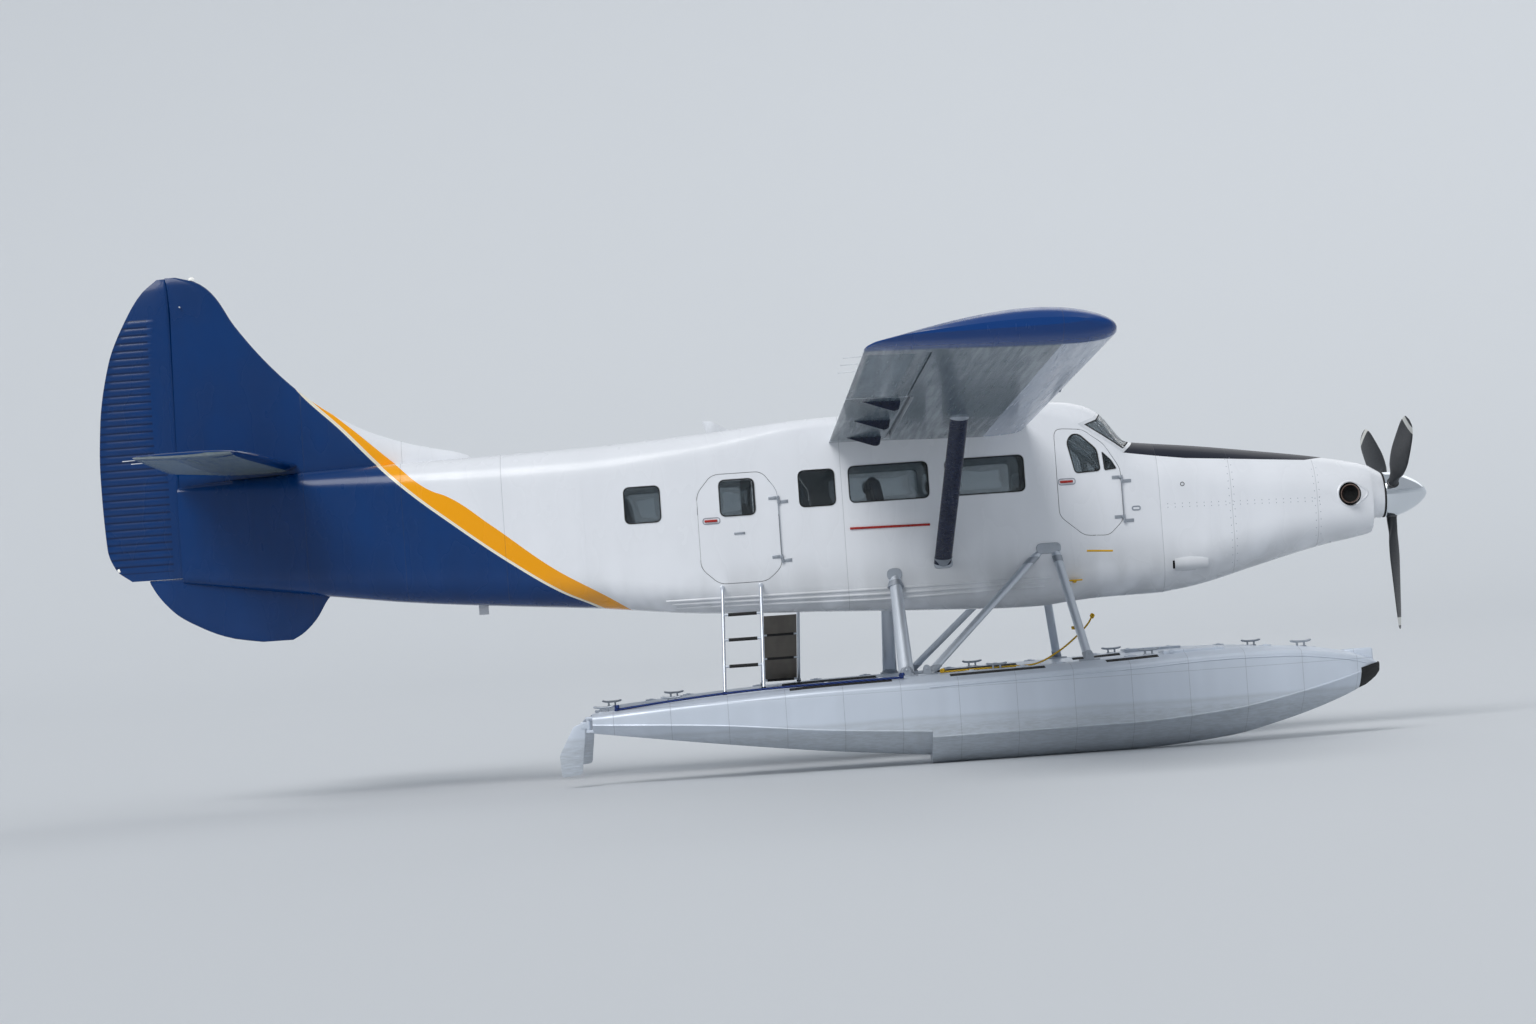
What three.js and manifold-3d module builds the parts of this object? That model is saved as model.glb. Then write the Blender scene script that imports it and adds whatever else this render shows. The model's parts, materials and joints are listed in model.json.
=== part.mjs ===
// Single-turboprop high-wing floatplane on two straight floats.
// Millimetres. +X to the nose, +Y to port, +Z up.
// Origin under the middle of the aircraft, on the level of the float keels.
import * as THREE from 'three';
import { mergeVertices } from 'three/addons/utils/BufferGeometryUtils.js';
import Module from 'manifold-3d';

const wasm = await Module();
wasm.setup();

// Driving dimensions
const WALL = 35;
const GLASS = 8;
const SEAM = 0.3;
const DOOR_GAP = 10;
const SURFACE_GAP = 9;
const CABIN_AFT = -1865;
const FIREWALL = 3945;
const TAIL_END = -5932;
const CHORD = 1981;
const WING_LE = 2620;
const WING_ROOT_Y = 820;
const WING_ROOT_Z = 3288;
const HALF_SPAN = 8845;
const DIHEDRAL = THREE.MathUtils.degToRad(2);
const INCIDENCE = Math.tan(THREE.MathUtils.degToRad(1));
const HINGE_FRACTION = 0.74;
const TAILPLANE_Z = 3420;
const TAILPLANE_HALF_SPAN = 3230;
const ELEVATOR_HINGE_X = -5480;
const RUDDER_HINGE_X = -6015;
const PROP_Z = 2362;
const PROP_RADIUS = 1390;
const SPINNER_BASE_X = 6321;
const SPINNER_TIP_X = 6785;
const FLOAT_Y = 1521;
const KEEL_HALF = 30;
const FLOOR_TOP = 1900;
const FLOOR_THICK = 30;
const STRUT_APEX = [2767, 2035];
const WINDOW = { low: 2612, high: 2985, radius: 55 };

// Fuselage and cowling stations: x, bottom z, top z, half width, lower corner radius, upper corner radius
const FUSELAGE = [
  [TAIL_END, 2285, 3300, 95, 80, 80],
  [-4700, 2092, 3345, 280, 180, 180],
  [-3700, 1945, 3365, 440, 250, 250],
  [-2675, 1837, 3374, 610, 290, 290],
  [CABIN_AFT, 1762, 3384, 735, 300, 300],
  [-700, 1628, 3430, 812, 280, 240],
  [560, 1560, 3505, 820, 260, 110],
  [1700, 1500, 3515, 820, 260, 110],
  [2650, 1464, 3515, 816, 260, 110],
  [3000, 1492, 3505, 795, 280, 200],
  [3250, 1508, 3455, 763, 300, 250],
  [3400, 1512, 3368, 740, 310, 265],
  [3680, 1515, 3072, 692, 330, 330],
  [FIREWALL, 1518, 3040, 640, 340, 400],
];
const COWLING = [
  [FIREWALL + SEAM, 1518, 3040, 640, 340, 400],
  [4300, 1568, 3000, 602, 370, 410],
  [4995, 1735, 2904, 510, 400, 420],
  [5670, 1892, 2796, 412, 340, 370],
  [5990, 1945, 2728, 350, 290, 320],
  [6150, 1978, 2688, 305, 245, 285],
];
// Nose bowl around the propeller shaft: x, bottom z, top z, half width
const NOSE_BOWL = [
  [6140, 2140, 2690, 290],
  [6220, 2130, 2650, 270],
  [6290, 2125, 2606, 244],
  [6309, 2132, 2592, 232],
];
// Float stations: x, keel z, chine z, half beam, deck edge z, deck crown
const FLOAT = [
  [-1885, 520, 600, 150, 690, 25],
  [-700, 340, 520, 335, 755, 45],
  [400, 190, 400, 420, 795, 55],
  [1398, 85, 320, 440, 805, 60],
  [1400, 0, 265, 440, 805, 60],
  [3300, 0, 270, 440, 845, 60],
  [4300, 62, 330, 428, 880, 55],
  [4900, 190, 430, 392, 868, 45],
  [5400, 345, 540, 305, 810, 35],
  [5700, 480, 620, 185, 745, 22],
  [5830, 590, 650, 62, 688, 8],
];
// Fin stations: z, leading edge x, half thickness
const FIN = [
  [3260, -2900, 70],
  [3415, -3030, 70],
  [3562, -3582, 72],
  [3740, -4060, 72],
  [4031, -4531, 70],
  [4445, -4971, 66],
  [4900, -5325, 60],
  [5259, -5545, 54],
  [5386, -5714, 44],
  [5434, -5890, 26],
];
// Rudder stations: z, trailing edge x, nose radius
const RUDDER = [
  [2352, -6528, 44],
  [2475, -6678, 54],
  [2700, -6760, 58],
  [3464, -6785, 62],
  [3964, -6756, 62],
  [4584, -6636, 58],
  [5057, -6418, 54],
  [5300, -6247, 46],
  [5424, -6090, 28],
];
// Ventral fin stations: z, front x, rear x, half thickness
const VENTRAL = [
  [1650, -4930, -5240, 20],
  [1700, -4835, -5520, 30],
  [1850, -4674, -5880, 38],
  [2000, -4577, -6110, 42],
  [2290, -4380, -6330, 46],
];

const MATERIALS = {
  white: { color: 0xe9edf2, roughness: 0.25, metalness: 0.0 },
  blue: { color: 0x0c1f4a, roughness: 0.22, metalness: 0.0 },
  aluminium: { color: 0xb9c3cf, roughness: 0.38, metalness: 0.85 },
  polished: { color: 0xd5d9de, roughness: 0.12, metalness: 1.0 },
  underside: { color: 0x98a2a8, roughness: 0.35, metalness: 0.3 },
  black: { color: 0x15171a, roughness: 0.6, metalness: 0.0 },
  steel: { color: 0x55585c, roughness: 0.5, metalness: 0.8 },
  glass: { color: 0x26323c, roughness: 0.05, metalness: 0.0, transparent: true, opacity: 0.4 },
  seat: { color: 0x3b3f46, roughness: 0.85, metalness: 0.0 },
  floor: { color: 0x4a4d50, roughness: 0.9, metalness: 0.0 },
  yellow: { color: 0xe8b515, roughness: 0.8, metalness: 0.0 },
  rope: { color: 0x1b3f8f, roughness: 0.85, metalness: 0.0 },
};

const aircraft = new THREE.Group();
const starboard = new THREE.Group();
starboard.scale.y = -1;
aircraft.add(starboard);

// Solids and meshes

function flip(geometry) {
  const index = geometry.getIndex().array;
  for (let i = 0; i < index.length; i += 3) {
    [index[i + 1], index[i + 2]] = [index[i + 2], index[i + 1]];
  }
  return geometry;
}

function signedVolume(geometry) {
  const p = geometry.getAttribute('position');
  const index = geometry.getIndex().array;
  const [a, b, c] = [new THREE.Vector3(), new THREE.Vector3(), new THREE.Vector3()];
  let volume = 0;
  for (let i = 0; i < index.length; i += 3) {
    a.fromBufferAttribute(p, index[i]);
    b.fromBufferAttribute(p, index[i + 1]);
    c.fromBufferAttribute(p, index[i + 2]);
    volume += a.dot(b.cross(c));
  }
  return volume;
}

function solid(geometry) {
  const bare = geometry.clone();
  bare.deleteAttribute('normal');
  bare.deleteAttribute('uv');
  const merged = mergeVertices(bare, 1e-3);
  if (signedVolume(merged) < 0) flip(merged);
  const vertProperties = new Float32Array(merged.getAttribute('position').array);
  const triVerts = new Uint32Array(merged.getIndex().array);
  return new wasm.Manifold(new wasm.Mesh({ numProp: 3, vertProperties, triVerts }));
}

function toGeometry(manifold) {
  const mesh = manifold.getMesh();
  const geometry = new THREE.BufferGeometry();
  const width = mesh.numProp;
  const positions = new Float32Array((mesh.vertProperties.length / width) * 3);
  for (let i = 0; i < positions.length / 3; i++) {
    positions.set(mesh.vertProperties.slice(i * width, i * width + 3), i * 3);
  }
  geometry.setAttribute('position', new THREE.BufferAttribute(positions, 3));
  geometry.setIndex(new THREE.BufferAttribute(new Uint32Array(mesh.triVerts), 1));
  return geometry;
}

function union(...parts) {
  return parts.reduce((whole, part) => whole.add(part));
}

function cut(body, ...cutters) {
  return cutters.reduce((rest, cutter) => rest.subtract(cutter), body);
}

function addNode(group, name, shape, material) {
  const geometry = shape instanceof THREE.BufferGeometry ? shape : toGeometry(shape);
  geometry.computeVertexNormals();
  const mesh = new THREE.Mesh(geometry, new THREE.MeshStandardMaterial(MATERIALS[material]));
  mesh.name = name;
  group.add(mesh);
}

// A mirrored pair: the port piece as built, and the starboard one through the mirrored group.
function addPair(name, shape, material) {
  const geometry = toGeometry(shape);
  addNode(aircraft, `${name}_left`, geometry, material);
  addNode(starboard, `${name}_right`, geometry.clone(), material);
}

// Shapes

// A closed skin through rings of equal point counts, with a fan over each end.
function loft(rings) {
  const count = rings[0].length;
  const positions = rings.flat().flatMap((p) => [p.x, p.y, p.z]);
  const index = [];
  for (let r = 0; r + 1 < rings.length; r++) {
    for (let i = 0; i < count; i++) {
      const j = (i + 1) % count;
      const [a, b] = [r * count + i, r * count + j];
      index.push(a, b, b + count, a, b + count, a + count);
    }
  }
  const ends = [[rings[0], 0, 1], [rings.at(-1), (rings.length - 1) * count, -1]];
  for (const [ring, start, turn] of ends) {
    const middle = ring.reduce((sum, p) => sum.add(p), new THREE.Vector3()).divideScalar(count);
    const centre = positions.length / 3;
    positions.push(middle.x, middle.y, middle.z);
    for (let i = 0; i < count; i++) {
      const [a, b] = [start + i, start + ((i + 1) % count)];
      index.push(centre, turn > 0 ? b : a, turn > 0 ? a : b);
    }
  }
  const geometry = new THREE.BufferGeometry();
  geometry.setAttribute('position', new THREE.Float32BufferAttribute(positions, 3));
  geometry.setIndex(index);
  return solid(geometry);
}

function box(x0, x1, y0, y1, z0, z1) {
  const geometry = new THREE.BoxGeometry(x1 - x0, y1 - y0, z1 - z0);
  return geometry.translate((x0 + x1) / 2, (y0 + y1) / 2, (z0 + z1) / 2);
}

function boxBetween([x0, y0, z0], [x1, y1, z1]) {
  return box(
    Math.min(x0, x1), Math.max(x0, x1), Math.min(y0, y1), Math.max(y0, y1), Math.min(z0, z1), Math.max(z0, z1),
  );
}

function rod(from, to, radius, sides = 12) {
  const [a, b] = [new THREE.Vector3(...from), new THREE.Vector3(...to)];
  const direction = b.clone().sub(a);
  const geometry = new THREE.CylinderGeometry(radius, radius, direction.length(), sides);
  const up = new THREE.Vector3(0, 1, 0);
  geometry.applyQuaternion(new THREE.Quaternion().setFromUnitVectors(up, direction.normalize()));
  const middle = a.add(b).divideScalar(2);
  return geometry.translate(middle.x, middle.y, middle.z);
}

// An outline of [x, z] points carried along Y.
function prism(outline, y0, y1) {
  const corners = Array.isArray(outline) ? outline.map(([x, z]) => new THREE.Vector2(x, z)) : [];
  const shape = corners.length ? new THREE.Shape(corners) : outline;
  const geometry = new THREE.ExtrudeGeometry(shape, { depth: y1 - y0, bevelEnabled: false, curveSegments: 2 });
  return solid(geometry.rotateX(Math.PI / 2).translate(0, y1, 0));
}

function roundedRectangle(x0, x1, z0, z1, r) {
  const shape = new THREE.Shape();
  const quarter = Math.PI / 2;
  shape.moveTo(x0 + r, z0);
  shape.lineTo(x1 - r, z0);
  shape.absarc(x1 - r, z0 + r, r, -quarter, 0);
  shape.lineTo(x1, z1 - r);
  shape.absarc(x1 - r, z1 - r, r, 0, quarter);
  shape.lineTo(x0 + r, z1);
  shape.absarc(x0 + r, z1 - r, r, quarter, 2 * quarter);
  shape.lineTo(x0, z0 + r);
  shape.absarc(x0 + r, z0 + r, r, 2 * quarter, 3 * quarter);
  return shape;
}

// An outline moved outwards by a margin, along the bisector at each corner.
function grow(outline, margin) {
  const turn = Math.sign(THREE.ShapeUtils.area(outline.map(([x, z]) => new THREE.Vector2(x, z))));
  return outline.map(([x, z], i) => {
    const before = outline.at(i - 1);
    const after = outline[(i + 1) % outline.length];
    const u = new THREE.Vector2(x - before[0], z - before[1]).normalize();
    const v = new THREE.Vector2(after[0] - x, after[1] - z).normalize();
    const normal = new THREE.Vector2(u.y + v.y, -u.x - v.x).multiplyScalar(turn);
    const length = normal.length();
    const scale = margin / (length * (length / 2));
    return [x + normal.x * scale, z + normal.y * scale];
  });
}

// Fuselage and cowling

const CORNER_STEPS = 4;

function roundedRing([x, bottom, top, half, lower, upper], offset = 0) {
  const centres = [
    [half - lower, bottom + lower, lower, -90],
    [half - upper, top - upper, upper, 0],
    [upper - half, top - upper, upper, 90],
    [lower - half, bottom + lower, lower, 180],
  ];
  const steps = Array.from({ length: CORNER_STEPS + 1 }, (_, i) => (90 * i) / CORNER_STEPS);
  return centres.flatMap(([y, z, radius, start]) => steps.map((step) => {
    const angle = THREE.MathUtils.degToRad(start + step);
    const r = radius + offset;
    return new THREE.Vector3(x, y + r * Math.cos(angle), z + r * Math.sin(angle));
  }));
}

function stationAt(table, x) {
  const next = table.findIndex((station) => station[0] >= x);
  if (next <= 0) return [x, ...table.at(next).slice(1)];
  const [low, high] = [table[next - 1], table[next]];
  const t = (x - low[0]) / (high[0] - low[0]);
  return low.map((value, i) => value + t * (high[i] - value));
}

function roundedLoft(table, x0, x1, offset = 0) {
  const between = table.filter(([x]) => x > x0 && x < x1);
  const stations = [stationAt(table, x0), ...between, stationAt(table, x1)];
  return loft(stations.map((station) => roundedRing(station, offset)));
}

const fuselageSkin = roundedLoft(FUSELAGE, TAIL_END, FIREWALL, SEAM);
const cabinOuter = roundedLoft(FUSELAGE, CABIN_AFT, FIREWALL);
const cabinInner = roundedLoft(FUSELAGE, CABIN_AFT + WALL, FIREWALL - WALL, -WALL);
const cabinLining = roundedLoft(FUSELAGE, CABIN_AFT + WALL + SEAM, FIREWALL - WALL - SEAM, -WALL - SEAM);
const cabinWall = cut(cabinOuter, cabinInner);
const innerPane = cut(cabinLining, roundedLoft(FUSELAGE, CABIN_AFT, FIREWALL, -WALL - SEAM - GLASS));

function sideY(x) {
  return stationAt(FUSELAGE, x)[3];
}

// Doors and windows

// Side cutters run from NEAR to FAR on one side of the middle.
const NEAR = 300;
const FAR = 1100;
const sideRange = (side) => (side > 0 ? [NEAR, FAR] : [-FAR, -NEAR]);

const CREW_DOOR = [
  [2905, 3190], [2905, 2350], [3143, 2142], [3400, 2130], [3553, 2276], [3553, 2790], [3400, 3045],
  [3190, 3205], [2950, 3225],
];
const CREW_PANE = [
  [3020, 3090], [3075, 3169], [3157, 3164], [3330, 3000], [3355, 2777], [3090, 2765],
];
const QUARTER_PANE = [[3376, 2975], [3470, 2880], [3520, 2790], [3392, 2780]];
const PASSENGER_DOOR = [
  [-721, 2815], [-721, 2070], [-545, 1905], [-70, 1905], [84, 2040], [84, 2800], [-60, 3000], [-560, 3000],
];
const CARGO_DOOR_SPLIT = -135;
const CARGO_FRONT_EDGE = CARGO_DOOR_SPLIT + DOOR_GAP / 2;
const CARGO_REAR_EDGE = CARGO_DOOR_SPLIT - DOOR_GAP / 2;
const CARGO_FRONT = [
  [CARGO_FRONT_EDGE, 3000], [CARGO_FRONT_EDGE, 1905], [300, 1905], [450, 2040], [450, 2840], [350, 3000],
];
const CARGO_REAR = [
  [CARGO_REAR_EDGE, 1905], [CARGO_REAR_EDGE, 3000], [-560, 3000], [-721, 2815], [-721, 2070], [-545, 1905],
];
const CARGO_OPENING = [
  [-721, 2815], [-721, 2070], [-545, 1905], [300, 1905], [450, 2040], [450, 2840], [350, 3000], [-560, 3000],
];
// Cabin windows: first x, last x, lower z offset
const WINDOWS = [[-1456, -1086, -48], [301, 672, 0], [806, 1612, 10], [1779, 2579, 10]];
const PORT_WINDOWS = [WINDOWS[0], WINDOWS[2], WINDOWS[3]];
const PASSENGER_WINDOW = [-499, -137, -40];
const CARGO_FRONT_WINDOW = [-24, 338, -10];
const CARGO_REAR_WINDOW = [-608, -246, -40];

function windowPrism([x0, x1, drop], y0, y1, margin = 0) {
  const { low, high, radius } = WINDOW;
  const [z0, z1] = [low + drop - margin, high + drop + margin];
  return prism(roundedRectangle(x0 - margin, x1 + margin, z0, z1, radius), y0, y1);
}

const PANE_OVERLAP = 22;
const TRIM_RAIL = { low: 3022, high: 3070, link: 30, linkLow: 2900 };

// The panes of one side on the trim rail that runs above them.
function paneStrip(windows, side) {
  const [y0, y1] = sideRange(side);
  const { low, high, link, linkLow } = TRIM_RAIL;
  const panes = windows.map((w) => windowPrism(w, y0, y1, PANE_OVERLAP));
  const first = windows[0][0] - PANE_OVERLAP;
  const last = windows.at(-1)[1] + PANE_OVERLAP;
  const rail = solid(box(first, last, y0, y1, low, high));
  const middles = windows.map(([a, b]) => (a + b) / 2);
  const links = middles.map((x) => solid(box(x - link, x + link, y0, y1, linkLow, high)));
  return innerPane.intersect(union(rail, ...panes, ...links));
}

// Hinge knuckles outside the skin: the fixed one below, the door's own one above it.
const KNUCKLE = {
  radius: 13, height: 42, reach: 90, plate: 8, stand: 22, sunk: 25, shift: 10, tongue: 30, step: 2,
};

function knuckle(x, y, z, direction, side) {
  const { radius, height, reach, plate, stand, sunk, shift, tongue, step } = KNUCKLE;
  const barrel = solid(rod([x, y, z], [x, y, z + height], radius));
  const skin = Math.abs(y) - stand;
  const strap = boxBetween(
    [x + direction * shift, side * (skin - sunk), z],
    [x + direction * (reach + shift), side * (skin + plate), z + height],
  );
  const joiner = boxBetween(
    [x, y, z],
    [x + direction * tongue, side * (skin + plate - step), z + height],
  );
  return union(barrel, solid(joiner), solid(strap));
}

// Each hinge: fixed knuckles on the shell and moving ones on the door, at the heights in the list.
function doorHinges(x, side, away, heights) {
  const y = side * (sideY(x) + KNUCKLE.stand);
  const fixed = heights.map((z) => knuckle(x, y, z, away, side));
  const moving = heights.map((z) => knuckle(x, y, z + KNUCKLE.height + SEAM, -away, side));
  return { fixed: union(...fixed), moving: union(...moving) };
}

const sidePrism = (outline, side) => prism(outline, ...sideRange(side));

function door(outline, side, hinges, panes) {
  const leaf = cabinWall.intersect(sidePrism(outline, side));
  return cut(union(leaf, hinges.moving), ...panes);
}

function windowGlass(window, side) {
  return innerPane.intersect(windowPrism(window, ...sideRange(side), PANE_OVERLAP));
}

const CREW_HINGES = { x: 3561, heights: [2240, 2640] };
const CREW_GLASS = [
  [2990, 2740], [3535, 2740], [3535, 2800], [3350, 3060], [3170, 3190], [3060, 3195], [2990, 3110],
];
const crewHinges = doorHinges(CREW_HINGES.x, 1, 1, CREW_HINGES.heights);
const crewHingesRight = doorHinges(CREW_HINGES.x, -1, 1, CREW_HINGES.heights);
const crewPanes = [sidePrism(CREW_PANE, 1), sidePrism(QUARTER_PANE, 1)];
addPair('crew_door', door(CREW_DOOR, 1, crewHinges, crewPanes), 'white');
addPair('crew_door_glass', innerPane.intersect(sidePrism(CREW_GLASS, 1)), 'glass');

// One-sided doors: body, glass, outline, window, side, hinge x, way from hinge to shell, hinge heights
const SIDE_DOORS = [
  ['passenger_door', 'passenger_door_glass', PASSENGER_DOOR, PASSENGER_WINDOW, -1, 92, 1, [2075, 2665]],
  ['cargo_door_front', 'cargo_door_glass_front', CARGO_FRONT, CARGO_FRONT_WINDOW, 1, 458, 1, [2075, 2665]],
  ['cargo_door_rear', 'cargo_door_glass_rear', CARGO_REAR, CARGO_REAR_WINDOW, 1, -729, -1, [2110, 2665]],
];
const sideHinges = SIDE_DOORS.map(([name, glass, outline, window, side, x, away, heights]) => {
  const hinges = doorHinges(x, side, away, heights);
  const pane = windowPrism(window, ...sideRange(side));
  addNode(aircraft, name, door(outline, side, hinges, [pane]), 'white');
  addNode(aircraft, glass, windowGlass(window, side), 'glass');
  return hinges.fixed;
});

addNode(aircraft, 'cabin_windows_right', paneStrip(WINDOWS, -1), 'glass');
addNode(aircraft, 'cabin_windows_left', paneStrip(PORT_WINDOWS, 1), 'glass');

const WINDSHIELD = [
  [3170, 3262], [3606, 2962], [3690, 3030], [3790, 3140], [3480, 3520], [3395, 3395], [3330, 3318],
];
const outerPane = cut(cabinOuter, roundedLoft(FUSELAGE, CABIN_AFT, FIREWALL, -GLASS));
addNode(aircraft, 'windshield', outerPane.intersect(prism(grow(WINDSHIELD, -SEAM), -FAR, FAR)), 'glass');

const cabinShell = cut(
  cabinWall,
  prism(WINDSHIELD, -FAR, FAR),
  sidePrism(grow(CREW_DOOR, DOOR_GAP), 1),
  sidePrism(grow(CREW_DOOR, DOOR_GAP), -1),
  sidePrism(grow(PASSENGER_DOOR, DOOR_GAP), -1),
  sidePrism(grow(CARGO_OPENING, DOOR_GAP), 1),
  ...WINDOWS.map((w) => windowPrism(w, ...sideRange(-1))),
  ...PORT_WINDOWS.map((w) => windowPrism(w, ...sideRange(1))),
);
const shellWithHinges = union(cabinShell, crewHinges.fixed, crewHingesRight.fixed, ...sideHinges);

// The wall meets the roof panel above the doors and the belly panel under the floor.
const ROOF_SEAM = 3250;
const BELLY_SEAM = 1860;
const TOP = 4000;
const shellBand = (low, high) => shellWithHinges.intersect(
  solid(box(CABIN_AFT, FIREWALL, -FAR, FAR, low, high)),
);
addNode(aircraft, 'cabin_shell', shellBand(BELLY_SEAM, ROOF_SEAM), 'white');
addNode(aircraft, 'cabin_roof', shellBand(ROOF_SEAM + SEAM, TOP), 'white');
addNode(aircraft, 'cabin_belly', shellBand(0, BELLY_SEAM - SEAM), 'white');

const tailOuter = roundedLoft(FUSELAGE, TAIL_END, CABIN_AFT - SEAM);
const tailInner = roundedLoft(FUSELAGE, TAIL_END + WALL, CABIN_AFT, -WALL);
addNode(aircraft, 'rear_fuselage', cut(tailOuter, tailInner), 'white');

// Cowling, engine and propeller

// An upright oval round (x, y, z), of half width a and half height b.
function ovalAt(x, y, z, a, b, sides) {
  return Array.from({ length: sides }, (_, i) => {
    const angle = (i / sides) * 2 * Math.PI;
    return new THREE.Vector3(x, y + a * Math.cos(angle), z + b * Math.sin(angle));
  });
}

function bowlRing([x, bottom, top, half], offset = 0) {
  return ovalAt(x, 0, (top + bottom) / 2, half + offset, (top - bottom) / 2 + offset, 24);
}

const COWL_WALL = 22;
const EXHAUST = { x: 5925, z: 2385, hole: 128, pipe: 98, bore: 84 };
const COWL_FRONT = COWLING.at(-1)[0];
const COWL_BULKHEAD = 25;
// Cooling outlet scoop and its mouth on the starboard side: x, y, half width, half height
const SCOOP = [[4050, -535, 105, 87.5], [4180, -535, 100, 85], [4400, -535, 30, 60]];
const SCOOP_MOUTH = [[4040, -545, 85, 72.5], [4200, -545, 60, 55]];
const SCOOP_Z = 1800;
const scoopLoft = (table) => loft(table.map(([x, y, a, b]) => ovalAt(x, y, SCOOP_Z, -a, b, 10)));
const chinBox = solid(box(6050, 6200, -190, 190, 2004, 2118));
const shaftHole = solid(rod([6100, 0, PROP_Z], [6400, 0, PROP_Z], 80, 20));
const exhaustHole = solid(rod([EXHAUST.x, -700, EXHAUST.z], [EXHAUST.x, 700, EXHAUST.z], EXHAUST.hole, 20));
const cowlOuter = union(
  roundedLoft(COWLING, COWLING[0][0], COWL_FRONT),
  loft(NOSE_BOWL.map((station) => bowlRing(station))),
  scoopLoft(SCOOP),
);
const cowlInner = union(
  roundedLoft(COWLING, COWLING[0][0] - 1, COWL_FRONT - COWL_BULKHEAD, -COWL_WALL),
  loft(NOSE_BOWL.slice(0, 3).map((station) => bowlRing(station, -COWL_WALL))),
);
const cowlHoles = [cowlInner, chinBox, shaftHole, exhaustHole, scoopLoft(SCOOP_MOUTH)];
addNode(aircraft, 'cowling', cut(cowlOuter, ...cowlHoles), 'white');

const ENGINE = { rear: 4500, front: 5985, half: 235 };
const ENGINE_Z = [PROP_Z - ENGINE.half, PROP_Z + ENGINE.half];
const MOUNT = { radius: 22, wide: 330, narrow: 190, sunk: 60 };
const SHAFT_RADIUS = 55;
const engineBlock = solid(box(ENGINE.rear, ENGINE.front, -ENGINE.half, ENGINE.half, ...ENGINE_Z));
const mountTubes = [[1, 1], [1, -1], [-1, 1], [-1, -1]].map(([sy, sz]) => solid(rod(
  [FIREWALL - 20, sy * MOUNT.wide, PROP_Z + sz * MOUNT.wide],
  [ENGINE.rear + MOUNT.sunk, sy * MOUNT.narrow, PROP_Z + sz * MOUNT.narrow],
  MOUNT.radius,
  8,
)));
const shaftEnds = [[ENGINE.front - 10, 0, PROP_Z], [SPINNER_BASE_X - SEAM, 0, PROP_Z]];
const shaft = solid(rod(...shaftEnds, SHAFT_RADIUS, 16));

function roundBar(curve, radius, steps, curveSegments) {
  const shape = new THREE.Shape();
  shape.absarc(0, 0, radius, 0, 2 * Math.PI);
  const options = { steps, extrudePath: curve, curveSegments, bevelEnabled: false };
  return solid(new THREE.ExtrudeGeometry(shape, options));
}

const exhaustPipes = [1, -1].map((s) => {
  const { x, z, pipe, bore } = EXHAUST;
  const bend = new THREE.QuadraticBezierCurve3(
    new THREE.Vector3(x + 20, s * 200, z),
    new THREE.Vector3(x + 20, s * 400, z),
    new THREE.Vector3(x - 40, s * 452, z),
  );
  const hollow = solid(rod([x - 10, s * 330, z], [x - 90, s * 600, z], bore, 16));
  return cut(roundBar(bend, pipe, 5, 8), hollow);
});
const behindFirewall = solid(box(FIREWALL - 200, FIREWALL + SEAM, -FAR, FAR, 1500, 3200));
const engine = cut(union(engineBlock, shaft, ...mountTubes, ...exhaustPipes), behindFirewall);
addNode(aircraft, 'engine', engine, 'steel');

const BLADE_X = 6405;
const BLADE_ROOT = 52;
// Propeller blade stations: radius, chord, thickness, pitch in degrees
const BLADE = [
  [150, 2 * BLADE_ROOT, 2 * BLADE_ROOT, 0], [240, 2 * BLADE_ROOT, 2 * BLADE_ROOT, 0], [330, 108, 96, 30],
  [480, 190, 50, 38], [800, 250, 34, 30], [1150, 235, 24, 23], [1330, 175, 16, 20], [PROP_RADIUS, 70, 9, 19],
];
const xAxis = new THREE.Vector3(1, 0, 0);

function bladeRing([r, chord, thickness, pitch], angle) {
  const p = THREE.MathUtils.degToRad(pitch);
  return Array.from({ length: 12 }, (_, i) => {
    const a = (i / 12) * 2 * Math.PI;
    const [u, v] = [(chord / 2) * Math.cos(a), (thickness / 2) * Math.sin(a)];
    const point = new THREE.Vector3(0, u * Math.cos(p) - v * Math.sin(p), -r);
    point.applyAxisAngle(xAxis, angle);
    return point.add(new THREE.Vector3(BLADE_X + u * Math.sin(p) + v * Math.cos(p), 0, PROP_Z));
  });
}

const blade = (angle) => loft(BLADE.map((station) => bladeRing(station, angle)));

// The hole in the spinner that a blade's round root sits in.
function bladeSocket(angle) {
  const margin = 2 * SEAM;
  const wide = 2 * (BLADE_ROOT + margin);
  const stations = [[BLADE[0][0] - margin, wide, wide, 0], [BLADE[1][0], wide, wide, 0]];
  return loft(stations.map((station) => bladeRing(station, angle)));
}

const SPINNER_LENGTH = SPINNER_TIP_X - SPINNER_BASE_X;
// Spinner profile: radius, distance from its back
const SPINNER = [
  [0, 0], [228, 0], [232, 12], [228, 110], [205, 200], [150, 320], [80, 415], [22, SPINNER_LENGTH - 6],
  [0, SPINNER_LENGTH],
];
const spinnerLathe = new THREE.LatheGeometry(SPINNER.map(([r, h]) => new THREE.Vector2(r, h)), 28);
spinnerLathe.rotateX(Math.PI / 2).rotateY(Math.PI / 2).translate(SPINNER_BASE_X, 0, PROP_Z);
const BLADE_ANGLES = [0, 120, 240].map((degrees) => THREE.MathUtils.degToRad(degrees));
addNode(aircraft, 'spinner', cut(solid(spinnerLathe), ...BLADE_ANGLES.map(bladeSocket)), 'polished');
BLADE_ANGLES.forEach((angle, i) => addNode(aircraft, `propeller_blade_${i + 1}`, blade(angle), 'black'));

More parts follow.
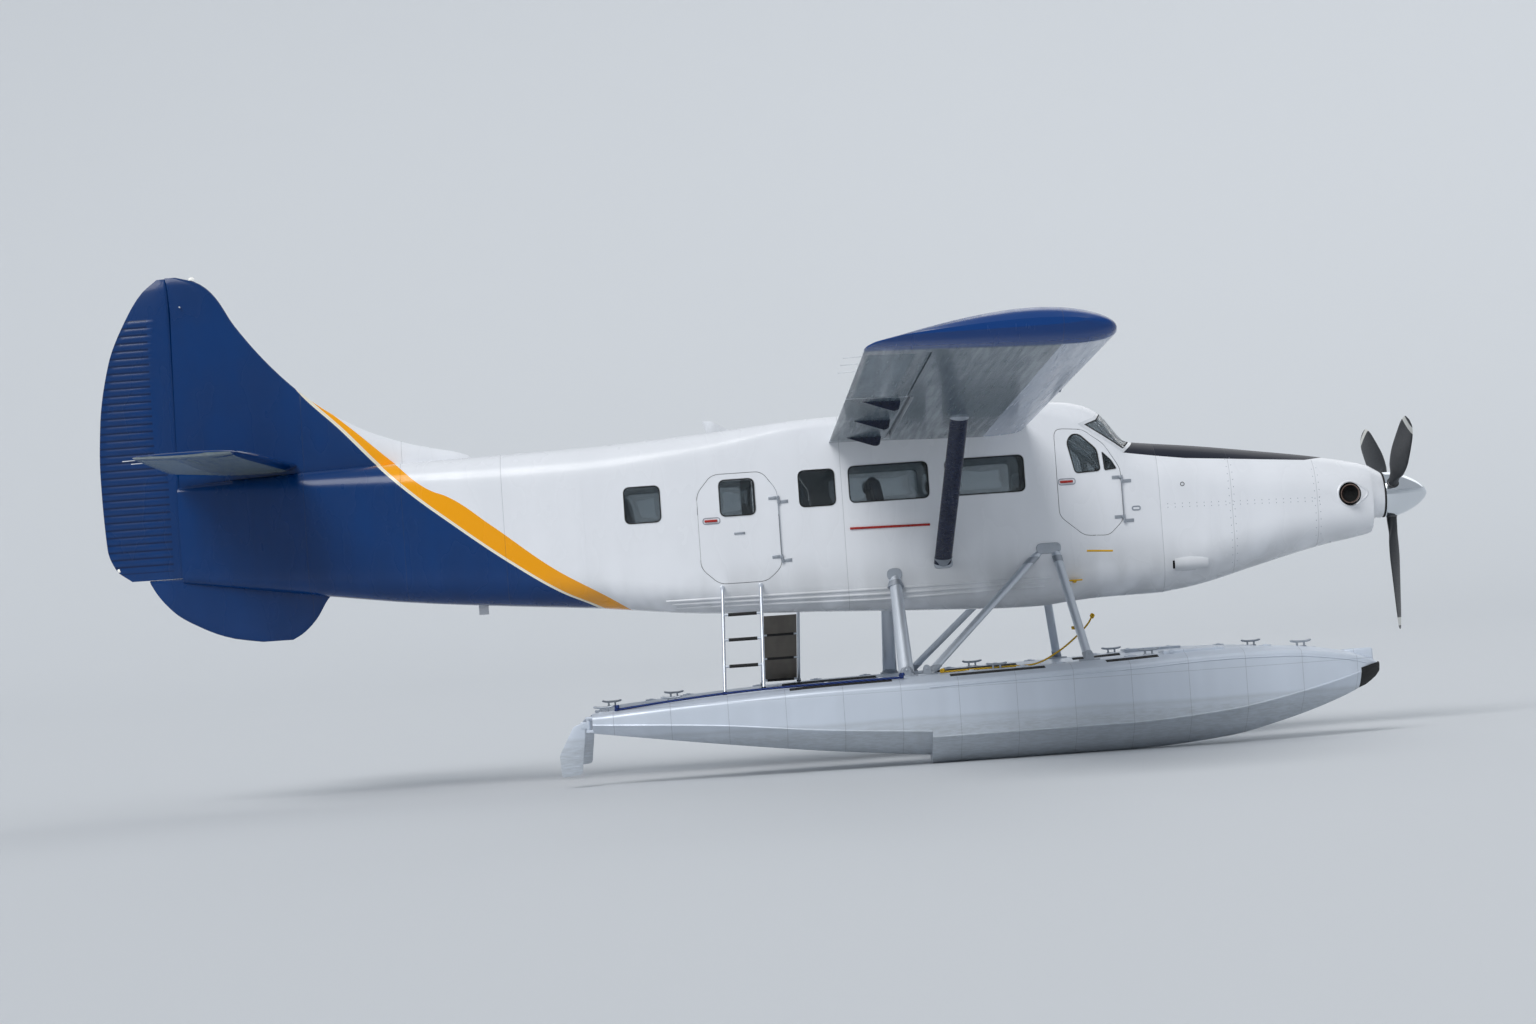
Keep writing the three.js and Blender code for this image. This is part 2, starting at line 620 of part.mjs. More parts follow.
// Hinged surfaces: a round nose on the hinge line, tapering to a thin trailing edge.
// They are drawn with the span along Y; the rudder is turned upright afterwards.
const TRAILING_HALF = 6;
const HINGE_BARREL = { radius: 15, notch: 64, arm: 26, armHalf: 9, depth: 42, tall: 30, sunk: 20, past: 12 };
const CUT_HALF = 300;

function teardrop(span, hingeX, hingeZ, radius, trailingX, trailingZ) {
  const nose = Array.from({ length: 9 }, (_, i) => {
    const angle = Math.PI / 2 - (i / 8) * Math.PI;
    return new THREE.Vector3(hingeX + radius * Math.cos(angle), span, hingeZ + radius * Math.sin(angle));
  });
  return [...nose,
    new THREE.Vector3(trailingX, span, trailingZ - TRAILING_HALF),
    new THREE.Vector3(trailingX, span, trailingZ + TRAILING_HALF)];
}

function hingeSet(spans, hingeX, hingeZ, radius) {
  const { notch, arm, armHalf, depth, tall, sunk, past } = HINGE_BARREL;
  const reach = hingeX + radius + SURFACE_GAP + past;
  const [low, high] = [hingeZ - radius - tall, hingeZ + radius + tall];
  const notches = spans.map((s) => solid(box(hingeX - depth, reach, s - notch / 2, s + notch / 2, low, high)));
  const arms = spans.flatMap((s) => {
    const [from, to] = [s - notch / 2 + SEAM, s + notch / 2 - SEAM];
    return [
      solid(rod([hingeX, from, hingeZ], [hingeX, to, hingeZ], HINGE_BARREL.radius)),
      solid(box(hingeX, reach + sunk, s - arm / 2, s + arm / 2, hingeZ - armHalf, hingeZ + armHalf)),
    ];
  });
  return { notches, arms };
}

// The room behind a hinge line. A deep one is also open below, for a surface that drops far.
function cove(hingeX, hingeZ, radius, s0, s1, trailingX, deep = 0) {
  const r = radius + SURFACE_GAP;
  const parts = [
    solid(rod([hingeX, s0, hingeZ], [hingeX, s1, hingeZ], r, 24)),
    solid(box(trailingX, hingeX, s0, s1, hingeZ - CUT_HALF, hingeZ + CUT_HALF)),
  ];
  if (deep) {
    parts.push(solid(box(hingeX - 1, hingeX + deep, s0, s1, hingeZ - CUT_HALF, hingeZ - 0.42 * radius)));
  }
  return union(...parts);
}

// Wing, flap and aileron, built level with the root at span 0 and then raised to the dihedral.
const AIRFOIL = { camber: 0.04, camberAt: 0.4, thickness: 0.15 };
const AIRFOIL_STEPS = 9;
const TRAILING_EDGE = 0.003;

function camberLine(c) {
  const { camber: m, camberAt: p } = AIRFOIL;
  return c < p ? (m / p ** 2) * (2 * p * c - c * c) : (m / (1 - p) ** 2) * (1 - 2 * p + 2 * p * c - c * c);
}

function halfThickness(c) {
  const poly = 0.2969 * Math.sqrt(c) - 0.126 * c - 0.3516 * c ** 2 + 0.2843 * c ** 3 - 0.1015 * c ** 4;
  return 5 * AIRFOIL.thickness * poly + TRAILING_EDGE * c;
}

const chordSteps = Array.from(
  { length: AIRFOIL_STEPS + 1 },
  (_, i) => (1 - Math.cos((i / AIRFOIL_STEPS) * Math.PI)) / 2,
);
const airfoil = [
  ...chordSteps.map((c) => [c, camberLine(c) + halfThickness(c)]).reverse(),
  ...chordSteps.slice(1).map((c) => [c, camberLine(c) - halfThickness(c)]),
];

// Rings near the tip shrink towards this share of the chord.
const TIP_CENTRE = 0.45;

function wingRing(span, chordScale = 1, thickScale = 1) {
  const offset = (1 - chordScale) * TIP_CENTRE;
  const middle = camberLine(TIP_CENTRE);
  return airfoil.map(([c, z]) => {
    const along = (offset + c * chordScale) * CHORD;
    const height = (middle + (z - middle) * thickScale) * CHORD;
    return new THREE.Vector3(WING_LE - along, span, height - along * INCIDENCE);
  });
}

const SPAN = (HALF_SPAN - WING_ROOT_Y) / Math.cos(DIHEDRAL);
const FLAP = { from: 95, to: 4150, hinges: [400, 2100, 3850], slot: 92 };
const AILERON = { from: 4175, to: 7520, hinges: [4500, 7150], slot: 0 };
const hingeX = WING_LE - HINGE_FRACTION * CHORD;
const hingeZ = camberLine(HINGE_FRACTION) * CHORD - HINGE_FRACTION * CHORD * INCIDENCE;
const hingeR = halfThickness(HINGE_FRACTION) * CHORD - 1;
const trailingX = WING_LE - CHORD + 4;
const trailingZ = -CHORD * INCIDENCE;
const flapHinges = hingeSet(FLAP.hinges, hingeX, hingeZ, hingeR);
const aileronHinges = hingeSet(AILERON.hinges, hingeX, hingeZ, hingeR);
const toWing = new THREE.Matrix4()
  .makeTranslation(0, WING_ROOT_Y, WING_ROOT_Z)
  .multiply(new THREE.Matrix4().makeRotationX(DIHEDRAL));

function raised(manifold) {
  return solid(toGeometry(manifold).applyMatrix4(toWing));
}

function surfaceCove({ from, to, slot }) {
  return cove(hingeX, hingeZ, hingeR, from - SURFACE_GAP, to + SURFACE_GAP, trailingX - 200, slot);
}

// Wing stations: span, chord scale, thickness scale
const WING = [
  [-150, 1, 1], [SPAN - 345, 1, 1], [SPAN - 190, 0.985, 0.9], [SPAN - 70, 0.92, 0.62], [SPAN, 0.72, 0.2],
];
const wingLevel = union(
  cut(loft(WING.map((station) => wingRing(...station))), surfaceCove(FLAP), surfaceCove(AILERON)),
  ...flapHinges.arms,
  ...aileronHinges.arms,
);
const wing = cut(raised(wingLevel), fuselageSkin);
addPair('wing', wing, 'underside');

const SURFACES = [['flap', FLAP, flapHinges], ['aileron', AILERON, aileronHinges]];
for (const [name, { from, to }, hinges] of SURFACES) {
  const body = loft([from, to].map((s) => teardrop(s, hingeX, hingeZ, hingeR, trailingX, trailingZ)));
  addPair(name, raised(cut(body, ...hinges.notches)), 'underside');
}

// Wing strut: an oval section from the fuselage side to the wing's lower surface.
function ovalStrut(from, to, chord, thickness, chordEnd = chord) {
  const ends = [[from, chord], [to, chordEnd]];
  const across = new THREE.Vector3(0, to[2] - from[2], from[1] - to[1]).normalize();
  return loft(ends.map(([[x, y, z], width]) => Array.from({ length: 12 }, (_, i) => {
    const angle = (i / 12) * 2 * Math.PI;
    const point = new THREE.Vector3(x + (width / 2) * Math.cos(angle), y, z);
    return point.addScaledVector(across, (thickness / 2) * Math.sin(angle));
  })));
}

const wingLower = solid(toGeometry(wing).translate(0, 0, -SEAM));
const STRUT_LOW = [1692, 760, 1915];
const STRUT_HIGH = [1800, 3040, 3360];
const WING_STRUT = { chord: 175, thickness: 62 };
const wingStrut = ovalStrut(STRUT_LOW, STRUT_HIGH, WING_STRUT.chord, WING_STRUT.thickness);
addPair('wing_strut', cut(wingStrut, fuselageSkin, wingLower), 'blue');

// Tail

// A symmetric section: thickest at NOSE_SHARE of its depth, REAR_SHARE as thick at its back.
const NOSE_SHARE = 0.36;
const REAR_SHARE = 0.86;

function symmetricRing(span, leading, trailing, half) {
  const nose = Array.from({ length: 5 }, (_, i) => (1 - Math.cos((i / 4) * (Math.PI / 2))) * NOSE_SHARE);
  const upper = [...nose.map((c) => [c, Math.sqrt(1 - (1 - c / NOSE_SHARE) ** 2)]), [1, REAR_SHARE]];
  const lower = upper.slice(1).reverse().map(([c, t]) => [c, -t]);
  const depth = trailing - leading;
  return [...upper, ...lower].map(([c, t]) => new THREE.Vector3(leading + c * depth, span, t * half));
}

const upright = new THREE.Matrix4().makeRotationX(Math.PI / 2);

function stood(manifold) {
  return solid(toGeometry(manifold).applyMatrix4(upright));
}

const RUDDER_NOSE = 62;
const finHinges = hingeSet([3700, 4800], RUDDER_HINGE_X, 0, RUDDER_NOSE);
const finRings = (offset) => FIN.map(
  ([z, leading, half]) => symmetricRing(z, leading + offset, RUDDER_HINGE_X, half + offset),
);
const finCove = cove(RUDDER_HINGE_X, 0, RUDDER_NOSE, 3200, 5600, RUDDER_HINGE_X - 200);
const fin = cut(stood(union(cut(loft(finRings(0)), finCove), ...finHinges.arms)), fuselageSkin);
addNode(aircraft, 'fin', fin, 'blue');
const finSkin = stood(loft(finRings(SEAM)));

const rudderRings = RUDDER.map(([z, trailing, nose]) => teardrop(z, RUDDER_HINGE_X, 0, nose, trailing, 0));
addNode(aircraft, 'rudder', stood(cut(loft(rudderRings), ...finHinges.notches)), 'blue');

const ventralRings = VENTRAL.map((station) => symmetricRing(...station));
addNode(aircraft, 'ventral_fin', cut(stood(loft(ventralRings)), fuselageSkin), 'blue');

// Tailplane stations: y, leading edge x, trailing edge x, half thickness
const TAILPLANE = [
  [0, -4770, -6056, 64], [2700, -4945, -5975, 46], [3060, -5000, -5955, 36], [3190, -5110, -5880, 24],
  [TAILPLANE_HALF_SPAN, -5260, -5760, 10],
];
const ELEVATOR = { from: 170, to: 2960, noseRoot: 56, noseTip: 42 };
const elevatorHinges = hingeSet([600, 2400], ELEVATOR_HINGE_X, 0, ELEVATOR.noseRoot);
const tailplaneRings = TAILPLANE.map((station) => symmetricRing(...station));
const elevatorRoom = [ELEVATOR.from - 60, ELEVATOR.to + SURFACE_GAP];
const elevatorCove = cove(ELEVATOR_HINGE_X, 0, ELEVATOR.noseRoot, ...elevatorRoom, -6200);
const inboardCut = solid(box(-6200, ELEVATOR_HINGE_X - 40, -10, ELEVATOR.from - 30, -200, 200));
const tailplaneLevel = union(cut(loft(tailplaneRings), elevatorCove, inboardCut), ...elevatorHinges.arms);
const atTail = (manifold) => solid(toGeometry(manifold).translate(0, 0, TAILPLANE_Z));
addPair('tailplane', cut(atTail(tailplaneLevel), finSkin), 'underside');
const elevatorBody = loft([
  teardrop(ELEVATOR.from, ELEVATOR_HINGE_X, 0, ELEVATOR.noseRoot, -6052, 0),
  teardrop(ELEVATOR.to, ELEVATOR_HINGE_X, 0, ELEVATOR.noseTip, -5962, 0),
]);
addPair('elevator', atTail(cut(elevatorBody, ...elevatorHinges.notches)), 'underside');

// Floats, their struts and what stands on them

function floatRing([x, keel, chine, half, deck, crown]) {
  const edge = Math.min(40, half * 0.4, (deck - chine) * 0.4);
  const keelHalf = Math.min(KEEL_HALF, half * 0.4);
  const shoulder = [half * 0.45, deck + crown * 0.75];
  const oneSide = [[keelHalf, keel], [half, chine], [half, deck - edge], [half - edge, deck], shoulder];
  const otherSide = oneSide.map(([a, z]) => [-a, z]).reverse();
  return [...oneSide, [0, deck + crown], ...otherSide].map(([a, z]) => new THREE.Vector3(x, FLOAT_Y + a, z));
}

const STERN_X = FLOAT[0][0];
const RUDDER_POST = { x: STERN_X - 45, radius: 20, lowerLug: 530, upperLug: 660 };
const LUG = 26;
const sternLug = (z) => union(
  solid(box(RUDDER_POST.x, STERN_X + 60, FLOAT_Y - 28, FLOAT_Y + 28, z, z + LUG)),
  solid(rod([RUDDER_POST.x, FLOAT_Y, z], [RUDDER_POST.x, FLOAT_Y, z + LUG], 28)),
);
const hull = loft(FLOAT.map((station) => floatRing(station)));
const lugs = [RUDDER_POST.lowerLug, RUDDER_POST.upperLug].map((z) => sternLug(z));
addPair('float', union(hull, ...lugs), 'aluminium');
const deckCutter = solid(toGeometry(hull).translate(0, 0, SEAM));
const portSide = solid(toGeometry(hull).translate(0, -SEAM, 0));
const starboardSide = solid(toGeometry(portSide).scale(1, -1, 1));

const postEnds = [RUDDER_POST.lowerLug + LUG + SEAM, RUDDER_POST.upperLug - SEAM];
const post = solid(rod(...postEnds.map((z) => [RUDDER_POST.x, FLOAT_Y, z]), RUDDER_POST.radius));
// Water rudder blade: distance behind its post, z
const WATER_RUDDER = [[38, 520], [38, 640], [150, 600], [300, 330], [290, 110], [90, 130]];
const bladeOutline = WATER_RUDDER.map(([behind, z]) => [RUDDER_POST.x - behind, z]);
const bladePlate = prism(bladeOutline, FLOAT_Y - 9, FLOAT_Y + 9);
const yoke = solid(box(RUDDER_POST.x - 60, RUDDER_POST.x, FLOAT_Y - 12, FLOAT_Y + 12, 572, 640));
addPair('water_rudder', union(post, bladePlate, yoke), 'aluminium');

const SPREADER = { frontX: 3015, rearX: 1244, z: 700, radius: 45 };
for (const [name, x] of [['front', SPREADER.frontX], ['rear', SPREADER.rearX]]) {
  const bar = solid(rod([x, -FLOAT_Y, SPREADER.z], [x, FLOAT_Y, SPREADER.z], SPREADER.radius, 14));
  addNode(aircraft, `spreader_bar_${name}`, cut(bar, portSide, starboardSide), 'aluminium');
}

const [apexX, apexZ] = STRUT_APEX;
// Float struts: name, top x, top y, top z, foot x, foot y, top chord, foot chord, thickness
const FLOAT_STRUTS = [
  ['front_strut', apexX + 62, 770, apexZ, SPREADER.frontX, FLOAT_Y, 90, 90, 46],
  ['diagonal_strut', apexX - 62, 770, apexZ, SPREADER.rearX + 170, FLOAT_Y, 105, 105, 46],
  ['rear_strut', 1203, 770, 1880, SPREADER.rearX - 30, FLOAT_Y, 118, 155, 52],
];
for (const [name, x0, y0, z0, x1, y1, chord, chordFoot, thickness] of FLOAT_STRUTS) {
  const bar = ovalStrut([x0, y0, z0], [x1, y1, 780], chord, thickness, chordFoot);
  addPair(name, cut(bar, fuselageSkin, deckCutter), 'aluminium');
}

// Boarding ladders: side, x at the head, x at the foot, rung heights
const LADDER = { width: 385, rail: 17, rung: 13, head: 1882, headY: 868, footY: 1395, deck: 800, foot: 780 };
const BACK_PLATE = { low: 890, high: 1560, thick: 6 };
function ladder(headX, footX, rungs, plate) {
  const { width, rail, rung, head, headY, footY, deck, foot } = LADDER;
  const at = (z) => {
    const t = (head - z) / (head - deck);
    return [headX + (footX - headX) * t, headY + (footY - headY) * t, z];
  };
  const hookZ = head - 20;
  const parts = [];
  for (const w of [0, width]) {
    parts.push(solid(rod([headX + w, headY, head], [footX + w, footY, foot], rail, 10)));
    parts.push(solid(rod([headX + w, 780, hookZ], [headX + w, headY + 6, hookZ], rail - 3, 8)));
  }
  for (const [x, y, z] of rungs.map(at)) {
    parts.push(solid(rod([x, y, z], [x + width, y, z], rung, 8)));
  }
  if (plate) {
    const { low, high, thick } = BACK_PLATE;
    const [topPoint, lowPoint] = [at(high), at(low)];
    const tall = high - low;
    const sheet = box(0, width, -thick, 0, 0, tall).rotateX(Math.atan2(lowPoint[1] - topPoint[1], tall));
    parts.push(solid(sheet.translate(lowPoint[0], lowPoint[1] - 4, low)));
  }
  return cut(union(...parts), fuselageSkin, deckCutter);
}
const starboardLadder = ladder(-526, -578, [1590, 1340, 1080], false);
addNode(starboard, 'ladder_right', starboardLadder, 'aluminium');
addNode(aircraft, 'ladder_left', ladder(-105, -154, [1610, 1360, 1110, 880], true), 'aluminium');

// Cabin interior

const floorPlate = solid(box(CABIN_AFT, FIREWALL - 330, -FAR, FAR, FLOOR_TOP - FLOOR_THICK, FLOOR_TOP));
addNode(aircraft, 'cabin_floor', floorPlate.intersect(cabinLining), 'floor');
const panelPlate = solid(box(3540, 3610, -FAR, FAR, 2380, 2925));
addNode(aircraft, 'instrument_panel', panelPlate.intersect(cabinLining), 'black');

const SEAT = {
  width: 430, depth: 430, cushion: 110, seatTop: 2320, backTop: 2900, baseDepth: 380, baseIn: 60,
};
function seat(x, y) {
  const { width, depth, cushion, seatTop, backTop, baseDepth, baseIn } = SEAT;
  const [y0, y1] = [y - width / 2, y + width / 2];
  const rear = x - depth;
  const padLow = seatTop - cushion;
  const base = solid(box(rear, rear + baseDepth, y0 + baseIn, y1 - baseIn, FLOOR_TOP + SEAM, padLow + 5));
  const pad = solid(box(rear, x, y0, y1, padLow, seatTop));
  const back = prism([
    [rear - 120, backTop], [rear - 10, backTop], [rear + 80, seatTop - 60], [rear - 30, seatTop - 60],
  ], y0, y1);
  return union(base, pad, back);
}
addPair('crew_seat', seat(3220, 400), 'seat');

// Passenger seat rows: cushion front x, seat centres across
const ROWS = [
  [2330, [-520, 105, 540]], [1560, [-520, 105, 540]], [800, [-520, 105, 540]], [-980, [-460, 60, 485]],
];
const SEAT_RAIL = { centres: [-490, 85, 510], half: 20, low: FLOOR_TOP + SEAM, high: FLOOR_TOP + 22 };
const rails = SEAT_RAIL.centres.map((y) => solid(box(
  -1500, 2300, y - SEAT_RAIL.half, y + SEAT_RAIL.half, SEAT_RAIL.low, SEAT_RAIL.high,
)));
const tie = solid(box(500, 560, -500, 520, SEAT_RAIL.low, SEAT_RAIL.high));
const seats = ROWS.flatMap(([x, centres]) => centres.map((y) => seat(x, y)));
addNode(aircraft, 'passenger_seats', union(...rails, tie, ...seats), 'seat');

// Ropes on the starboard float

// Rope points: x, y, z
const YELLOW_ROPE = [
  [3105, -1240, 1330], [3060, -1180, 1250], [2920, -1180, 1120], [2740, -1260, 1000], [2500, -1400, 900],
  [2200, -1480, 891.1], [1900, -1500, 889.1], [1560, -1600, 884.1],
];
const BLUE_ROPE = [
  [1150, -1760, 861.3], [800, -1780, 858.3], [350, -1770, 851.3], [-150, -1740, 843.3], [-650, -1700, 821.3],
  [-1150, -1650, 783.3], [-1640, -1600, 738.3],
];
const YELLOW_RADIUS = 9;
const BLUE_RADIUS = 12;
const ropeLine = (points) => new THREE.CatmullRomCurve3(points.map((p) => new THREE.Vector3(...p)));
addNode(aircraft, 'yellow_rope', roundBar(ropeLine(YELLOW_ROPE), YELLOW_RADIUS, 26, 4), 'yellow');
addNode(aircraft, 'blue_rope', roundBar(ropeLine(BLUE_ROPE), BLUE_RADIUS, 26, 4), 'rope');

export default aircraft;
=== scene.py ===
"""Looks of a single-turboprop floatplane on two straight floats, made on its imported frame.

Metres. +X to the nose, +Y to port, +Z up. The origin is under the middle, on the level of the keels.
"""

import sys

import functools
import inspect
import json
import logging
import math
from collections.abc import Callable, Sequence
from dataclasses import dataclass, field
from enum import Enum

import bpy
import numpy as np
from mathutils import Matrix, Vector
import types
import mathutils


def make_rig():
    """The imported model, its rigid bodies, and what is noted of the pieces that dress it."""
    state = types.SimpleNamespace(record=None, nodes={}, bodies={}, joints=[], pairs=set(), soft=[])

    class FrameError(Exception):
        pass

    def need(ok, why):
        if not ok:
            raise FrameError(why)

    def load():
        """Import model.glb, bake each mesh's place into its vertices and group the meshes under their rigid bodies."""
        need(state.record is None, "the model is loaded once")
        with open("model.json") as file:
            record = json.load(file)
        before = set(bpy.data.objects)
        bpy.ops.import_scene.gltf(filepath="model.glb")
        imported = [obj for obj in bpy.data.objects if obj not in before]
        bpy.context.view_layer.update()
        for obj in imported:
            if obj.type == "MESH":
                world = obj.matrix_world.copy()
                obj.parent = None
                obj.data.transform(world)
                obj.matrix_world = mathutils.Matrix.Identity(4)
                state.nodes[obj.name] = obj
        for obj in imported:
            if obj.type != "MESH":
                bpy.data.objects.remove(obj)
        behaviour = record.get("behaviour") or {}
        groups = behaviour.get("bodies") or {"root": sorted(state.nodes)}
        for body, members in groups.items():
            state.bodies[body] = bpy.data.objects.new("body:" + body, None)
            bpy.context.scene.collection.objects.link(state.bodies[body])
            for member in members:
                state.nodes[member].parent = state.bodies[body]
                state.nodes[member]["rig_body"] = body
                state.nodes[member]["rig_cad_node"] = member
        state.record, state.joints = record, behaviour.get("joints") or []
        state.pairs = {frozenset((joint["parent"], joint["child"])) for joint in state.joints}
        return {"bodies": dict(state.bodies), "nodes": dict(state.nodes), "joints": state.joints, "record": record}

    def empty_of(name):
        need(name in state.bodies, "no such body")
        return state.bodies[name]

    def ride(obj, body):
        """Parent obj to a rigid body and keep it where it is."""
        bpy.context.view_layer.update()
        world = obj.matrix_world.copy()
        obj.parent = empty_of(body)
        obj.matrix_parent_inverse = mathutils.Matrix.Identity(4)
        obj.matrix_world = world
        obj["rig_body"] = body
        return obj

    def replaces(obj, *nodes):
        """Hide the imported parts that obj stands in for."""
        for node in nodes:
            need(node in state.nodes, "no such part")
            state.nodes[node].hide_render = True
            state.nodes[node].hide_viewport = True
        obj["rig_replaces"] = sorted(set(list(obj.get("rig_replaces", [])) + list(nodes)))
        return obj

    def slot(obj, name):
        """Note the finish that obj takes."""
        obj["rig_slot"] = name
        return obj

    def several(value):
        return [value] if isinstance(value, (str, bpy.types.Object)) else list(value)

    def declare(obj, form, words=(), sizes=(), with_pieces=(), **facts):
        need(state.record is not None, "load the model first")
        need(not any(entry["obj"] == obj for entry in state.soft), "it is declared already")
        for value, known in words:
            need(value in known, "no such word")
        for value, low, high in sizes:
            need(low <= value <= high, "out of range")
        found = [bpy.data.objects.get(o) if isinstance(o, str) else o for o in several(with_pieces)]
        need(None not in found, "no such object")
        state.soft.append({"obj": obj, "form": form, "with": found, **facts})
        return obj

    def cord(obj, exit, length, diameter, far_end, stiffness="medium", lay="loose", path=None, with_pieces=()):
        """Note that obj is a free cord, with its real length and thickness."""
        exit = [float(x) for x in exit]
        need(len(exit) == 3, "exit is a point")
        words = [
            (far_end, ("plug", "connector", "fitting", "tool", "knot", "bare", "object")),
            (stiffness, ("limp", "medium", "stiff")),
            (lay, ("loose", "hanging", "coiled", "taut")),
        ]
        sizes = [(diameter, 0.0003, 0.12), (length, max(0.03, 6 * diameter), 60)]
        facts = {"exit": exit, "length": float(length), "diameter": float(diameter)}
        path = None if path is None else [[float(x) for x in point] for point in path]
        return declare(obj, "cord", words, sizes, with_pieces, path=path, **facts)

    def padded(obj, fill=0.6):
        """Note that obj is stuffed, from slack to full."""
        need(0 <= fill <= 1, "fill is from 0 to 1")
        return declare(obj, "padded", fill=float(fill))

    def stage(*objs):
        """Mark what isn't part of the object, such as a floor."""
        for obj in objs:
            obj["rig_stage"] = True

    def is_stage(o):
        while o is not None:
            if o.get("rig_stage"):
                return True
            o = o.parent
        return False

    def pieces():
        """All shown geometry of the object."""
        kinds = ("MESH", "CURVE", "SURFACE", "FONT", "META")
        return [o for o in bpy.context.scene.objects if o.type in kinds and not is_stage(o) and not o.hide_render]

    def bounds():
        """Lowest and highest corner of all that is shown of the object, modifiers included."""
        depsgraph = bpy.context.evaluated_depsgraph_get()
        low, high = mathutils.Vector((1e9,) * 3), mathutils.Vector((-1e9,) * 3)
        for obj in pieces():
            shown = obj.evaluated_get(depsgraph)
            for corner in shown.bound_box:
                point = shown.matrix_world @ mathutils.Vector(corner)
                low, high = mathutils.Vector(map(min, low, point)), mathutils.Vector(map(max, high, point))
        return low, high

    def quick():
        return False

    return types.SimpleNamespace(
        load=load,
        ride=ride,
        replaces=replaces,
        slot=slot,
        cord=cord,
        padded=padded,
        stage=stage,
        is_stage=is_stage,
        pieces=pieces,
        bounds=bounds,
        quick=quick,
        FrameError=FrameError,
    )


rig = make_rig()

LOG = logging.getLogger("floatplane")
BEAD_PITCH = 0.0762  # Between the beads rolled in the control surfaces' skins
BEAD_STEP = BEAD_PITCH / 6

Obj = bpy.types.Object
Point = tuple[float, float, float]
Colour = tuple[float, float, float]
Outline = Sequence[tuple[float, float]]
Rows = Sequence[Sequence[float]]


class Side(Enum):
    """A side of the aircraft, as the sign of its Y."""

    STARBOARD = -1
    PORT = 1

    @property
    def word(self) -> str:
        """The side's word in the names of pieces."""
        return "right" if self is Side.STARBOARD else "left"


# Numbers and outlines


def srgb(red: int, green: int, blue: int) -> Colour:
    """Turn a screen colour, from 0 to 255, into the linear values that shaders take."""
    parts = [channel / 255 for channel in (red, green, blue)]
    return tuple(p / 12.92 if p <= 0.04045 else ((p + 0.055) / 1.055) ** 2.4 for p in parts)


def around(count: int) -> np.ndarray:
    """Give angles evenly round a circle."""
    return np.linspace(0, 2 * math.pi, count, endpoint=False)


def quarter(count: int) -> np.ndarray:
    """Give angles from 0 to a quarter turn."""
    return np.radians(np.linspace(0, 90, count))


def smooth_rows(table: Rows, at: Sequence[float]) -> np.ndarray:
    """Read a table of stations at new places along a smooth curve that never overshoots.

    Args:
        table: Rows whose first number is the place.
        at: The places to read.

    Returns:
        One row for each place, with the place first.
    """
    rows, at = np.asarray(table, float), np.asarray(at, float)
    x, y = rows[:, 0], rows[:, 1:]
    step = np.diff(x)[:, None]
    slope = np.diff(y, axis=0) / step
    rate = np.zeros_like(y)
    rate[0], rate[-1] = slope[0], slope[-1]
    before, after = 2 * step[1:] + step[:-1], step[1:] + 2 * step[:-1]
    with np.errstate(divide="ignore", invalid="ignore"):
        mean = (before + after) / (before / slope[:-1] + after / slope[1:])
    rate[1:-1] = np.where(slope[:-1] * slope[1:] > 0, mean, 0)
    i = np.clip(np.searchsorted(x, at, side="right") - 1, 0, len(x) - 2)
    h = step[i]
    t = (at - x[i])[:, None] / h
    low = (1 + 2 * t) * (1 - t) ** 2 * y[i] + t * (1 - t) ** 2 * h * rate[i]
    high = t * t * (3 - 2 * t) * y[i + 1] + t * t * (t - 1) * h * rate[i + 1]
    return np.column_stack([at, low + high])


def places(table: Rows, step: float, first: float | None = None, last: float | None = None) -> np.ndarray:
    """List places along a table, with its own stations among them.

    Args:
        table: Rows whose first number is the place.
        step: The widest gap between places.
        first: Where to start, if not at the first row.
        last: Where to end, if not at the last row.

    Returns:
        The places in order.
    """
    own = np.array([row[0] for row in table])
    first, last = own[0] if first is None else first, own[-1] if last is None else last
    knots = np.concatenate([[first], own[(own > first + 1e-3) & (own < last - 1e-3)], [last]])
    spans = [np.linspace(a, b, max(2, math.ceil((b - a) / step) + 1)) for a, b in zip(knots, knots[1:])]
    return np.unique(np.round(np.concatenate(spans), 6))


def read(table: Rows, step: float, first: float | None = None, last: float | None = None) -> np.ndarray:
    """Give the table's smooth rows at its places; the arguments are those of places."""
    return smooth_rows(table, places(table, step, first, last))


def rounded(outline: Outline, radius: float, steps: int = 6) -> Outline:
    """Round the corners of an outline.

    Args:
        outline: Corners in order.
        radius: How far along its edges each corner's curve starts.
        steps: Points on each curve.

    Returns:
        The rounded outline.
    """
    corners = [np.array(p, float) for p in outline]
    made = []
    for i, corner in enumerate(corners):
        ends = []
        for way in (corners[i - 1] - corner, corners[(i + 1) % len(corners)] - corner):
            length = float(np.linalg.norm(way))
            ends.append(corner + way / length * min(radius, 0.48 * length))
        for t in np.linspace(0, 1, steps):
            point = (1 - t) ** 2 * ends[0] + 2 * t * (1 - t) * corner + t * t * ends[1]
            made.append((float(point[0]), float(point[1])))
    return made


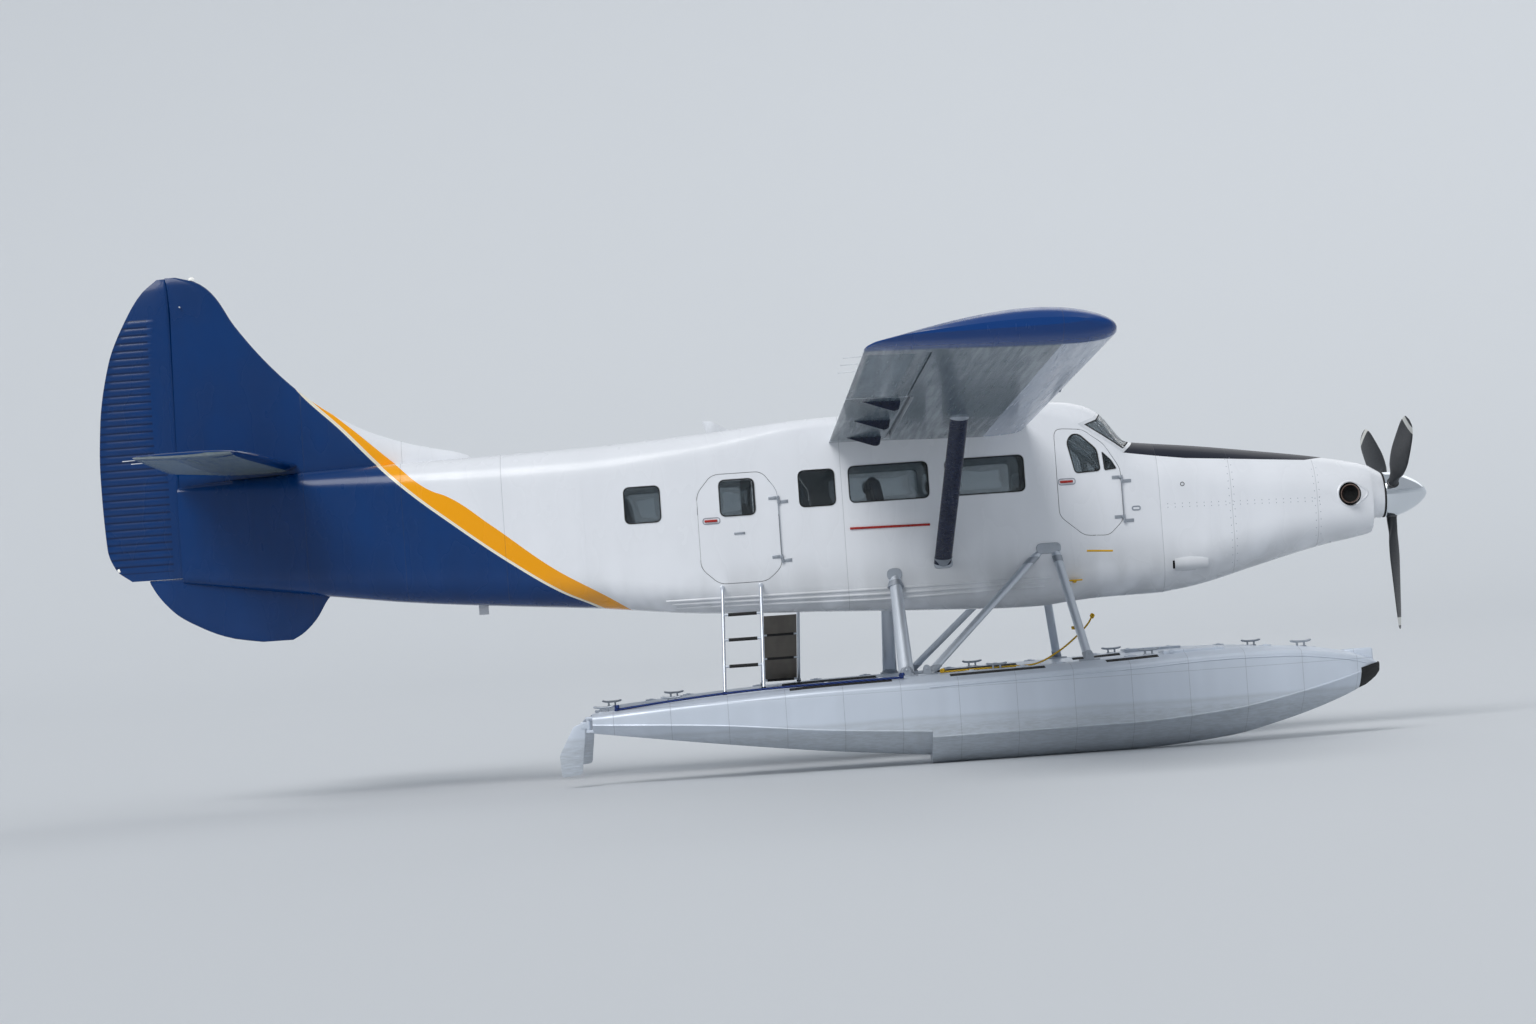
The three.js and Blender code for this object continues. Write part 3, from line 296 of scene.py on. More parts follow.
def grown(outline: Outline, margin: float) -> Outline:
    """Move an outline outwards, or inwards with a negative margin.

    Args:
        outline: Corners in order.
        margin: How far each edge moves.

    Returns:
        The moved corners.
    """
    points = np.asarray(outline, float)
    following = np.roll(points, -1, axis=0)
    area = np.sum(points[:, 0] * following[:, 1] - following[:, 0] * points[:, 1])
    before, after = points - np.roll(points, 1, axis=0), following - points
    before /= np.linalg.norm(before, axis=1)[:, None] + 1e-12
    after /= np.linalg.norm(after, axis=1)[:, None] + 1e-12
    normal = np.column_stack([before[:, 1] + after[:, 1], -before[:, 0] - after[:, 0]]) * np.sign(area)
    length = np.maximum(np.linalg.norm(normal, axis=1)[:, None], 0.6)
    return [(float(a), float(b)) for a, b in points + normal * (2 * margin / length**2)]


def box_outline(x0: float, x1: float, z0: float, z1: float, radius: float = 0.055) -> Outline:
    """Give a rectangle with round corners, from its ends and heights."""
    return rounded([(x0, z0), (x1, z0), (x1, z1), (x0, z1)], radius * 1.25, 8)


# Ways of working


def clear() -> None:
    """Leave edit mode and deselect everything."""
    if bpy.context.mode != "OBJECT":
        bpy.ops.object.mode_set(mode="OBJECT")
    bpy.ops.object.select_all(action="DESELECT")


def pick(*objects: Obj) -> None:
    """Select the objects alone, the first one active."""
    clear()
    for obj in objects:
        obj.select_set(True)
    bpy.context.view_layer.objects.active = objects[0]


def edit(obj: Obj, select: str = "SELECT") -> None:
    """Open an object in edit mode with everything selected or nothing."""
    pick(obj)
    bpy.ops.object.mode_set(mode="EDIT")
    bpy.ops.mesh.select_all(action=select)


def points_of(obj: Obj) -> np.ndarray:
    """Read the object's points as rows of three numbers."""
    values = np.empty(len(obj.data.vertices) * 3)
    obj.data.vertices.foreach_get("co", values)
    return values.reshape(-1, 3)


def move_points(obj: Obj, points: np.ndarray) -> None:
    """Move the object's points to rows of three numbers."""
    obj.data.vertices.foreach_set("co", np.ascontiguousarray(points, float).ravel())
    obj.data.update()


def applied(obj: Obj, kind: str, **settings: object) -> Obj:
    """Shape an object with a modifier, which is applied.

    Args:
        obj: What is shaped.
        kind: The modifier's type.
        settings: Its settings.

    Returns:
        The same object.
    """
    modifier = obj.modifiers.new("shape", kind)
    for key, value in settings.items():
        setattr(modifier, key, value)
    pick(obj)
    bpy.ops.object.modifier_apply(modifier=modifier.name)
    return obj


def painted(obj: Obj, finish: "Finish") -> Obj:
    """Add a finish's material to an object."""
    obj.data.materials.append(finish.material())
    return obj


def flipped(obj: Obj) -> Obj:
    """Turn the object's faces over.

    Args:
        obj: A mesh object.

    Returns:
        The same object.
    """
    edit(obj)
    bpy.ops.mesh.flip_normals()
    clear()
    return obj


def outward(obj: Obj) -> Obj:
    """Merge doubles and point the faces outwards.

    Args:
        obj: A mesh object.

    Returns:
        The same object.
    """
    edit(obj)
    bpy.ops.mesh.remove_doubles(threshold=1e-5)
    bpy.ops.mesh.normals_make_consistent(inside=False)
    clear()
    return obj


def skin(rings: Sequence, capped: bool = True) -> Obj:
    """Wrap a grid over a row of rings, each closed on itself.

    Args:
        rings: Points as ring, place on the ring, x y z.
        capped: Whether the two ends are filled.

    Returns:
        The skin.
    """
    rings = np.asarray(rings, float)
    rings = np.concatenate([rings, rings[:, :1]], axis=1)
    rows, columns = rings.shape[:2]
    clear()
    bpy.ops.mesh.primitive_grid_add(x_subdivisions=columns - 1, y_subdivisions=rows - 1, size=1)
    obj = bpy.context.object
    flat = points_of(obj)
    column = np.round((flat[:, 0] + 0.5) * (columns - 1)).astype(int)
    row = np.round((flat[:, 1] + 0.5) * (rows - 1)).astype(int)
    move_points(obj, rings[row, column])
    edit(obj)
    bpy.ops.mesh.remove_doubles(threshold=1e-5)
    bpy.ops.mesh.dissolve_degenerate(threshold=1e-6)
    if capped:
        bpy.ops.mesh.select_all(action="SELECT")
        bpy.ops.mesh.fill_holes(sides=0)
    bpy.ops.mesh.select_all(action="SELECT")
    bpy.ops.mesh.normals_make_consistent(inside=False)
    clear()
    return obj


def plate(outline: Outline, y0: float, y1: float) -> Obj:
    """Extrude an outline of x and z along Y, from y0 to y1.

    Args:
        outline: Corners in order.
        y0: Where it starts.
        y1: Where it ends.

    Returns:
        The plate.
    """
    clear()
    bpy.ops.mesh.primitive_circle_add(vertices=len(outline), fill_type="NGON")
    obj = bpy.context.object
    move_points(obj, np.array([(x, y0, z) for x, z in outline]))
    edit(obj)
    bpy.ops.mesh.extrude_region_move(TRANSFORM_OT_translate={"value": (0, y1 - y0, 0)})
    bpy.ops.mesh.select_all(action="SELECT")
    bpy.ops.mesh.normals_make_consistent(inside=False)
    clear()
    return obj


def block(one: Sequence[float], other: Sequence[float], bevel: float = 0.004, segments: int = 2) -> Obj:
    """Make a block with bevelled edges.

    Args:
        one: A corner.
        other: The corner across from it.
        bevel: Width of the bevel.
        segments: Steps of the bevel.

    Returns:
        The block.
    """
    clear()
    low, high = Vector(np.minimum(one, other)), Vector(np.maximum(one, other))
    bpy.ops.mesh.primitive_cube_add(size=1, location=(low + high) / 2)
    obj = bpy.context.object
    obj.scale = high - low
    bpy.ops.object.transform_apply(location=True, rotation=True, scale=True)
    edit(obj)
    bpy.ops.mesh.bevel(offset=bevel, segments=segments, affect="EDGES")
    clear()
    return obj


def rod(start: Point, end: Point, radius: float, sides: int = 20, bevel: float = 0.0) -> Obj:
    """Make a round rod from one point to another.

    Args:
        start: Middle of the first end.
        end: Middle of the last end.
        radius: Its radius.
        sides: Faces round it.
        bevel: Width of the bevel on its end edges.

    Returns:
        The rod.
    """
    clear()
    a, b = Vector(start), Vector(end)
    bpy.ops.mesh.primitive_cylinder_add(vertices=sides, radius=radius, depth=(b - a).length)
    obj = bpy.context.object
    if bevel:
        edit(obj, "DESELECT")
        bpy.ops.object.mode_set(mode="OBJECT")
        for face in obj.data.polygons:
            face.select = abs(face.normal.z) > 0.9
        bpy.ops.object.mode_set(mode="EDIT")
        bpy.ops.mesh.bevel(offset=bevel, segments=2, affect="EDGES")
        clear()
    turn = (b - a).to_track_quat("Z", "Y").to_matrix().to_4x4()
    obj.data.transform(Matrix.Translation((a + b) / 2) @ turn)
    return obj


def tube(path: Sequence, radius: float | Sequence[float], sides: int = 12) -> Obj:
    """Sweep a circle along a path, with its ends closed.

    Args:
        path: Points of the middle line.
        radius: One radius, or one for each point.
        sides: Faces round it.

    Returns:
        The tube.
    """
    path = np.asarray(path, float)
    way = np.gradient(path, axis=0)
    way /= np.linalg.norm(way, axis=1)[:, None] + 1e-12
    up = np.array([0.0, 0.0, 1.0]) if abs(way[0][2]) < 0.9 else np.array([1.0, 0.0, 0.0])
    angles = around(sides)[:, None]
    rings = []
    for centre, along, r in zip(path, way, np.broadcast_to(np.asarray(radius, float), len(path))):
        across = np.cross(along, up)
        across /= np.linalg.norm(across)
        up = np.cross(across, along)
        rings.append(centre + r * (np.cos(angles) * across + np.sin(angles) * up))
    return skin(rings)


def lathe(profile: Rows, centre: Point, axis: Point = (0, 0, 1), sides: int = 28, capped: bool = True) -> Obj:
    """Turn a profile round an axis.

    Args:
        profile: Rows of distance along the axis and radius.
        centre: Where distance 0 is.
        axis: Direction of the axis.
        sides: Faces round it.
        capped: Whether the two ends are filled.

    Returns:
        The turned piece.
    """
    turn = np.array(Vector(axis).to_track_quat("Z", "Y").to_matrix())
    rings = [[(r * math.cos(a), r * math.sin(a), d) for a in around(sides)] for d, r in profile]
    return skin(np.array(rings) @ turn.T + np.array(centre), capped)


def join(*objects: Obj) -> Obj:
    """Join objects into the first one.

    Returns:
        The first object.
    """
    pick(*objects)
    if len(objects) > 1:
        bpy.ops.object.join()
    return objects[0]


def twin(obj: Obj, move: Point = (0, 0, 0)) -> Obj:
    """Copy an object with its own mesh, and move the copy.

    Args:
        obj: The object to copy.
        move: How far the copy moves.

    Returns:
        The copy.
    """
    pick(obj)
    bpy.ops.object.duplicate(linked=False)
    made = bpy.context.object
    if any(move):
        edit(made)
        bpy.ops.transform.translate(value=move)
        clear()
    return made


def mirrored(obj: Obj) -> Obj:
    """Copy an object to the other side of the aircraft, with its faces still outwards.

    Args:
        obj: The object to copy.

    Returns:
        The copy.
    """
    made = twin(obj)
    edit(made)
    bpy.ops.transform.resize(value=(1, -1, 1), center_override=(0, 0, 0))
    bpy.ops.mesh.flip_normals()
    clear()
    return made


def cut(obj: Obj, *cutters: Obj, how: str = "DIFFERENCE") -> Obj:
    """Cut, keep or add the room of other objects, which are used up.

    Args:
        obj: What is shaped.
        cutters: The objects it is shaped with.
        how: DIFFERENCE, INTERSECT or UNION.

    Returns:
        The shaped object.
    """
    for cutter in cutters:
        kept = "TRANSFER" if cutter.data.materials else "INDEX"
        applied(obj, "BOOLEAN", object=cutter, operation=how, solver="EXACT", material_mode=kept)
        bpy.data.objects.remove(cutter, do_unlink=True)
    return obj


def soften(obj: Obj, width: float, segments: int = 2, angle: float = 40) -> Obj:
    """Bevel the edges that are sharper than an angle.

    Args:
        obj: What is bevelled.
        width: Width of the bevel.
        segments: Its steps.
        angle: The angle in degrees.

    Returns:
        The same object.
    """
    limit = math.radians(angle)
    return applied(obj, "BEVEL", width=width, segments=segments, limit_method="ANGLE", angle_limit=limit)


def dots(spots: Sequence[tuple[Point, Point]], radius: float, rise: float = 0.7) -> Obj:
    """Set low round heads, modelled once, at many spots.

    Args:
        spots: Each spot's place and outward direction.
        radius: Radius of a head.
        rise: Height of a head as a share of its radius.

    Returns:
        All the heads as one object.
    """
    clear()
    bpy.ops.mesh.primitive_uv_sphere_add(segments=8, ring_count=4, radius=radius)
    head = bpy.context.object
    edit(head)
    bpy.ops.mesh.bisect(plane_co=(0, 0, 0), plane_no=(0, 0, 1), clear_inner=True)
    bpy.ops.mesh.select_all(action="SELECT")
    bpy.ops.transform.resize(value=(1, 1, rise), center_override=(0, 0, 0))
    clear()
    made = []
    for spot, way in spots:
        copy = head.copy()
        copy.data = head.data.copy()
        bpy.context.collection.objects.link(copy)
        turn = Vector(way).to_track_quat("Z", "Y").to_matrix().to_4x4()
        copy.data.transform(Matrix.Translation(spot) @ turn)
        made.append(copy)
    bpy.data.objects.remove(head, do_unlink=True)
    return join(*made)


def deliver(
    name: str, pieces: Obj | Sequence[Obj], finish: "Finish", *nodes: str, body: str = "airframe",
    slot: str = "", smooth: float = 35,
) -> Obj:
    """Join a piece, and give it its name, shading, material, body and slot.

    Args:
        name: Name of the piece.
        pieces: The object or objects it is made of.
        finish: Its finish.
        nodes: The frame's nodes that it stands for.
        body: The body it rides on.
        slot: The record's slot, if it isn't the finish's own.
        smooth: Edges up to this angle, in degrees, are shaded smooth.

    Returns:
        The piece.
    """
    obj = join(*([pieces] if isinstance(pieces, Obj) else pieces))
    obj.name = name
    if obj.data.materials:
        obj.data.materials[0] = finish.material()
    else:
        painted(obj, finish)
    pick(obj)
    bpy.ops.object.shade_smooth_by_angle(angle=math.radians(smooth))
    clear()
    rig.ride(obj, body)
    if nodes:
        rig.replaces(obj, *nodes)
    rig.slot(obj, slot or finish.slot)
    LOG.info("%s: %d faces, on %s", obj.name, len(obj.data.polygons), body)
    return obj


def deliver_pair(
    stem: str, port: Obj, finish: "Finish", node: str = "", moving: bool = False, slot: str = "",
    smooth: float = 32, body: str = "airframe",
) -> None:
    """Deliver a piece of the port side and its mirrored copy.

    Args:
        stem: The pieces' name, before the side's word.
        port: The port piece.
        finish: Their finish.
        node: The frame's node that they stand for, before the side's word.
        moving: Whether each rides on its own node instead of the body.
        slot: The record's slot, if it isn't the finish's own.
        smooth: Edges up to this angle, in degrees, are shaded smooth.
        body: The body they ride on.
    """
    other = mirrored(port)
    for piece, side in ((port, Side.PORT), (other, Side.STARBOARD)):
        nodes = [f"{node}_{side.word}"] if node else []
        rides = nodes[0] if moving else body
        deliver(f"{stem}_{side.word}", piece, finish, *nodes, body=rides, slot=slot, smooth=smooth)


@dataclass(eq=False)
class Wiring:
    """A node tree that is being wired."""

    tree: bpy.types.NodeTree

    def node(self, kind: str, inputs: dict | None = None, **settings: object) -> bpy.types.Node:
        """Add a node.

        Args:
            kind: The node's type, without its ShaderNode prefix.
            inputs: Values or signals by input name or number.
            settings: The node's own options.

        Returns:
            The node.
        """
        made = self.tree.nodes.new(kind if kind.startswith("Node") else "ShaderNode" + kind)
        for key, value in settings.items():
            setattr(made, key, value)
        for key, value in (inputs or {}).items():
            self.plug(value, made.inputs[key])
        return made

    def signal(
        self, kind: str, output: str | int, inputs: dict | None = None, **settings: object
    ) -> "Signal":
        """Add a node and give one of its outputs; the other arguments are those of node."""
        return Signal(self, self.node(kind, inputs, **settings).outputs[output])

    def plug(self, value: object, socket: bpy.types.NodeSocket) -> None:
        """Link a signal to an input, or set the input's value.

        Args:
            value: A signal, a number, a colour or a vector.
            socket: The input.
        """
        if isinstance(value, Signal):
            self.tree.links.new(value.socket, socket)
        elif isinstance(value, tuple) and len(value) == 3 and socket.type == "RGBA":
            socket.default_value = (*value, 1)
        else:
            socket.default_value = value


@dataclass(eq=False)
class Signal:
    """A value in a node tree. Arithmetic on it adds the nodes that it needs."""

    wiring: Wiring
    socket: bpy.types.NodeSocket

    def math(self, operation: str, *values: object, clamp: bool = False) -> "Signal":
        """Combine one or two values by a math node."""
        inputs = dict(enumerate(values))
        return self.wiring.signal("Math", 0, inputs, operation=operation, use_clamp=clamp)

    def __add__(self, other: object) -> "Signal":
        """Add."""
        return self.math("ADD", self, other)

    def __sub__(self, other: object) -> "Signal":
        """Subtract."""
        return self.math("SUBTRACT", self, other)

    def __mul__(self, other: object) -> "Signal":
        """Multiply, or keep the common part of two masks."""
        return self.math("MULTIPLY", self, other)

    def __truediv__(self, other: object) -> "Signal":
        """Divide."""
        return self.math("DIVIDE", self, other)

    def __or__(self, other: object) -> "Signal":
        """Give the greater value, or two masks together."""
        return self.math("MAXIMUM", self, other)

    def __gt__(self, other: object) -> "Signal":
        """Give the mask of where it is greater."""
        return self.math("GREATER_THAN", self, other)

    def __lt__(self, other: object) -> "Signal":
        """Give the mask of where it is less."""
        return self.math("LESS_THAN", self, other)

    def __abs__(self) -> "Signal":
        """Drop the sign."""
        return self.math("ABSOLUTE", self)

    def rest(self) -> "Signal":
        """Give 1 less the value, from 0 to 1."""
        return self.math("SUBTRACT", 1.0, self, clamp=True)

    def folded(self, width: object) -> "Signal":
        """Fold it back and forth between 0 and a width."""
        return self.math("PINGPONG", self, width)

    def span(self, low: float, high: float, to_low: float = 0, to_high: float = 1) -> "Signal":
        """Map its range from low to high smoothly onto another range."""
        inputs = {"Value": self, "From Min": low, "From Max": high, "To Min": to_low, "To Max": to_high}
        return self.wiring.signal("MapRange", 0, inputs, interpolation_type="SMOOTHSTEP")

    def mix(self, first: object, second: object) -> "Signal":
        """Mix two colours, with this as the second one's share."""
        return self.wiring.signal("Mix", 2, {0: self, 6: first, 7: second}, data_type="RGBA")

    def noise(self, scale: float, detail: float = 3, rough: float = 0.5) -> "Signal":
        """Give noise from 0 to 1 at these coordinates."""
        inputs = {"Vector": self, "Scale": scale, "Detail": detail, "Roughness": rough}
        return self.wiring.signal("TexNoise", "Fac", inputs)

    def axes(self) -> "list[Signal]":
        """Split the coordinates into x, y and z."""
        return [Signal(self.wiring, out) for out in self.wiring.node("SeparateXYZ", {0: self}).outputs]

    def stretched(self, *scale: float) -> "Signal":
        """Scale the coordinates by axis."""
        return self.wiring.signal("Mapping", 0, {"Vector": self, "Scale": scale})

    def bump(self, depth: float) -> "Signal":
        """Turn the height into a normal, at a depth in metres."""
        return self.wiring.signal("Bump", 0, {"Height": self, "Strength": 1.0, "Distance": depth})

    def curve(self, points: Outline, fine: int = 96) -> "Signal":
        """Read a curve, whose places rise, at this value.

        Args:
            points: Places and values. A short list keeps its corners, and a long one is smoothed.
            fine: How many points a smoothed one gets.

        Returns:
            The curve's value.
        """
        if len(points) > 6:
            points = smooth_rows(points, np.linspace(points[0][0], points[-1][0], fine)).tolist()
        xs, ys = [p[0] for p in points], [p[1] for p in points]
        low, high = min(ys), max(ys)
        share = self.wiring.signal("MapRange", 0, {"Value": self, "From Min": xs[0], "From Max": xs[-1]})
        made = self.wiring.node("FloatCurve", {"Value": share})
        line = made.mapping.curves[0]
        spots = [((x - xs[0]) / (xs[-1] - xs[0]), (y - low) / (high - low)) for x, y in points]
        line.points[0].location, line.points[1].location = spots[0], spots[-1]
        for spot in spots[1:-1]:
            line.points.new(*spot)
        for point in line.points:
            point.handle_type = "VECTOR"
        made.mapping.update()
        level = Signal(self.wiring, made.outputs[0])
        return self.wiring.signal("MapRange", 0, {"Value": level, "To Min": low, "To Max": high})


def shared_group(fill: Callable[..., Signal]) -> Callable[..., Signal]:
    """Turn a function of signals into one node group that every material shares.

    Args:
        fill: Wires the group's mask from its inputs, which take its parameters' names.

    Returns:
        A function that uses the group. Its first value is a signal.
    """
    names = [name.title() for name in inspect.signature(fill).parameters]

    @functools.wraps(fill)
    def used(*values: object) -> Signal:
        """Use the group, made on its first use, in the tree of the first value.

        Returns:
            The group's output.
        """
        name = fill.__name__.replace("_", " ")
        shared = bpy.data.node_groups.get(name)
        if shared is None:
            shared = bpy.data.node_groups.new(name, "ShaderNodeTree")
            for key, value in zip(names, values):
                vector = isinstance(value, Signal) and value.socket.type == "VECTOR"
                kind = "NodeSocketVector" if vector else "NodeSocketFloat"
                shared.interface.new_socket(key, in_out="INPUT", socket_type=kind)
            shared.interface.new_socket("Mask", in_out="OUTPUT", socket_type="NodeSocketFloat")
            inner = Wiring(shared)
            start = inner.node("NodeGroupInput")
            mask = fill(*[Signal(inner, start.outputs[key]) for key in names])
            inner.plug(mask, inner.node("NodeGroupOutput").inputs["Mask"])
        return values[0].wiring.signal("Group", "Mask", dict(zip(names, values)), node_tree=shared)

    return used


@shared_group
def seam_at(value: Signal, place: Signal, width: Signal) -> Signal:
    """Give the mask of a seam where a value passes a place.

    Args:
        value: The coordinate.
        place: Where the seam lies.
        width: Its half width.

    Returns:
        1 on the seam.
    """
    return (abs(value - place) / width).rest()


@shared_group
def even_seams(value: Signal, pitch: Signal, width: Signal) -> Signal:
    """Give the mask of seams at an even pitch.

    Args:
        value: The coordinate.
        pitch: Distance between seams.
        width: Their half width.

    Returns:
        1 on each seam.
    """
    return (value.folded(pitch * 0.5) / width).rest()


@shared_group
def rivet_row(along: Signal, across: Signal, pitch: Signal, radius: Signal) -> Signal:
    """Give the mask of a row of flush rivets.

    Args:
        along: Coordinate along the row.
        across: Distance from the row.
        pitch: Distance between rivets.
        radius: Radius of a rivet.

    Returns:
        1 on each rivet.
    """
    gap = along.folded(pitch * 0.5)
    square = gap * gap + across.math("POWER", across, 2.0)
    return square.math("SQRT", square) / radius < 1.0


@shared_group
def soil(vector: Signal, scale: Signal) -> Signal:
    """Give a cloudy mask of dirt and fading, stretched down the surface.

    Args:
        vector: Object coordinates.
        scale: Size of the clouds.

    Returns:
        A value from 0 to 1.
    """
    streak = vector.stretched(3.0, 3.0, 0.6).noise(scale, 1.5)
    return (vector.noise(scale, 3.0) * streak).span(0.12, 0.42)


def dimmed(colour: Colour, share: float) -> Colour:
    """Give a colour at a share of its light."""
    return tuple(c * share for c in colour)


def faded(colour: Colour, share: float, lift: float) -> Colour:
    """Give a colour that light has bleached."""
    return tuple(min(1.0, c * share + lift) for c in colour)


# Finishes


@dataclass(frozen=True)
class Finish:
    """A finish that makes its material once."""

    name: str
    slot: str = field(default="strut_metal", kw_only=True)

    def material(self) -> bpy.types.Material:
        """Give the material, made on its first use.

        Returns:
            The material.
        """
        made = bpy.data.materials.get(self.name)
        if made is None:
            made = bpy.data.materials.new(self.name)
            made.use_nodes = True
            wiring = Wiring(made.node_tree)
            shader = made.node_tree.nodes["Principled BSDF"]
            for key, value in self.inputs(wiring.signal("TexCoord", "Object")).items():
                wiring.plug(value, shader.inputs[key])
        return made

    def inputs(self, spot: Signal) -> dict[str, object]:
        """Wire the finish.

        Args:
            spot: The object coordinates.

        Returns:
            Signals and values by the shader's input names.
        """
        raise NotImplementedError


@dataclass(frozen=True)
class Livery(Finish):
    """Glossy white paint with the swept stripe, the blue tail and the dark panel before the windshield."""

    name: str = "body_paint"
    slot: str = field(default="white_paint", kw_only=True)
    white: Colour = srgb(238, 240, 244)
    blue: Colour = srgb(0, 54, 112)
    orange: Colour = srgb(255, 170, 0)
    cream: Colour = srgb(240, 234, 214)
    dark: Colour = srgb(16, 22, 38)
    aft_edge: tuple = (
        # z, x where the blue ends
        (1.60, -1.500), (1.784, -1.812), (1.916, -2.092), (2.265, -2.622), (2.754, -3.255), (2.996, -3.549),
        (3.308, -3.882), (3.759, -4.293), (4.188, -4.706), (4.40, -4.840), (5.50, -5.300),
    )
    front_edge: tuple = (
        # z, x where the white begins
        (1.60, -1.270), (1.716, -1.461), (1.840, -1.652), (2.167, -2.186), (2.669, -2.819), (2.99, -3.25),
        (3.05, -3.395), (3.367, -3.768), (3.733, -4.165), (3.993, -4.460), (4.188, -4.678), (4.40, -4.820),
        (5.50, -5.280),
    )
    line: float = 0.022
    glare_edge: tuple = ((3.60, 2.950), (4.25, 2.857), (5.50, 2.765), (5.62, 2.776), (5.90, 2.800))
    glare_x: tuple = (3.60, 5.95)
    seams: tuple = (-4.70, -3.70, -2.675, 0.735, 3.945, 4.685, 5.575)
    rivets_x: float = -3.68
    bead_edge: tuple = ((2.40, -6.09), (3.54, -6.09), (3.56, -6.215), (5.10, -6.215))
    beads_z: tuple = (2.43, 5.02)

    def inputs(self, spot: Signal) -> dict[str, object]:
        """Wire the stripe's colours, the seams, the painted shade on the belly, on the stripe's lower part and in the
        rudder's bead valleys, and the polish.

        Args:
            spot: The place in the object's own metres.

        Returns:
            Values and signals by the shader's input names.
        """
        x, y, z = spot.axes()
        aft, front = x - z.curve(self.aft_edge), x - z.curve(self.front_edge)
        cloud = soil(spot, 1.3)
        white = cloud.mix(dimmed(self.white, 0.955), self.white)
        # Painted shade: the stripe's orange darkens towards the bottom of the body, to 90 percent at z 1.7.
        orange = z.span(1.7, 3.6).mix(dimmed(self.orange, 0.9), self.orange)
        blue = cloud.mix(dimmed(self.blue, 0.85), self.blue)
        colour = (aft < self.line).mix((front < 0.0).mix(white, orange), self.cream)
        colour = (aft < -self.line).mix(colour, blue)
        glare = (z - x.curve(self.glare_edge) > 0.0) * (x > self.glare_x[0]) * (x < self.glare_x[1])
        colour = glare.mix(colour, self.dark)
        seams = functools.reduce(Signal.__or__, [seam_at(x, place, 0.004) for place in self.seams])
        row = x.math("MINIMUM", abs(x - self.rivets_x), 0.05)
        rivets = rivet_row(z, row, 0.035, 0.0032)
        # Painted shade: ahead of the blue, the white and the stripe darken towards the belly below z 2.2, broken up by
        # the soil clouds.
        grime = cloud.rest() * (z.span(2.2, 1.75) * 0.3) * (aft > 0.0)
        colour = (seams * 0.42).mix(grime.mix(colour, srgb(120, 124, 122)), srgb(60, 66, 76))
        beaded = (x < z.curve(self.bead_edge)) * (z > self.beads_z[0]) * (z < self.beads_z[1])
        # Painted shade: the valleys between the rudder's beads are darkened towards navy in the base colour.
        valley = even_seams(z - Tail.rudder[0][0], BEAD_PITCH, 0.017) * beaded
        waves = spot.noise(2.2, 1.0) * 0.3
        return {
            "Base Color": (valley * 0.75).mix(colour, srgb(0, 14, 44)),
            "Roughness": cloud.span(0.0, 1.0, 0.3, 0.2) | glare * 0.5,
            "Normal": (waves - (seams | rivets) * 0.35).bump(0.004),
            "Specular IOR Level": 0.3, "Coat Weight": 0.14, "Coat Roughness": 0.08,
        }


@dataclass(frozen=True)
class SurfacePaint(Finish):
    """Paint of a flying surface: one colour above, another below, with panel seams and rivets."""

    slot: str = field(default="wing_skin", kw_only=True)
    upper: Colour
    lower: Colour
    edge: Colour
    edge_x: tuple = ()
    tip_y: float = 99.0
    tip: Colour = srgb(0, 58, 124)
    seams_x: tuple = ()
    seams_y: tuple = ()
    pitch: float = 0.62
    gloss: float = 0.2

    def inputs(self, spot: Signal) -> dict[str, object]:
        """Wire the colours by side, the seams and the streaks along the span.

        Args:
            spot: The place in the object's own metres.

        Returns:
            Values and signals by the shader's input names.
        """
        x, y, z = spot.axes()
        above = spot.wiring.signal("TexCoord", "Normal").axes()[2] > -0.12
        out = abs(y)
        streaks = spot.stretched(9.0, 0.35, 2.0).noise(2.6, 4.0)
        lower = streaks.span(0.35, 0.7).mix(dimmed(self.lower, 0.82), self.lower)
        upper = soil(spot, 0.9).mix(dimmed(self.upper, 0.93), self.upper)
        colour = above.mix(lower, upper)
        # For the wing, this leading-edge band is a painted sky reflection.
        if self.edge_x:
            colour = (x + out * self.edge_x[1] > self.edge_x[0]).mix(colour, self.edge)
        colour = (out > self.tip_y).mix(colour, self.tip)
        seams = even_seams(out, self.pitch, 0.0035)
        for place in self.seams_x:
            seams = seams | seam_at(x, place, 0.004)
        for place in self.seams_y:
            seams = seams | seam_at(out, place, 0.006)
        rivets = rivet_row(x, out.folded(self.pitch / 2) - 0.014, 0.034, 0.003)
        height = spot.noise(3.0, 1.0) - seams * 0.3 + rivets * 0.25
        return {
            "Base Color": (seams * 0.4).mix(colour, srgb(66, 72, 78)),
            "Roughness": streaks.span(0.3, 0.75, self.gloss + 0.08, self.gloss - 0.05),
            "Normal": height.bump(0.003),
            "Specular IOR Level": 0.3, "Coat Weight": 0.15, "Coat Roughness": 0.08,
        }


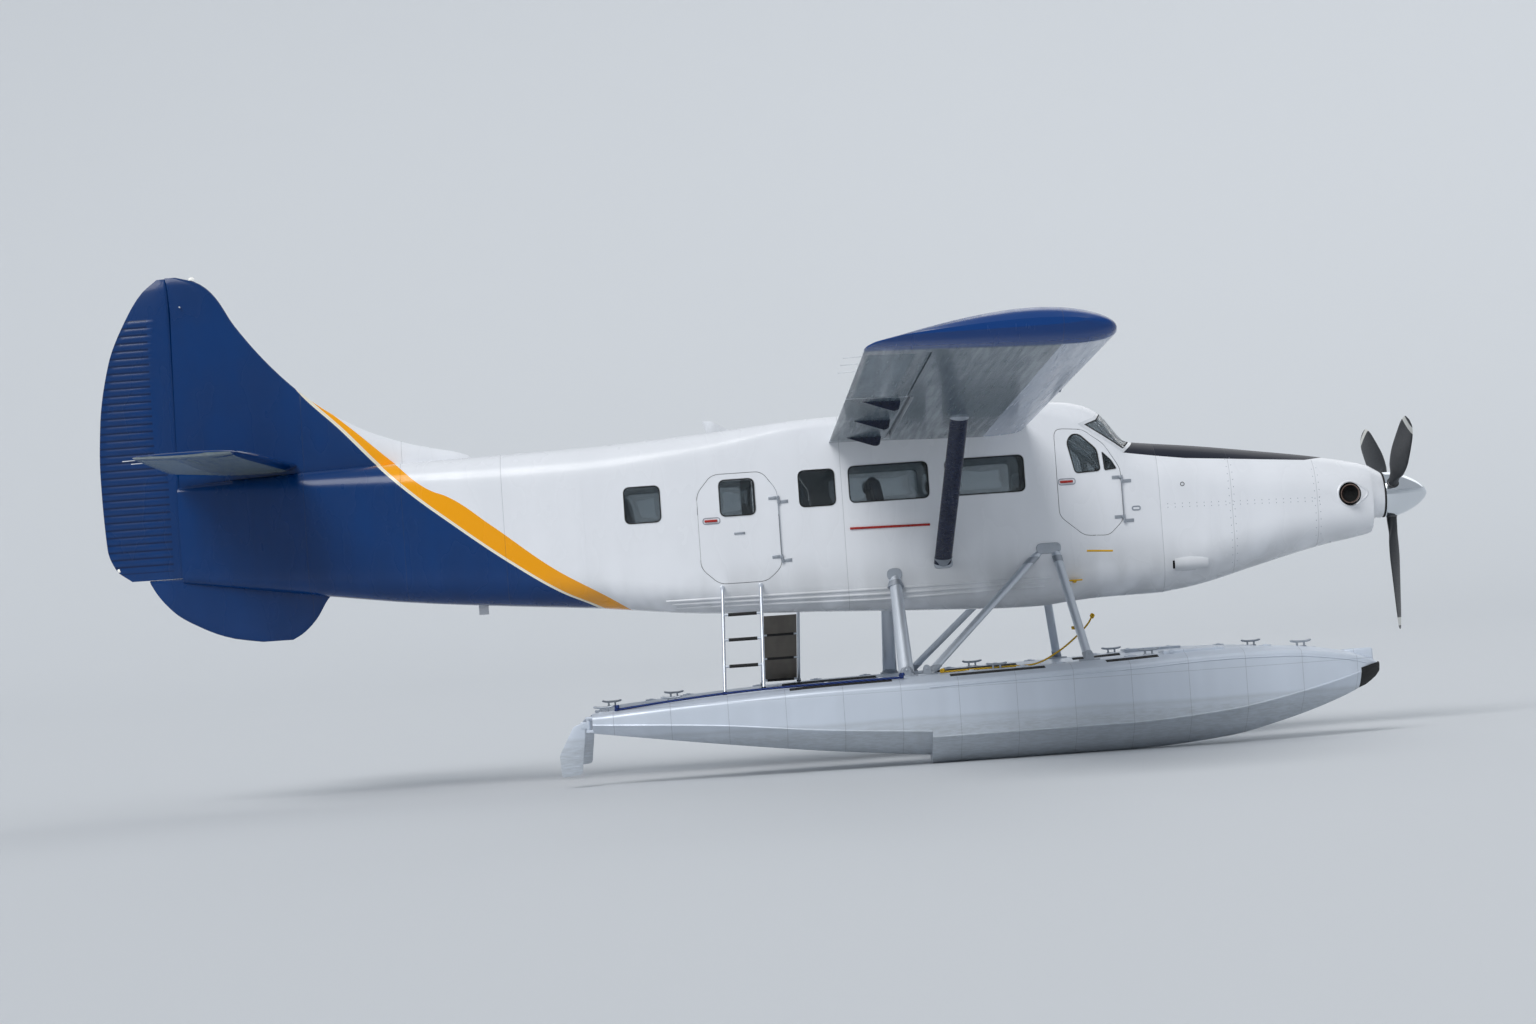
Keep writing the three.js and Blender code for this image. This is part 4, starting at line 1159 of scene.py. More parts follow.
@dataclass(frozen=True)
class FloatSkin(Finish):
    """Pale silver paint of the floats, with frames, rivet rows and a worn, stained lower half."""

    name: str = "float_silver"
    slot: str = field(default="float_skin", kw_only=True)
    silver: Colour = srgb(212, 220, 231)
    stain: Colour = srgb(140, 144, 142)
    water: float = 0.45
    frame: float = 0.56
    edge: float = 0.735

    def inputs(self, spot: Signal) -> dict[str, object]:
        """Wire the frames, rivets, waterline stain and streaks.

        Args:
            spot: The place in the object's own metres.

        Returns:
            Values and signals by the shader's input names.
        """
        x, y, z = spot.axes()
        cloud = soil(spot, 1.6)
        fine = spot.stretched(4.0, 4.0, 22.0).noise(3.0, 3.0)
        level = z + (spot.noise(1.4) - 0.5) * 0.05
        wet = level.span(self.water + 0.05, self.water - 0.12)
        tide = seam_at(level, self.water, 0.035) * 0.16
        colour = cloud.mix(dimmed(self.silver, 0.93), self.silver)
        colour = (wet * fine.span(0.3, 0.7, 0.25, 0.45)).mix(colour, self.stain)
        colour = tide.mix(colour, srgb(110, 112, 98))
        seams = even_seams(x, self.frame, 0.0035) | seam_at(z, self.edge, 0.004) * 0.8
        along = z + abs(abs(y) - Floats.y)
        rivets = rivet_row(along, x.folded(self.frame / 2) - 0.014, 0.032, 0.0033)
        height = spot.noise(2.4, 0.0) - seams * 0.45 + rivets * 0.4
        return {
            "Base Color": (seams * 0.45).mix(colour, srgb(80, 86, 92)),
            "Roughness": cloud.span(0.0, 1.0, 0.42, 0.34) + wet * 0.1,
            "Normal": height.bump(0.0022),
            "Metallic": 0.2,
        }


@dataclass(frozen=True)
class Metal(Finish):
    """Bare or plated metal with brushing, smudges and darker wear."""

    colour: Colour
    roughness: float = 0.3
    metallic: float = 1.0
    wear: float = 0.25
    brush: Point = (3.0, 3.0, 3.0)
    scale: float = 14.0

    def inputs(self, spot: Signal) -> dict[str, object]:
        """Wire the brushing and the smudges.

        Args:
            spot: The place in the object's own metres.

        Returns:
            Values and signals by the shader's input names.
        """
        grain = spot.stretched(*self.brush).noise(self.scale, 4.0, 0.6)
        share = soil(spot, 3.2) * 0.6 + grain * 0.4
        low, high = max(0.03, self.roughness - 0.06), self.roughness + 0.1
        return {
            "Base Color": share.mix(dimmed(self.colour, 1 - self.wear), self.colour),
            "Roughness": grain.span(0.3, 0.7, low, high),
            "Normal": grain.bump(0.0004),
            "Metallic": self.metallic,
        }


@dataclass(frozen=True)
class Coating(Finish):
    """Plain paint, plastic or rubber with a fine texture, fading and chips."""

    colour: Colour
    roughness: float = 0.4
    texture: float = 60.0
    depth: float = 0.0006
    chips: float = 0.1
    under: Colour = srgb(150, 154, 158)
    coat: float = 0.0

    def inputs(self, spot: Signal) -> dict[str, object]:
        """Wire the fading, the chips and the fine texture.

        Args:
            spot: The place in the object's own metres.

        Returns:
            Values and signals by the shader's input names.
        """
        fine = spot.noise(self.texture, 4.0, 0.6)
        chip = spot.noise(24.0, 6.0, 0.7).span(0.68, 0.72) * self.chips
        colour = soil(spot, 4.0).mix(dimmed(self.colour, 0.82), self.colour)
        low, high = max(0.05, self.roughness - 0.08), min(1.0, self.roughness + 0.08)
        return {
            "Base Color": chip.mix(colour, self.under),
            "Roughness": fine.span(0.3, 0.7, low, high),
            "Normal": fine.bump(self.depth),
            "Coat Weight": self.coat,
        }


@dataclass(frozen=True)
class Glass(Finish):
    """Tinted acrylic with faint smears."""

    name: str = "tinted_glass"
    slot: str = field(default="window_glass", kw_only=True)
    tint: Colour = srgb(120, 134, 142)
    roughness: float = 0.02

    def inputs(self, spot: Signal) -> dict[str, object]:
        """Wire the tint and the smears.

        Args:
            spot: The place in the object's own metres.

        Returns:
            Values and signals by the shader's input names.
        """
        smear = spot.stretched(2.0, 2.0, 5.0).noise(6.0, 5.0, 0.6)
        return {
            "Base Color": smear.mix(dimmed(self.tint, 0.85), self.tint),
            "Roughness": smear.span(0.4, 0.9, self.roughness, self.roughness + 0.05),
            "Transmission Weight": 0.9, "Alpha": 0.6, "IOR": 1.49,
        }


@dataclass(frozen=True)
class Cloth(Finish):
    """Woven or leather-like trim."""

    slot: str = field(default="seat_trim", kw_only=True)
    colour: Colour
    thread: float = 420.0
    leather: bool = False

    def inputs(self, spot: Signal) -> dict[str, object]:
        """Wire the weave or the hide's cells, the folds' shade and the rubbed places.

        Args:
            spot: The place in the object's own metres.

        Returns:
            Values and signals by the shader's input names.
        """
        x, y, z = spot.axes()
        if self.leather:
            cells = {"Vector": spot, "Scale": self.thread}
            height = spot.wiring.signal("TexVoronoi", "Distance", cells).span(0.0, 0.7)
        else:
            warp, weft = (x.math("SINE", way * (self.thread * 3)) for way in (x + z, y))
            height = (warp * weft).span(-1.0, 1.0)
        rub = spot.noise(7.0, 4.0)
        colour = height.mix(dimmed(self.colour, 0.72), self.colour)
        return {
            "Base Color": rub.span(0.45, 0.8).mix(colour, faded(self.colour, 1.35, 0.01)),
            "Roughness": rub.span(0.3, 0.7, 0.85, 0.62),
            "Normal": height.bump(0.0006),
            "Sheen Weight": 0.2,
        }


@dataclass(frozen=True)
class RopeWeave(Finish):
    """Twisted rope: three strands that turn along the rope's own map, with painted shade in the grooves between them.
    """

    colour: Colour
    # The painted shade in the grooves between the strands
    dark: Colour
    turns: float = 26.0

    def inputs(self, spot: Signal) -> dict[str, object]:
        """Wire the strands from the rope's own map, u along it in metres and v round it.

        Args:
            spot: The place in the object's own metres.

        Returns:
            Values and signals by the shader's input names.
        """
        along, across, _ = spot.wiring.signal("UVMap", 0, uv_map="lay").axes()
        phase = along * self.turns + across * 3.0
        strand = phase.folded(0.5).span(0.02, 0.4)
        fibre = phase.math("SINE", (phase - across) * 60.0)
        fuzz = spot.noise(260.0, 3.0)
        # Painted shade: the grooves between the strands take the dark colour.
        colour = strand.mix(self.dark, self.colour)
        return {
            "Base Color": fuzz.span(0.5, 0.8, 0.0, 0.5).mix(colour, faded(self.colour, 1.2, 0.02)),
            "Roughness": fuzz.span(0.2, 0.8, 0.75, 0.92),
            "Normal": (strand + fibre * 0.08).bump(0.0022),
        }


@dataclass(frozen=True)
class Lamp(Finish):
    """Coloured lamp glass that glows a little."""

    slot: str = field(default="window_glass", kw_only=True)
    colour: Colour
    glow: float = 0.6

    def inputs(self, spot: Signal) -> dict[str, object]:
        """Wire the ribbed glass and its glow.

        Args:
            spot: The place in the object's own metres.

        Returns:
            Values and signals by the shader's input names.
        """
        ribs = spot.stretched(1.0, 1.0, 40.0).noise(3.0, 1.0)
        colour = ribs.mix(dimmed(self.colour, 0.7), self.colour)
        return {
            "Base Color": colour, "Emission Color": colour, "Emission Strength": self.glow,
            "Roughness": 0.12, "Coat Weight": 1.0, "Normal": ribs.bump(0.0008),
        }


@dataclass(frozen=True)
class StudioFloor(Finish):
    """Plain pale floor with the faintest unevenness."""

    name: str = "studio_floor"
    colour: Colour = srgb(212, 215, 218)

    def inputs(self, spot: Signal) -> dict[str, object]:
        """Wire the floor's plain colour."""
        colour = spot.noise(0.05, 2.0).mix(dimmed(self.colour, 0.985), self.colour)
        return {"Base Color": colour, "Roughness": 0.75}


class Finishes:
    """The aircraft's finishes."""

    body = Livery()
    # The wing's dark grey lower colour is partly the underside's paint and partly painted shade and water reflection;
    # its bluish leading-edge band, on both faces, is a painted sky reflection.
    wing = SurfacePaint(
        "wing_paint", srgb(232, 236, 240), srgb(98, 114, 124), srgb(168, 178, 194), (2.18, 0.0), 8.56,
        seams_x=(2.18,), seams_y=(4.163, 7.53),
    )
    tailplane = SurfacePaint(
        "tailplane_paint", srgb(0, 54, 112), srgb(132, 146, 150), srgb(0, 48, 104), (-4.86, 0.055), pitch=0.9,
        gloss=0.16,
    )
    elevator = SurfacePaint(
        "elevator_paint", srgb(0, 54, 112), srgb(140, 154, 158), srgb(0, 48, 104), pitch=2.0, gloss=0.16,
    )
    floats = FloatSkin()
    navy = Coating("navy_paint", srgb(2, 18, 52), 0.3, 30.0, 0.0002, 0.04, coat=0.15, slot="blue_paint")
    white = Coating("white_trim", srgb(232, 235, 239), 0.25, 30.0, 0.0002, 0.1, coat=0.5, slot="white_paint")
    aluminium = Metal("bright_aluminium", srgb(216, 222, 230), 0.34, 0.7, wear=0.04, brush=(8.0, 8.0, 0.6))
    dull = Metal("dull_aluminium", srgb(178, 184, 192), 0.42, 0.9, wear=0.12)
    polished = Metal(
        "polished_metal", srgb(224, 229, 234), 0.07, wear=0.06, brush=(1.0, 6.0, 6.0), scale=5.0,
        slot="spinner_metal",
    )
    steel = Metal("engine_steel", srgb(112, 112, 114), 0.45, 0.9, 0.5, slot="engine_metal")
    burnt = Metal("burnt_steel", srgb(122, 104, 96), 0.4, 1.0, 0.4, scale=9.0, slot="engine_metal")
    soot = Metal("sooty_steel", srgb(66, 50, 46), 0.6, 0.6, 0.5, scale=9.0)
    blade = Coating("blade_paint", srgb(34, 37, 42), 0.42, 80.0, 0.0003, 0.2, slot="blade")
    blade_tip = Coating("blade_tip_paint", srgb(226, 226, 220), 0.4, 80.0, 0.0003, 0.2)
    rubber = Coating("black_rubber", srgb(24, 25, 27), 0.7, 120.0, 0.001, 0.0)
    # Painted shade: near black on the walls cut for the cowling's openings and the spinner's blade holes, and on the
    # cowling drains' rings, for the shade inside them.
    dark = Coating("dark_recess", srgb(10, 11, 13), 0.8, 40.0, 0.0008, 0.0)
    glass = Glass()
    lining = Coating("cabin_lining", srgb(176, 176, 170), 0.6, 160.0, 0.0008, 0.0)
    seat = Cloth("seat_leather", srgb(70, 78, 92), 260.0, True)
    belt = Cloth("belt_webbing", srgb(40, 42, 46), 900.0)
    carpet = Cloth("cabin_carpet", srgb(62, 66, 72), 500.0, slot="floor_trim")
    panel = Coating("panel_black", srgb(30, 32, 36), 0.55, 150.0, 0.0006, 0.05, slot="panel_trim")
    dial = Coating("dial_face", srgb(16, 18, 20), 0.25, 30.0, 0.0001, 0.0, coat=1.0, slot="panel_trim")
    red = Coating("red_handle", srgb(176, 36, 26), 0.32, 40.0, 0.0002, 0.15)
    yellow = Coating("yellow_mark", srgb(244, 190, 30), 0.4, 40.0, 0.0002, 0.1)
    grip = Coating("grip_tape", srgb(44, 44, 44), 0.95, 700.0, 0.002, 0.0)
    plate = Coating("ladder_plate", srgb(112, 106, 98), 0.55, 60.0, 0.0006, 0.3)
    lamp_green = Lamp("green_lamp", srgb(30, 230, 130), 1.2)
    lamp_red = Lamp("red_lamp", srgb(235, 40, 30), 0.9)
    lamp_white = Lamp("white_lamp", srgb(240, 240, 235), 0.4)
    lens = Lamp("clear_lens", srgb(150, 160, 172), 0.05)
    yellow_rope = RopeWeave(
        "yellow_rope_lay", srgb(240, 196, 40), srgb(150, 104, 10), 24.0, slot="yellow_line",
    )
    blue_rope = RopeWeave("blue_rope_lay", srgb(34, 62, 130), srgb(10, 20, 54), 18.0, slot="blue_line")
    floor = StudioFloor()


# Studio


@dataclass
class Studio:
    """Camera, floor and light, at the photograph's viewing angle."""

    eye: Point = (-0.776, -34.997, 1.406)
    aim: Point = (0.0, 0.0, 2.62)
    roll: float = -3.989
    lens: float = 80.0
    flat: float = 115.0
    rim: float = 190.0
    sky: tuple = (0.86, 0.92, 1.0, 1)
    sky_strength: float = 0.46
    suns: tuple = (
        # name, turn in degrees, strength, softness in degrees
        ("key", (48, 0, -28), 1.65, 32), ("fill", (60, 0, 150), 0.5, 50),
    )

    def camera(self) -> None:
        """Set the camera at the photograph's place, aimed at the middle of the aircraft."""
        bpy.ops.object.camera_add(location=self.eye)
        camera = bpy.context.object
        camera.name = "camera"
        look = (Vector(self.aim) - Vector(self.eye)).to_track_quat("-Z", "Y").to_matrix()
        camera.rotation_euler = (look @ Matrix.Rotation(math.radians(self.roll), 3, "Z")).to_euler()
        camera.data.lens, camera.data.sensor_width = self.lens, 36.0
        camera.data.clip_start, camera.data.clip_end = 0.5, 1200.0
        bpy.context.scene.camera = camera

    def floor(self) -> None:
        """Make a round floor that curves up far behind on every side."""
        profile = [(0.0, 0.01), (0.0, 20.0), (0.0, 60.0), (0.0, self.flat)]
        rise = self.rim - self.flat
        for turn in np.linspace(0.08, 1, 14) * math.pi / 2:
            profile.append((rise * (1 - math.cos(turn)), self.flat + rise * math.sin(turn)))
        obj = painted(lathe(profile, (0, 0, -0.001), sides=96, capped=False), Finishes.floor)
        obj.name = "studio_floor"
        for face in obj.data.polygons:
            face.use_smooth = True
        edit(obj)
        bpy.ops.mesh.normals_make_consistent(inside=True)
        clear()
        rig.stage(obj)

    def light(self) -> None:
        """Light the studio with a pale world, a soft key from the front right and a soft fill."""
        world = bpy.data.worlds.new("studio")
        world.use_nodes = True
        bpy.context.scene.world = world
        background = world.node_tree.nodes["Background"]
        background.inputs[0].default_value = self.sky
        background.inputs[1].default_value = self.sky_strength
        for name, turn, strength, soft in self.suns:
            bpy.ops.object.light_add(type="SUN", rotation=[math.radians(a) for a in turn])
            lamp = bpy.context.object
            lamp.name = name
            lamp.data.energy, lamp.data.angle = strength, math.radians(soft)
        bpy.context.scene.view_settings.view_transform = "Standard"

    def build(self) -> None:
        """Set the camera, then the floor and the light."""
        self.camera()
        self.floor()
        self.light()


# Ropes


def route(points: Rows, count: int) -> np.ndarray:
    """Lay a smooth curve through given points.

    Args:
        points: The points.
        count: How many points the curve gets.

    Returns:
        The curve's points.
    """
    knots = np.asarray(points, float)
    ends = np.vstack([2 * knots[0] - knots[1], knots, 2 * knots[-1] - knots[-2]])
    t = np.concatenate([[0], np.cumsum(np.sqrt(np.linalg.norm(np.diff(ends, axis=0), axis=1)))])
    made = []
    for at in np.linspace(t[1], t[-2], count):
        i = int(np.clip(np.searchsorted(t, at, side="right") - 1, 1, len(ends) - 3))
        level, s = list(ends[i - 1:i + 3]), t[i - 1:i + 3]
        for wide, pairs in ((1, (0, 1, 2)), (2, (0, 1))):
            level = [(s[k + wide] - at) / (s[k + wide] - s[k]) * level[k]
                     + (at - s[k]) / (s[k + wide] - s[k]) * level[k + 1] for k in pairs]
        made.append((s[2] - at) / (s[2] - s[1]) * level[0] + (at - s[1]) / (s[2] - s[1]) * level[1])
    return np.array(made)


@dataclass
class Ropes:
    """The two lines on the starboard float."""

    yellow: tuple = (
        (3.105, -1.240, 1.330), (3.060, -1.180, 1.250), (2.920, -1.180, 1.120), (2.740, -1.260, 1.000),
        (2.500, -1.400, 0.900), (2.200, -1.480, 0.8911), (1.900, -1.500, 0.8891), (1.560, -1.600, 0.8841),
    )
    blue: tuple = (
        (1.150, -1.760, 0.8613), (0.800, -1.780, 0.8583), (0.350, -1.770, 0.8513), (-0.150, -1.740, 0.8433),
        (-0.650, -1.700, 0.8213), (-1.150, -1.650, 0.7833), (-1.640, -1.600, 0.7383),
    )
    strut: tuple = ((2.829, -0.770, 2.035), (3.015, -1.521, 0.780))
    yellow_radius: float = 0.009
    blue_radius: float = 0.012
    hitch_z: float = 1.236
    hitch_reach: tuple = (0.0535, 0.0345)

    @staticmethod
    def laid(path: np.ndarray, radius: float, finish: Finish) -> Obj:
        """Make a rope's mesh with a map along and round it.

        Args:
            path: Its middle line.
            radius: Its radius.
            finish: Its finish.

        Returns:
            The rope.
        """
        fine = route(path, 6 * len(path))
        obj = tube(fine, radius, 14)
        length = np.concatenate([[0], np.cumsum(np.linalg.norm(np.diff(fine, axis=0), axis=1))])
        layer = obj.data.uv_layers.new(name="lay")
        points = points_of(obj)
        near = np.array([int(np.argmin(np.linalg.norm(fine - c, axis=1))) for c in points])
        way = np.gradient(fine, axis=0)
        way /= np.linalg.norm(way, axis=1)[:, None]
        side = np.cross(way, (0.0, 0.0, 1.0))
        side /= np.linalg.norm(side, axis=1)[:, None] + 1e-9
        out = points - fine[near]
        rise = np.sum(out * np.cross(side, way)[near], axis=1)
        turns = np.arctan2(rise, np.sum(out * side[near], axis=1)) / (2 * math.pi)
        for face in obj.data.polygons:
            base = turns[face.vertices[0]]
            for loop, index in zip(face.loop_indices, face.vertices):
                layer.data[loop].uv = (length[near[index]], base + (turns[index] - base + 0.5) % 1.0 - 0.5)
        return painted(obj, finish)

    @staticmethod
    def knot(centre: np.ndarray, way: np.ndarray, rope: float, finish: Finish) -> Obj:
        """Make a rope's stopper knot: three turns round its own line.

        Args:
            centre: Its middle.
            way: Direction of the rope there.
            rope: The rope's radius.
            finish: Its finish.

        Returns:
            The knot.
        """
        turn = np.array(Vector(way).to_track_quat("Z", "Y").to_matrix())
        angle = np.linspace(0, 5.6 * math.pi, 70)
        wide = rope * 1.75
        along = np.linspace(-1.7, 1.7, 70) * rope
        path = np.column_stack([wide * np.cos(angle), wide * np.sin(angle), along]) @ turn.T + centre
        return Ropes.laid(path[::2], rope * 0.8, finish)

    def hitch(self) -> Obj:
        """Tie the yellow rope's line to the front strut with two loose turns.

        Returns:
            The turns.
        """
        top, foot = (np.array(p) for p in self.strut)

        def strut_at(z: float) -> np.ndarray:
            """Give the strut's middle at a height."""
            return top + (foot - top) * (top[2] - z) / (top[2] - foot[2])

        line = route(self.yellow, 160)
        link = line[np.linalg.norm(line - strut_at(1.22), axis=1).argmin()]
        path = []
        for share in np.linspace(0, 1, 64):
            middle = strut_at(self.hitch_z - 0.030 * share)
            angle = math.atan2(link[1] - middle[1], link[0] - middle[0]) + 4 * math.pi * share
            wide, deep = self.hitch_reach
            ring = middle + np.array([wide * math.cos(angle), deep * math.sin(angle), 0.0])
            weight = max(0.0, 1 - min(share, 1 - share) / 0.07) ** 1.5
            path.append(ring * (1 - weight) + (link + (0, 0, 0.012 - 0.024 * share)) * weight)
        return self.laid(np.array(path), self.yellow_radius * 0.9, Finishes.yellow_rope)

    def build(self) -> None:
        for name, points, radius, finish in (
            ("yellow_rope", self.yellow, self.yellow_radius, Finishes.yellow_rope),
            ("blue_rope", self.blue, self.blue_radius, Finishes.blue_rope),
        ):
            path = route(points, 30)
            length = float(np.sum(np.linalg.norm(np.diff(path, axis=0), axis=1)))
            rope = self.laid(path, radius, finish)
            lift = np.array((0, 0, radius * 1.4))
            first = path[0] if name == "yellow_rope" else path[0] + lift
            pieces = {
                "knot_start": self.knot(first, path[1] - path[0], radius, finish),
                "knot_end": self.knot(path[-1] + lift, path[-1] - path[-2], radius, finish),
            }
            if name == "yellow_rope":
                pieces["hitch"] = self.hitch()
            knots = [deliver(f"{name}_{kind}", obj, finish, smooth=60) for kind, obj in pieces.items()]
            deliver(name + "_line", rope, finish, name, smooth=60)
            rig.cord(
                rope, exit=points[0], length=round(length, 3), diameter=2 * radius, far_end="knot",
                stiffness="medium", lay="loose", path=[tuple(p) for p in path], with_pieces=knots,
            )


# Fuselage


@dataclass
class BodySkin:
    """The fuselage's surface, which every cabin piece follows."""

    rows: tuple = (
        # x, bottom z, top z, half width, lower corner, upper corner
        (-6.005, 2.296, 3.296, 0.088, 0.078, 0.078), (-5.932, 2.285, 3.300, 0.095, 0.080, 0.080),
        (-4.700, 2.092, 3.345, 0.280, 0.180, 0.180), (-3.700, 1.945, 3.365, 0.440, 0.250, 0.250),
        (-2.675, 1.837, 3.374, 0.610, 0.290, 0.290), (-1.865, 1.762, 3.384, 0.735, 0.300, 0.300),
        (-0.700, 1.628, 3.430, 0.812, 0.280, 0.240), (0.560, 1.560, 3.505, 0.820, 0.260, 0.110),
        (1.700, 1.500, 3.515, 0.820, 0.260, 0.110), (2.650, 1.464, 3.515, 0.816, 0.260, 0.110),
        (3.000, 1.492, 3.505, 0.795, 0.280, 0.200), (3.250, 1.508, 3.455, 0.763, 0.300, 0.250),
        (3.400, 1.512, 3.368, 0.740, 0.310, 0.265), (3.680, 1.515, 3.072, 0.692, 0.330, 0.330),
        (3.945, 1.518, 3.040, 0.640, 0.340, 0.400),
    )
    bulge: float = 0.014

    def half_ring(self, row: Sequence[float], inset: float = 0.0) -> np.ndarray:
        """Give the port half of a section, from the bottom's middle to the top's middle.

        Args:
            row: A station's numbers.
            inset: How far inside the skin.

        Returns:
            Points of y and z.
        """
        _, bottom, top, half, lower, upper = row
        sine, cosine = np.sin(quarter(9)), np.cos(quarter(9))
        small, large = lower - inset, upper - inset
        low = np.column_stack([half - lower + small * sine, bottom + lower - small * cosine])
        high = np.column_stack([half - upper + large * cosine, top - upper + large * sine])
        share = np.linspace(0, 1, 11)[1:-1, None]
        side = low[-1] * (1 - share) + high[0] * share
        share = np.linspace(0, 1, 5)[:-1, None]
        under = np.array([0, bottom + inset]) * (1 - share) + low[0] * share
        over = np.array([0, top - inset]) * (1 - share[::-1]) + high[-1] * share[::-1]
        points = np.vstack([under, low, side, high, over])
        middle, reach = (bottom + top) / 2, (top - bottom) / 2
        points[:, 0] *= 1 - self.bulge * ((points[:, 1] - middle) / reach) ** 2
        return points

    def ring(self, row: Sequence[float], inset: float) -> np.ndarray:
        """Give a whole section as points of x, y and z."""
        half = self.half_ring(row, inset)
        both = np.vstack([half, half[-2:0:-1] * (-1, 1)])
        return np.column_stack([np.full(len(both), row[0]), both])

    def side(self, x: float, z: float) -> float:
        """Give the half width of the skin at a place."""
        half = self.half_ring(smooth_rows(self.rows, [x])[0])[4:-4]
        return float(np.interp(z, half[:, 1], half[:, 0]))

    def spot(self, x: float, z: float, side: Side, lift: float = 0.0) -> Point:
        """Give the point over a place on one side of the skin."""
        return (x, side.value * (self.side(x, z) + lift), z)

    def top(self, x: float) -> float:
        """Give the height of the skin's top at a place."""
        return float(smooth_rows(self.rows, [x])[0][2])

    def solid(self, x0: float, x1: float, inset: float = 0.0, step: float = 0.06) -> Obj:
        """Make the closed body between two stations.

        Args:
            x0: First x.
            x1: Last x.
            inset: How far inside the skin.
            step: Distance between sections.

        Returns:
            The body.
        """
        return skin([self.ring(row, inset) for row in read(self.rows, step, x0, x1)])

    def wall(
        self, x0: float, x1: float, depth: float = 0.035, start: float = 0.0, margin: float = 0.035
    ) -> Obj:
        """Make the wall between two stations, lined on its inner face.

        Args:
            x0: First x.
            x1: Last x.
            depth: How far in the inner face lies.
            start: How far in the outer face lies.
            margin: Thickness at the two ends.

        Returns:
            The wall, with the lining in its second material slot.
        """
        outer = painted(self.solid(x0, x1, start), Finishes.body)
        inner = painted(flipped(self.solid(x0 + margin, x1 - margin, depth)), Finishes.lining)
        return join(outer, inner)


SKIN = BodySkin()


def side_plate(outline: Outline, side: Side) -> Obj:
    """Make a cutter through one side of the fuselage."""
    low, high = sorted((0.30 * side.value, 1.10 * side.value))
    return plate(outline, low, high)


def band(outline: Outline, side: Side, rows: Outline, body: BodySkin = SKIN) -> Obj:
    """Run a moulding round an outline on the fuselage's side.

    Args:
        outline: The outline in x and z.
        side: Which side.
        rows: The moulding's section, as growth of the outline and height over the skin.
        body: The surface it follows.

    Returns:
        The closed moulding.
    """
    return outward(skin([
        [body.spot(x, z, side, lift) for x, z in grown(outline, grow)] for grow, lift in [*rows, rows[0]]
    ], capped=False))


def side_pad(centre: tuple[float, float], size: tuple[float, float], side: Side, proud: float) -> Obj:
    """Lay a rounded fitting plate on the fuselage's side.

    Args:
        centre: Its middle in x and z.
        size: Its length and height.
        side: Which side.
        proud: How far it stands out.

    Returns:
        The plate.
    """
    (x, z), (wide, tall) = centre, size
    outline = box_outline(x - wide / 2, x + wide / 2, z - tall / 2, z + tall / 2, tall * 0.45)
    rows = ((0.0, -0.006), (0.0, proud * 0.6), (-0.004, proud), (-tall * 0.3, proud * 1.1))
    return outward(skin([
        [SKIN.spot(a, b, side, lift) for a, b in grown(outline, grow)] for grow, lift in rows
    ]))


def side_line(points: Outline, side: Side, radius: float, lift: float) -> Obj:
    """Run a half-sunk bead on the fuselage's side.

    Args:
        points: Places it passes, in x and z, with x rising.
        side: Which side.
        radius: Its radius.
        lift: How far its middle stands over the skin.

    Returns:
        The bead.
    """
    xs, zs = zip(*points)
    along = np.linspace(xs[0], xs[-1], max(8, int(abs(xs[-1] - xs[0]) / 0.12)))
    return tube([SKIN.spot(x, z, side, lift) for x, z in zip(along, np.interp(along, xs, zs))], radius, 10)


@dataclass
class Window:
    """A domed pane, almost flush with the skin, in a black seal and a fine light rim."""

    outline: Outline
    side: Side
    dome: float = 0.02
    sunk: float = 0.004
    thick: float = 0.005
    seal: tuple = ((0.001, -0.012), (0.001, 0.001), (-0.012, 0.001), (-0.012, -0.012))
    rim: tuple = ((0.009, -0.002), (0.008, 0.003), (0.001, 0.004), (0.0, -0.002))

    def pane(self) -> Obj:
        """Make the domed pane.

        Returns:
            The pane.
        """
        edge = np.array(grown(self.outline, -0.002))
        centre = (edge.max(0) + edge.min(0)) / 2
        rings = []
        for share in (1.0, 0.96, 0.9, 0.8, 0.66, 0.5, 0.34, 0.18, 0.0):
            lift = self.dome * (1 - share**2.4) - self.sunk
            rings.append([SKIN.spot(x, z, self.side, lift) for x, z in centre + (edge - centre) * share])
        obj = skin(rings, capped=False)
        if obj.data.polygons[0].normal.y * self.side.value < 0:
            flipped(obj)
        return applied(obj, "SOLIDIFY", thickness=self.thick, offset=-1)

    def pieces(self, wall: Obj) -> list[Obj]:
        """Cut the window's hole and make its pane, seal and rim.

        Args:
            wall: What it is cut from.

        Returns:
            The pane, the seal and the rim.
        """
        cut(wall, side_plate(self.outline, self.side))
        trim = [band(self.outline, self.side, rows) for rows in (self.seal, self.rim)]
        return [self.pane(), *trim]


def glaze(stem: str, wall: Obj, windows: list[Window], ends: Sequence[str], node: str, body: str) -> None:
    """Cut windows from a wall and deliver their panes, seals and rims, each kind as one piece.

    Args:
        stem: Start of the pieces' names.
        wall: What they are cut from.
        windows: The windows.
        ends: Ends of the names of panes, seals and rims.
        node: The frame's node that the panes stand for.
        body: The body they ride on.
    """
    panes, seals, rims = zip(*[window.pieces(wall) for window in windows])
    deliver(stem + ends[0], panes, Finishes.glass, node, body=body)
    deliver(stem + ends[1], seals, Finishes.rubber, body=body, slot="window_glass")
    deliver(stem + ends[2], rims, Finishes.white, body=body)


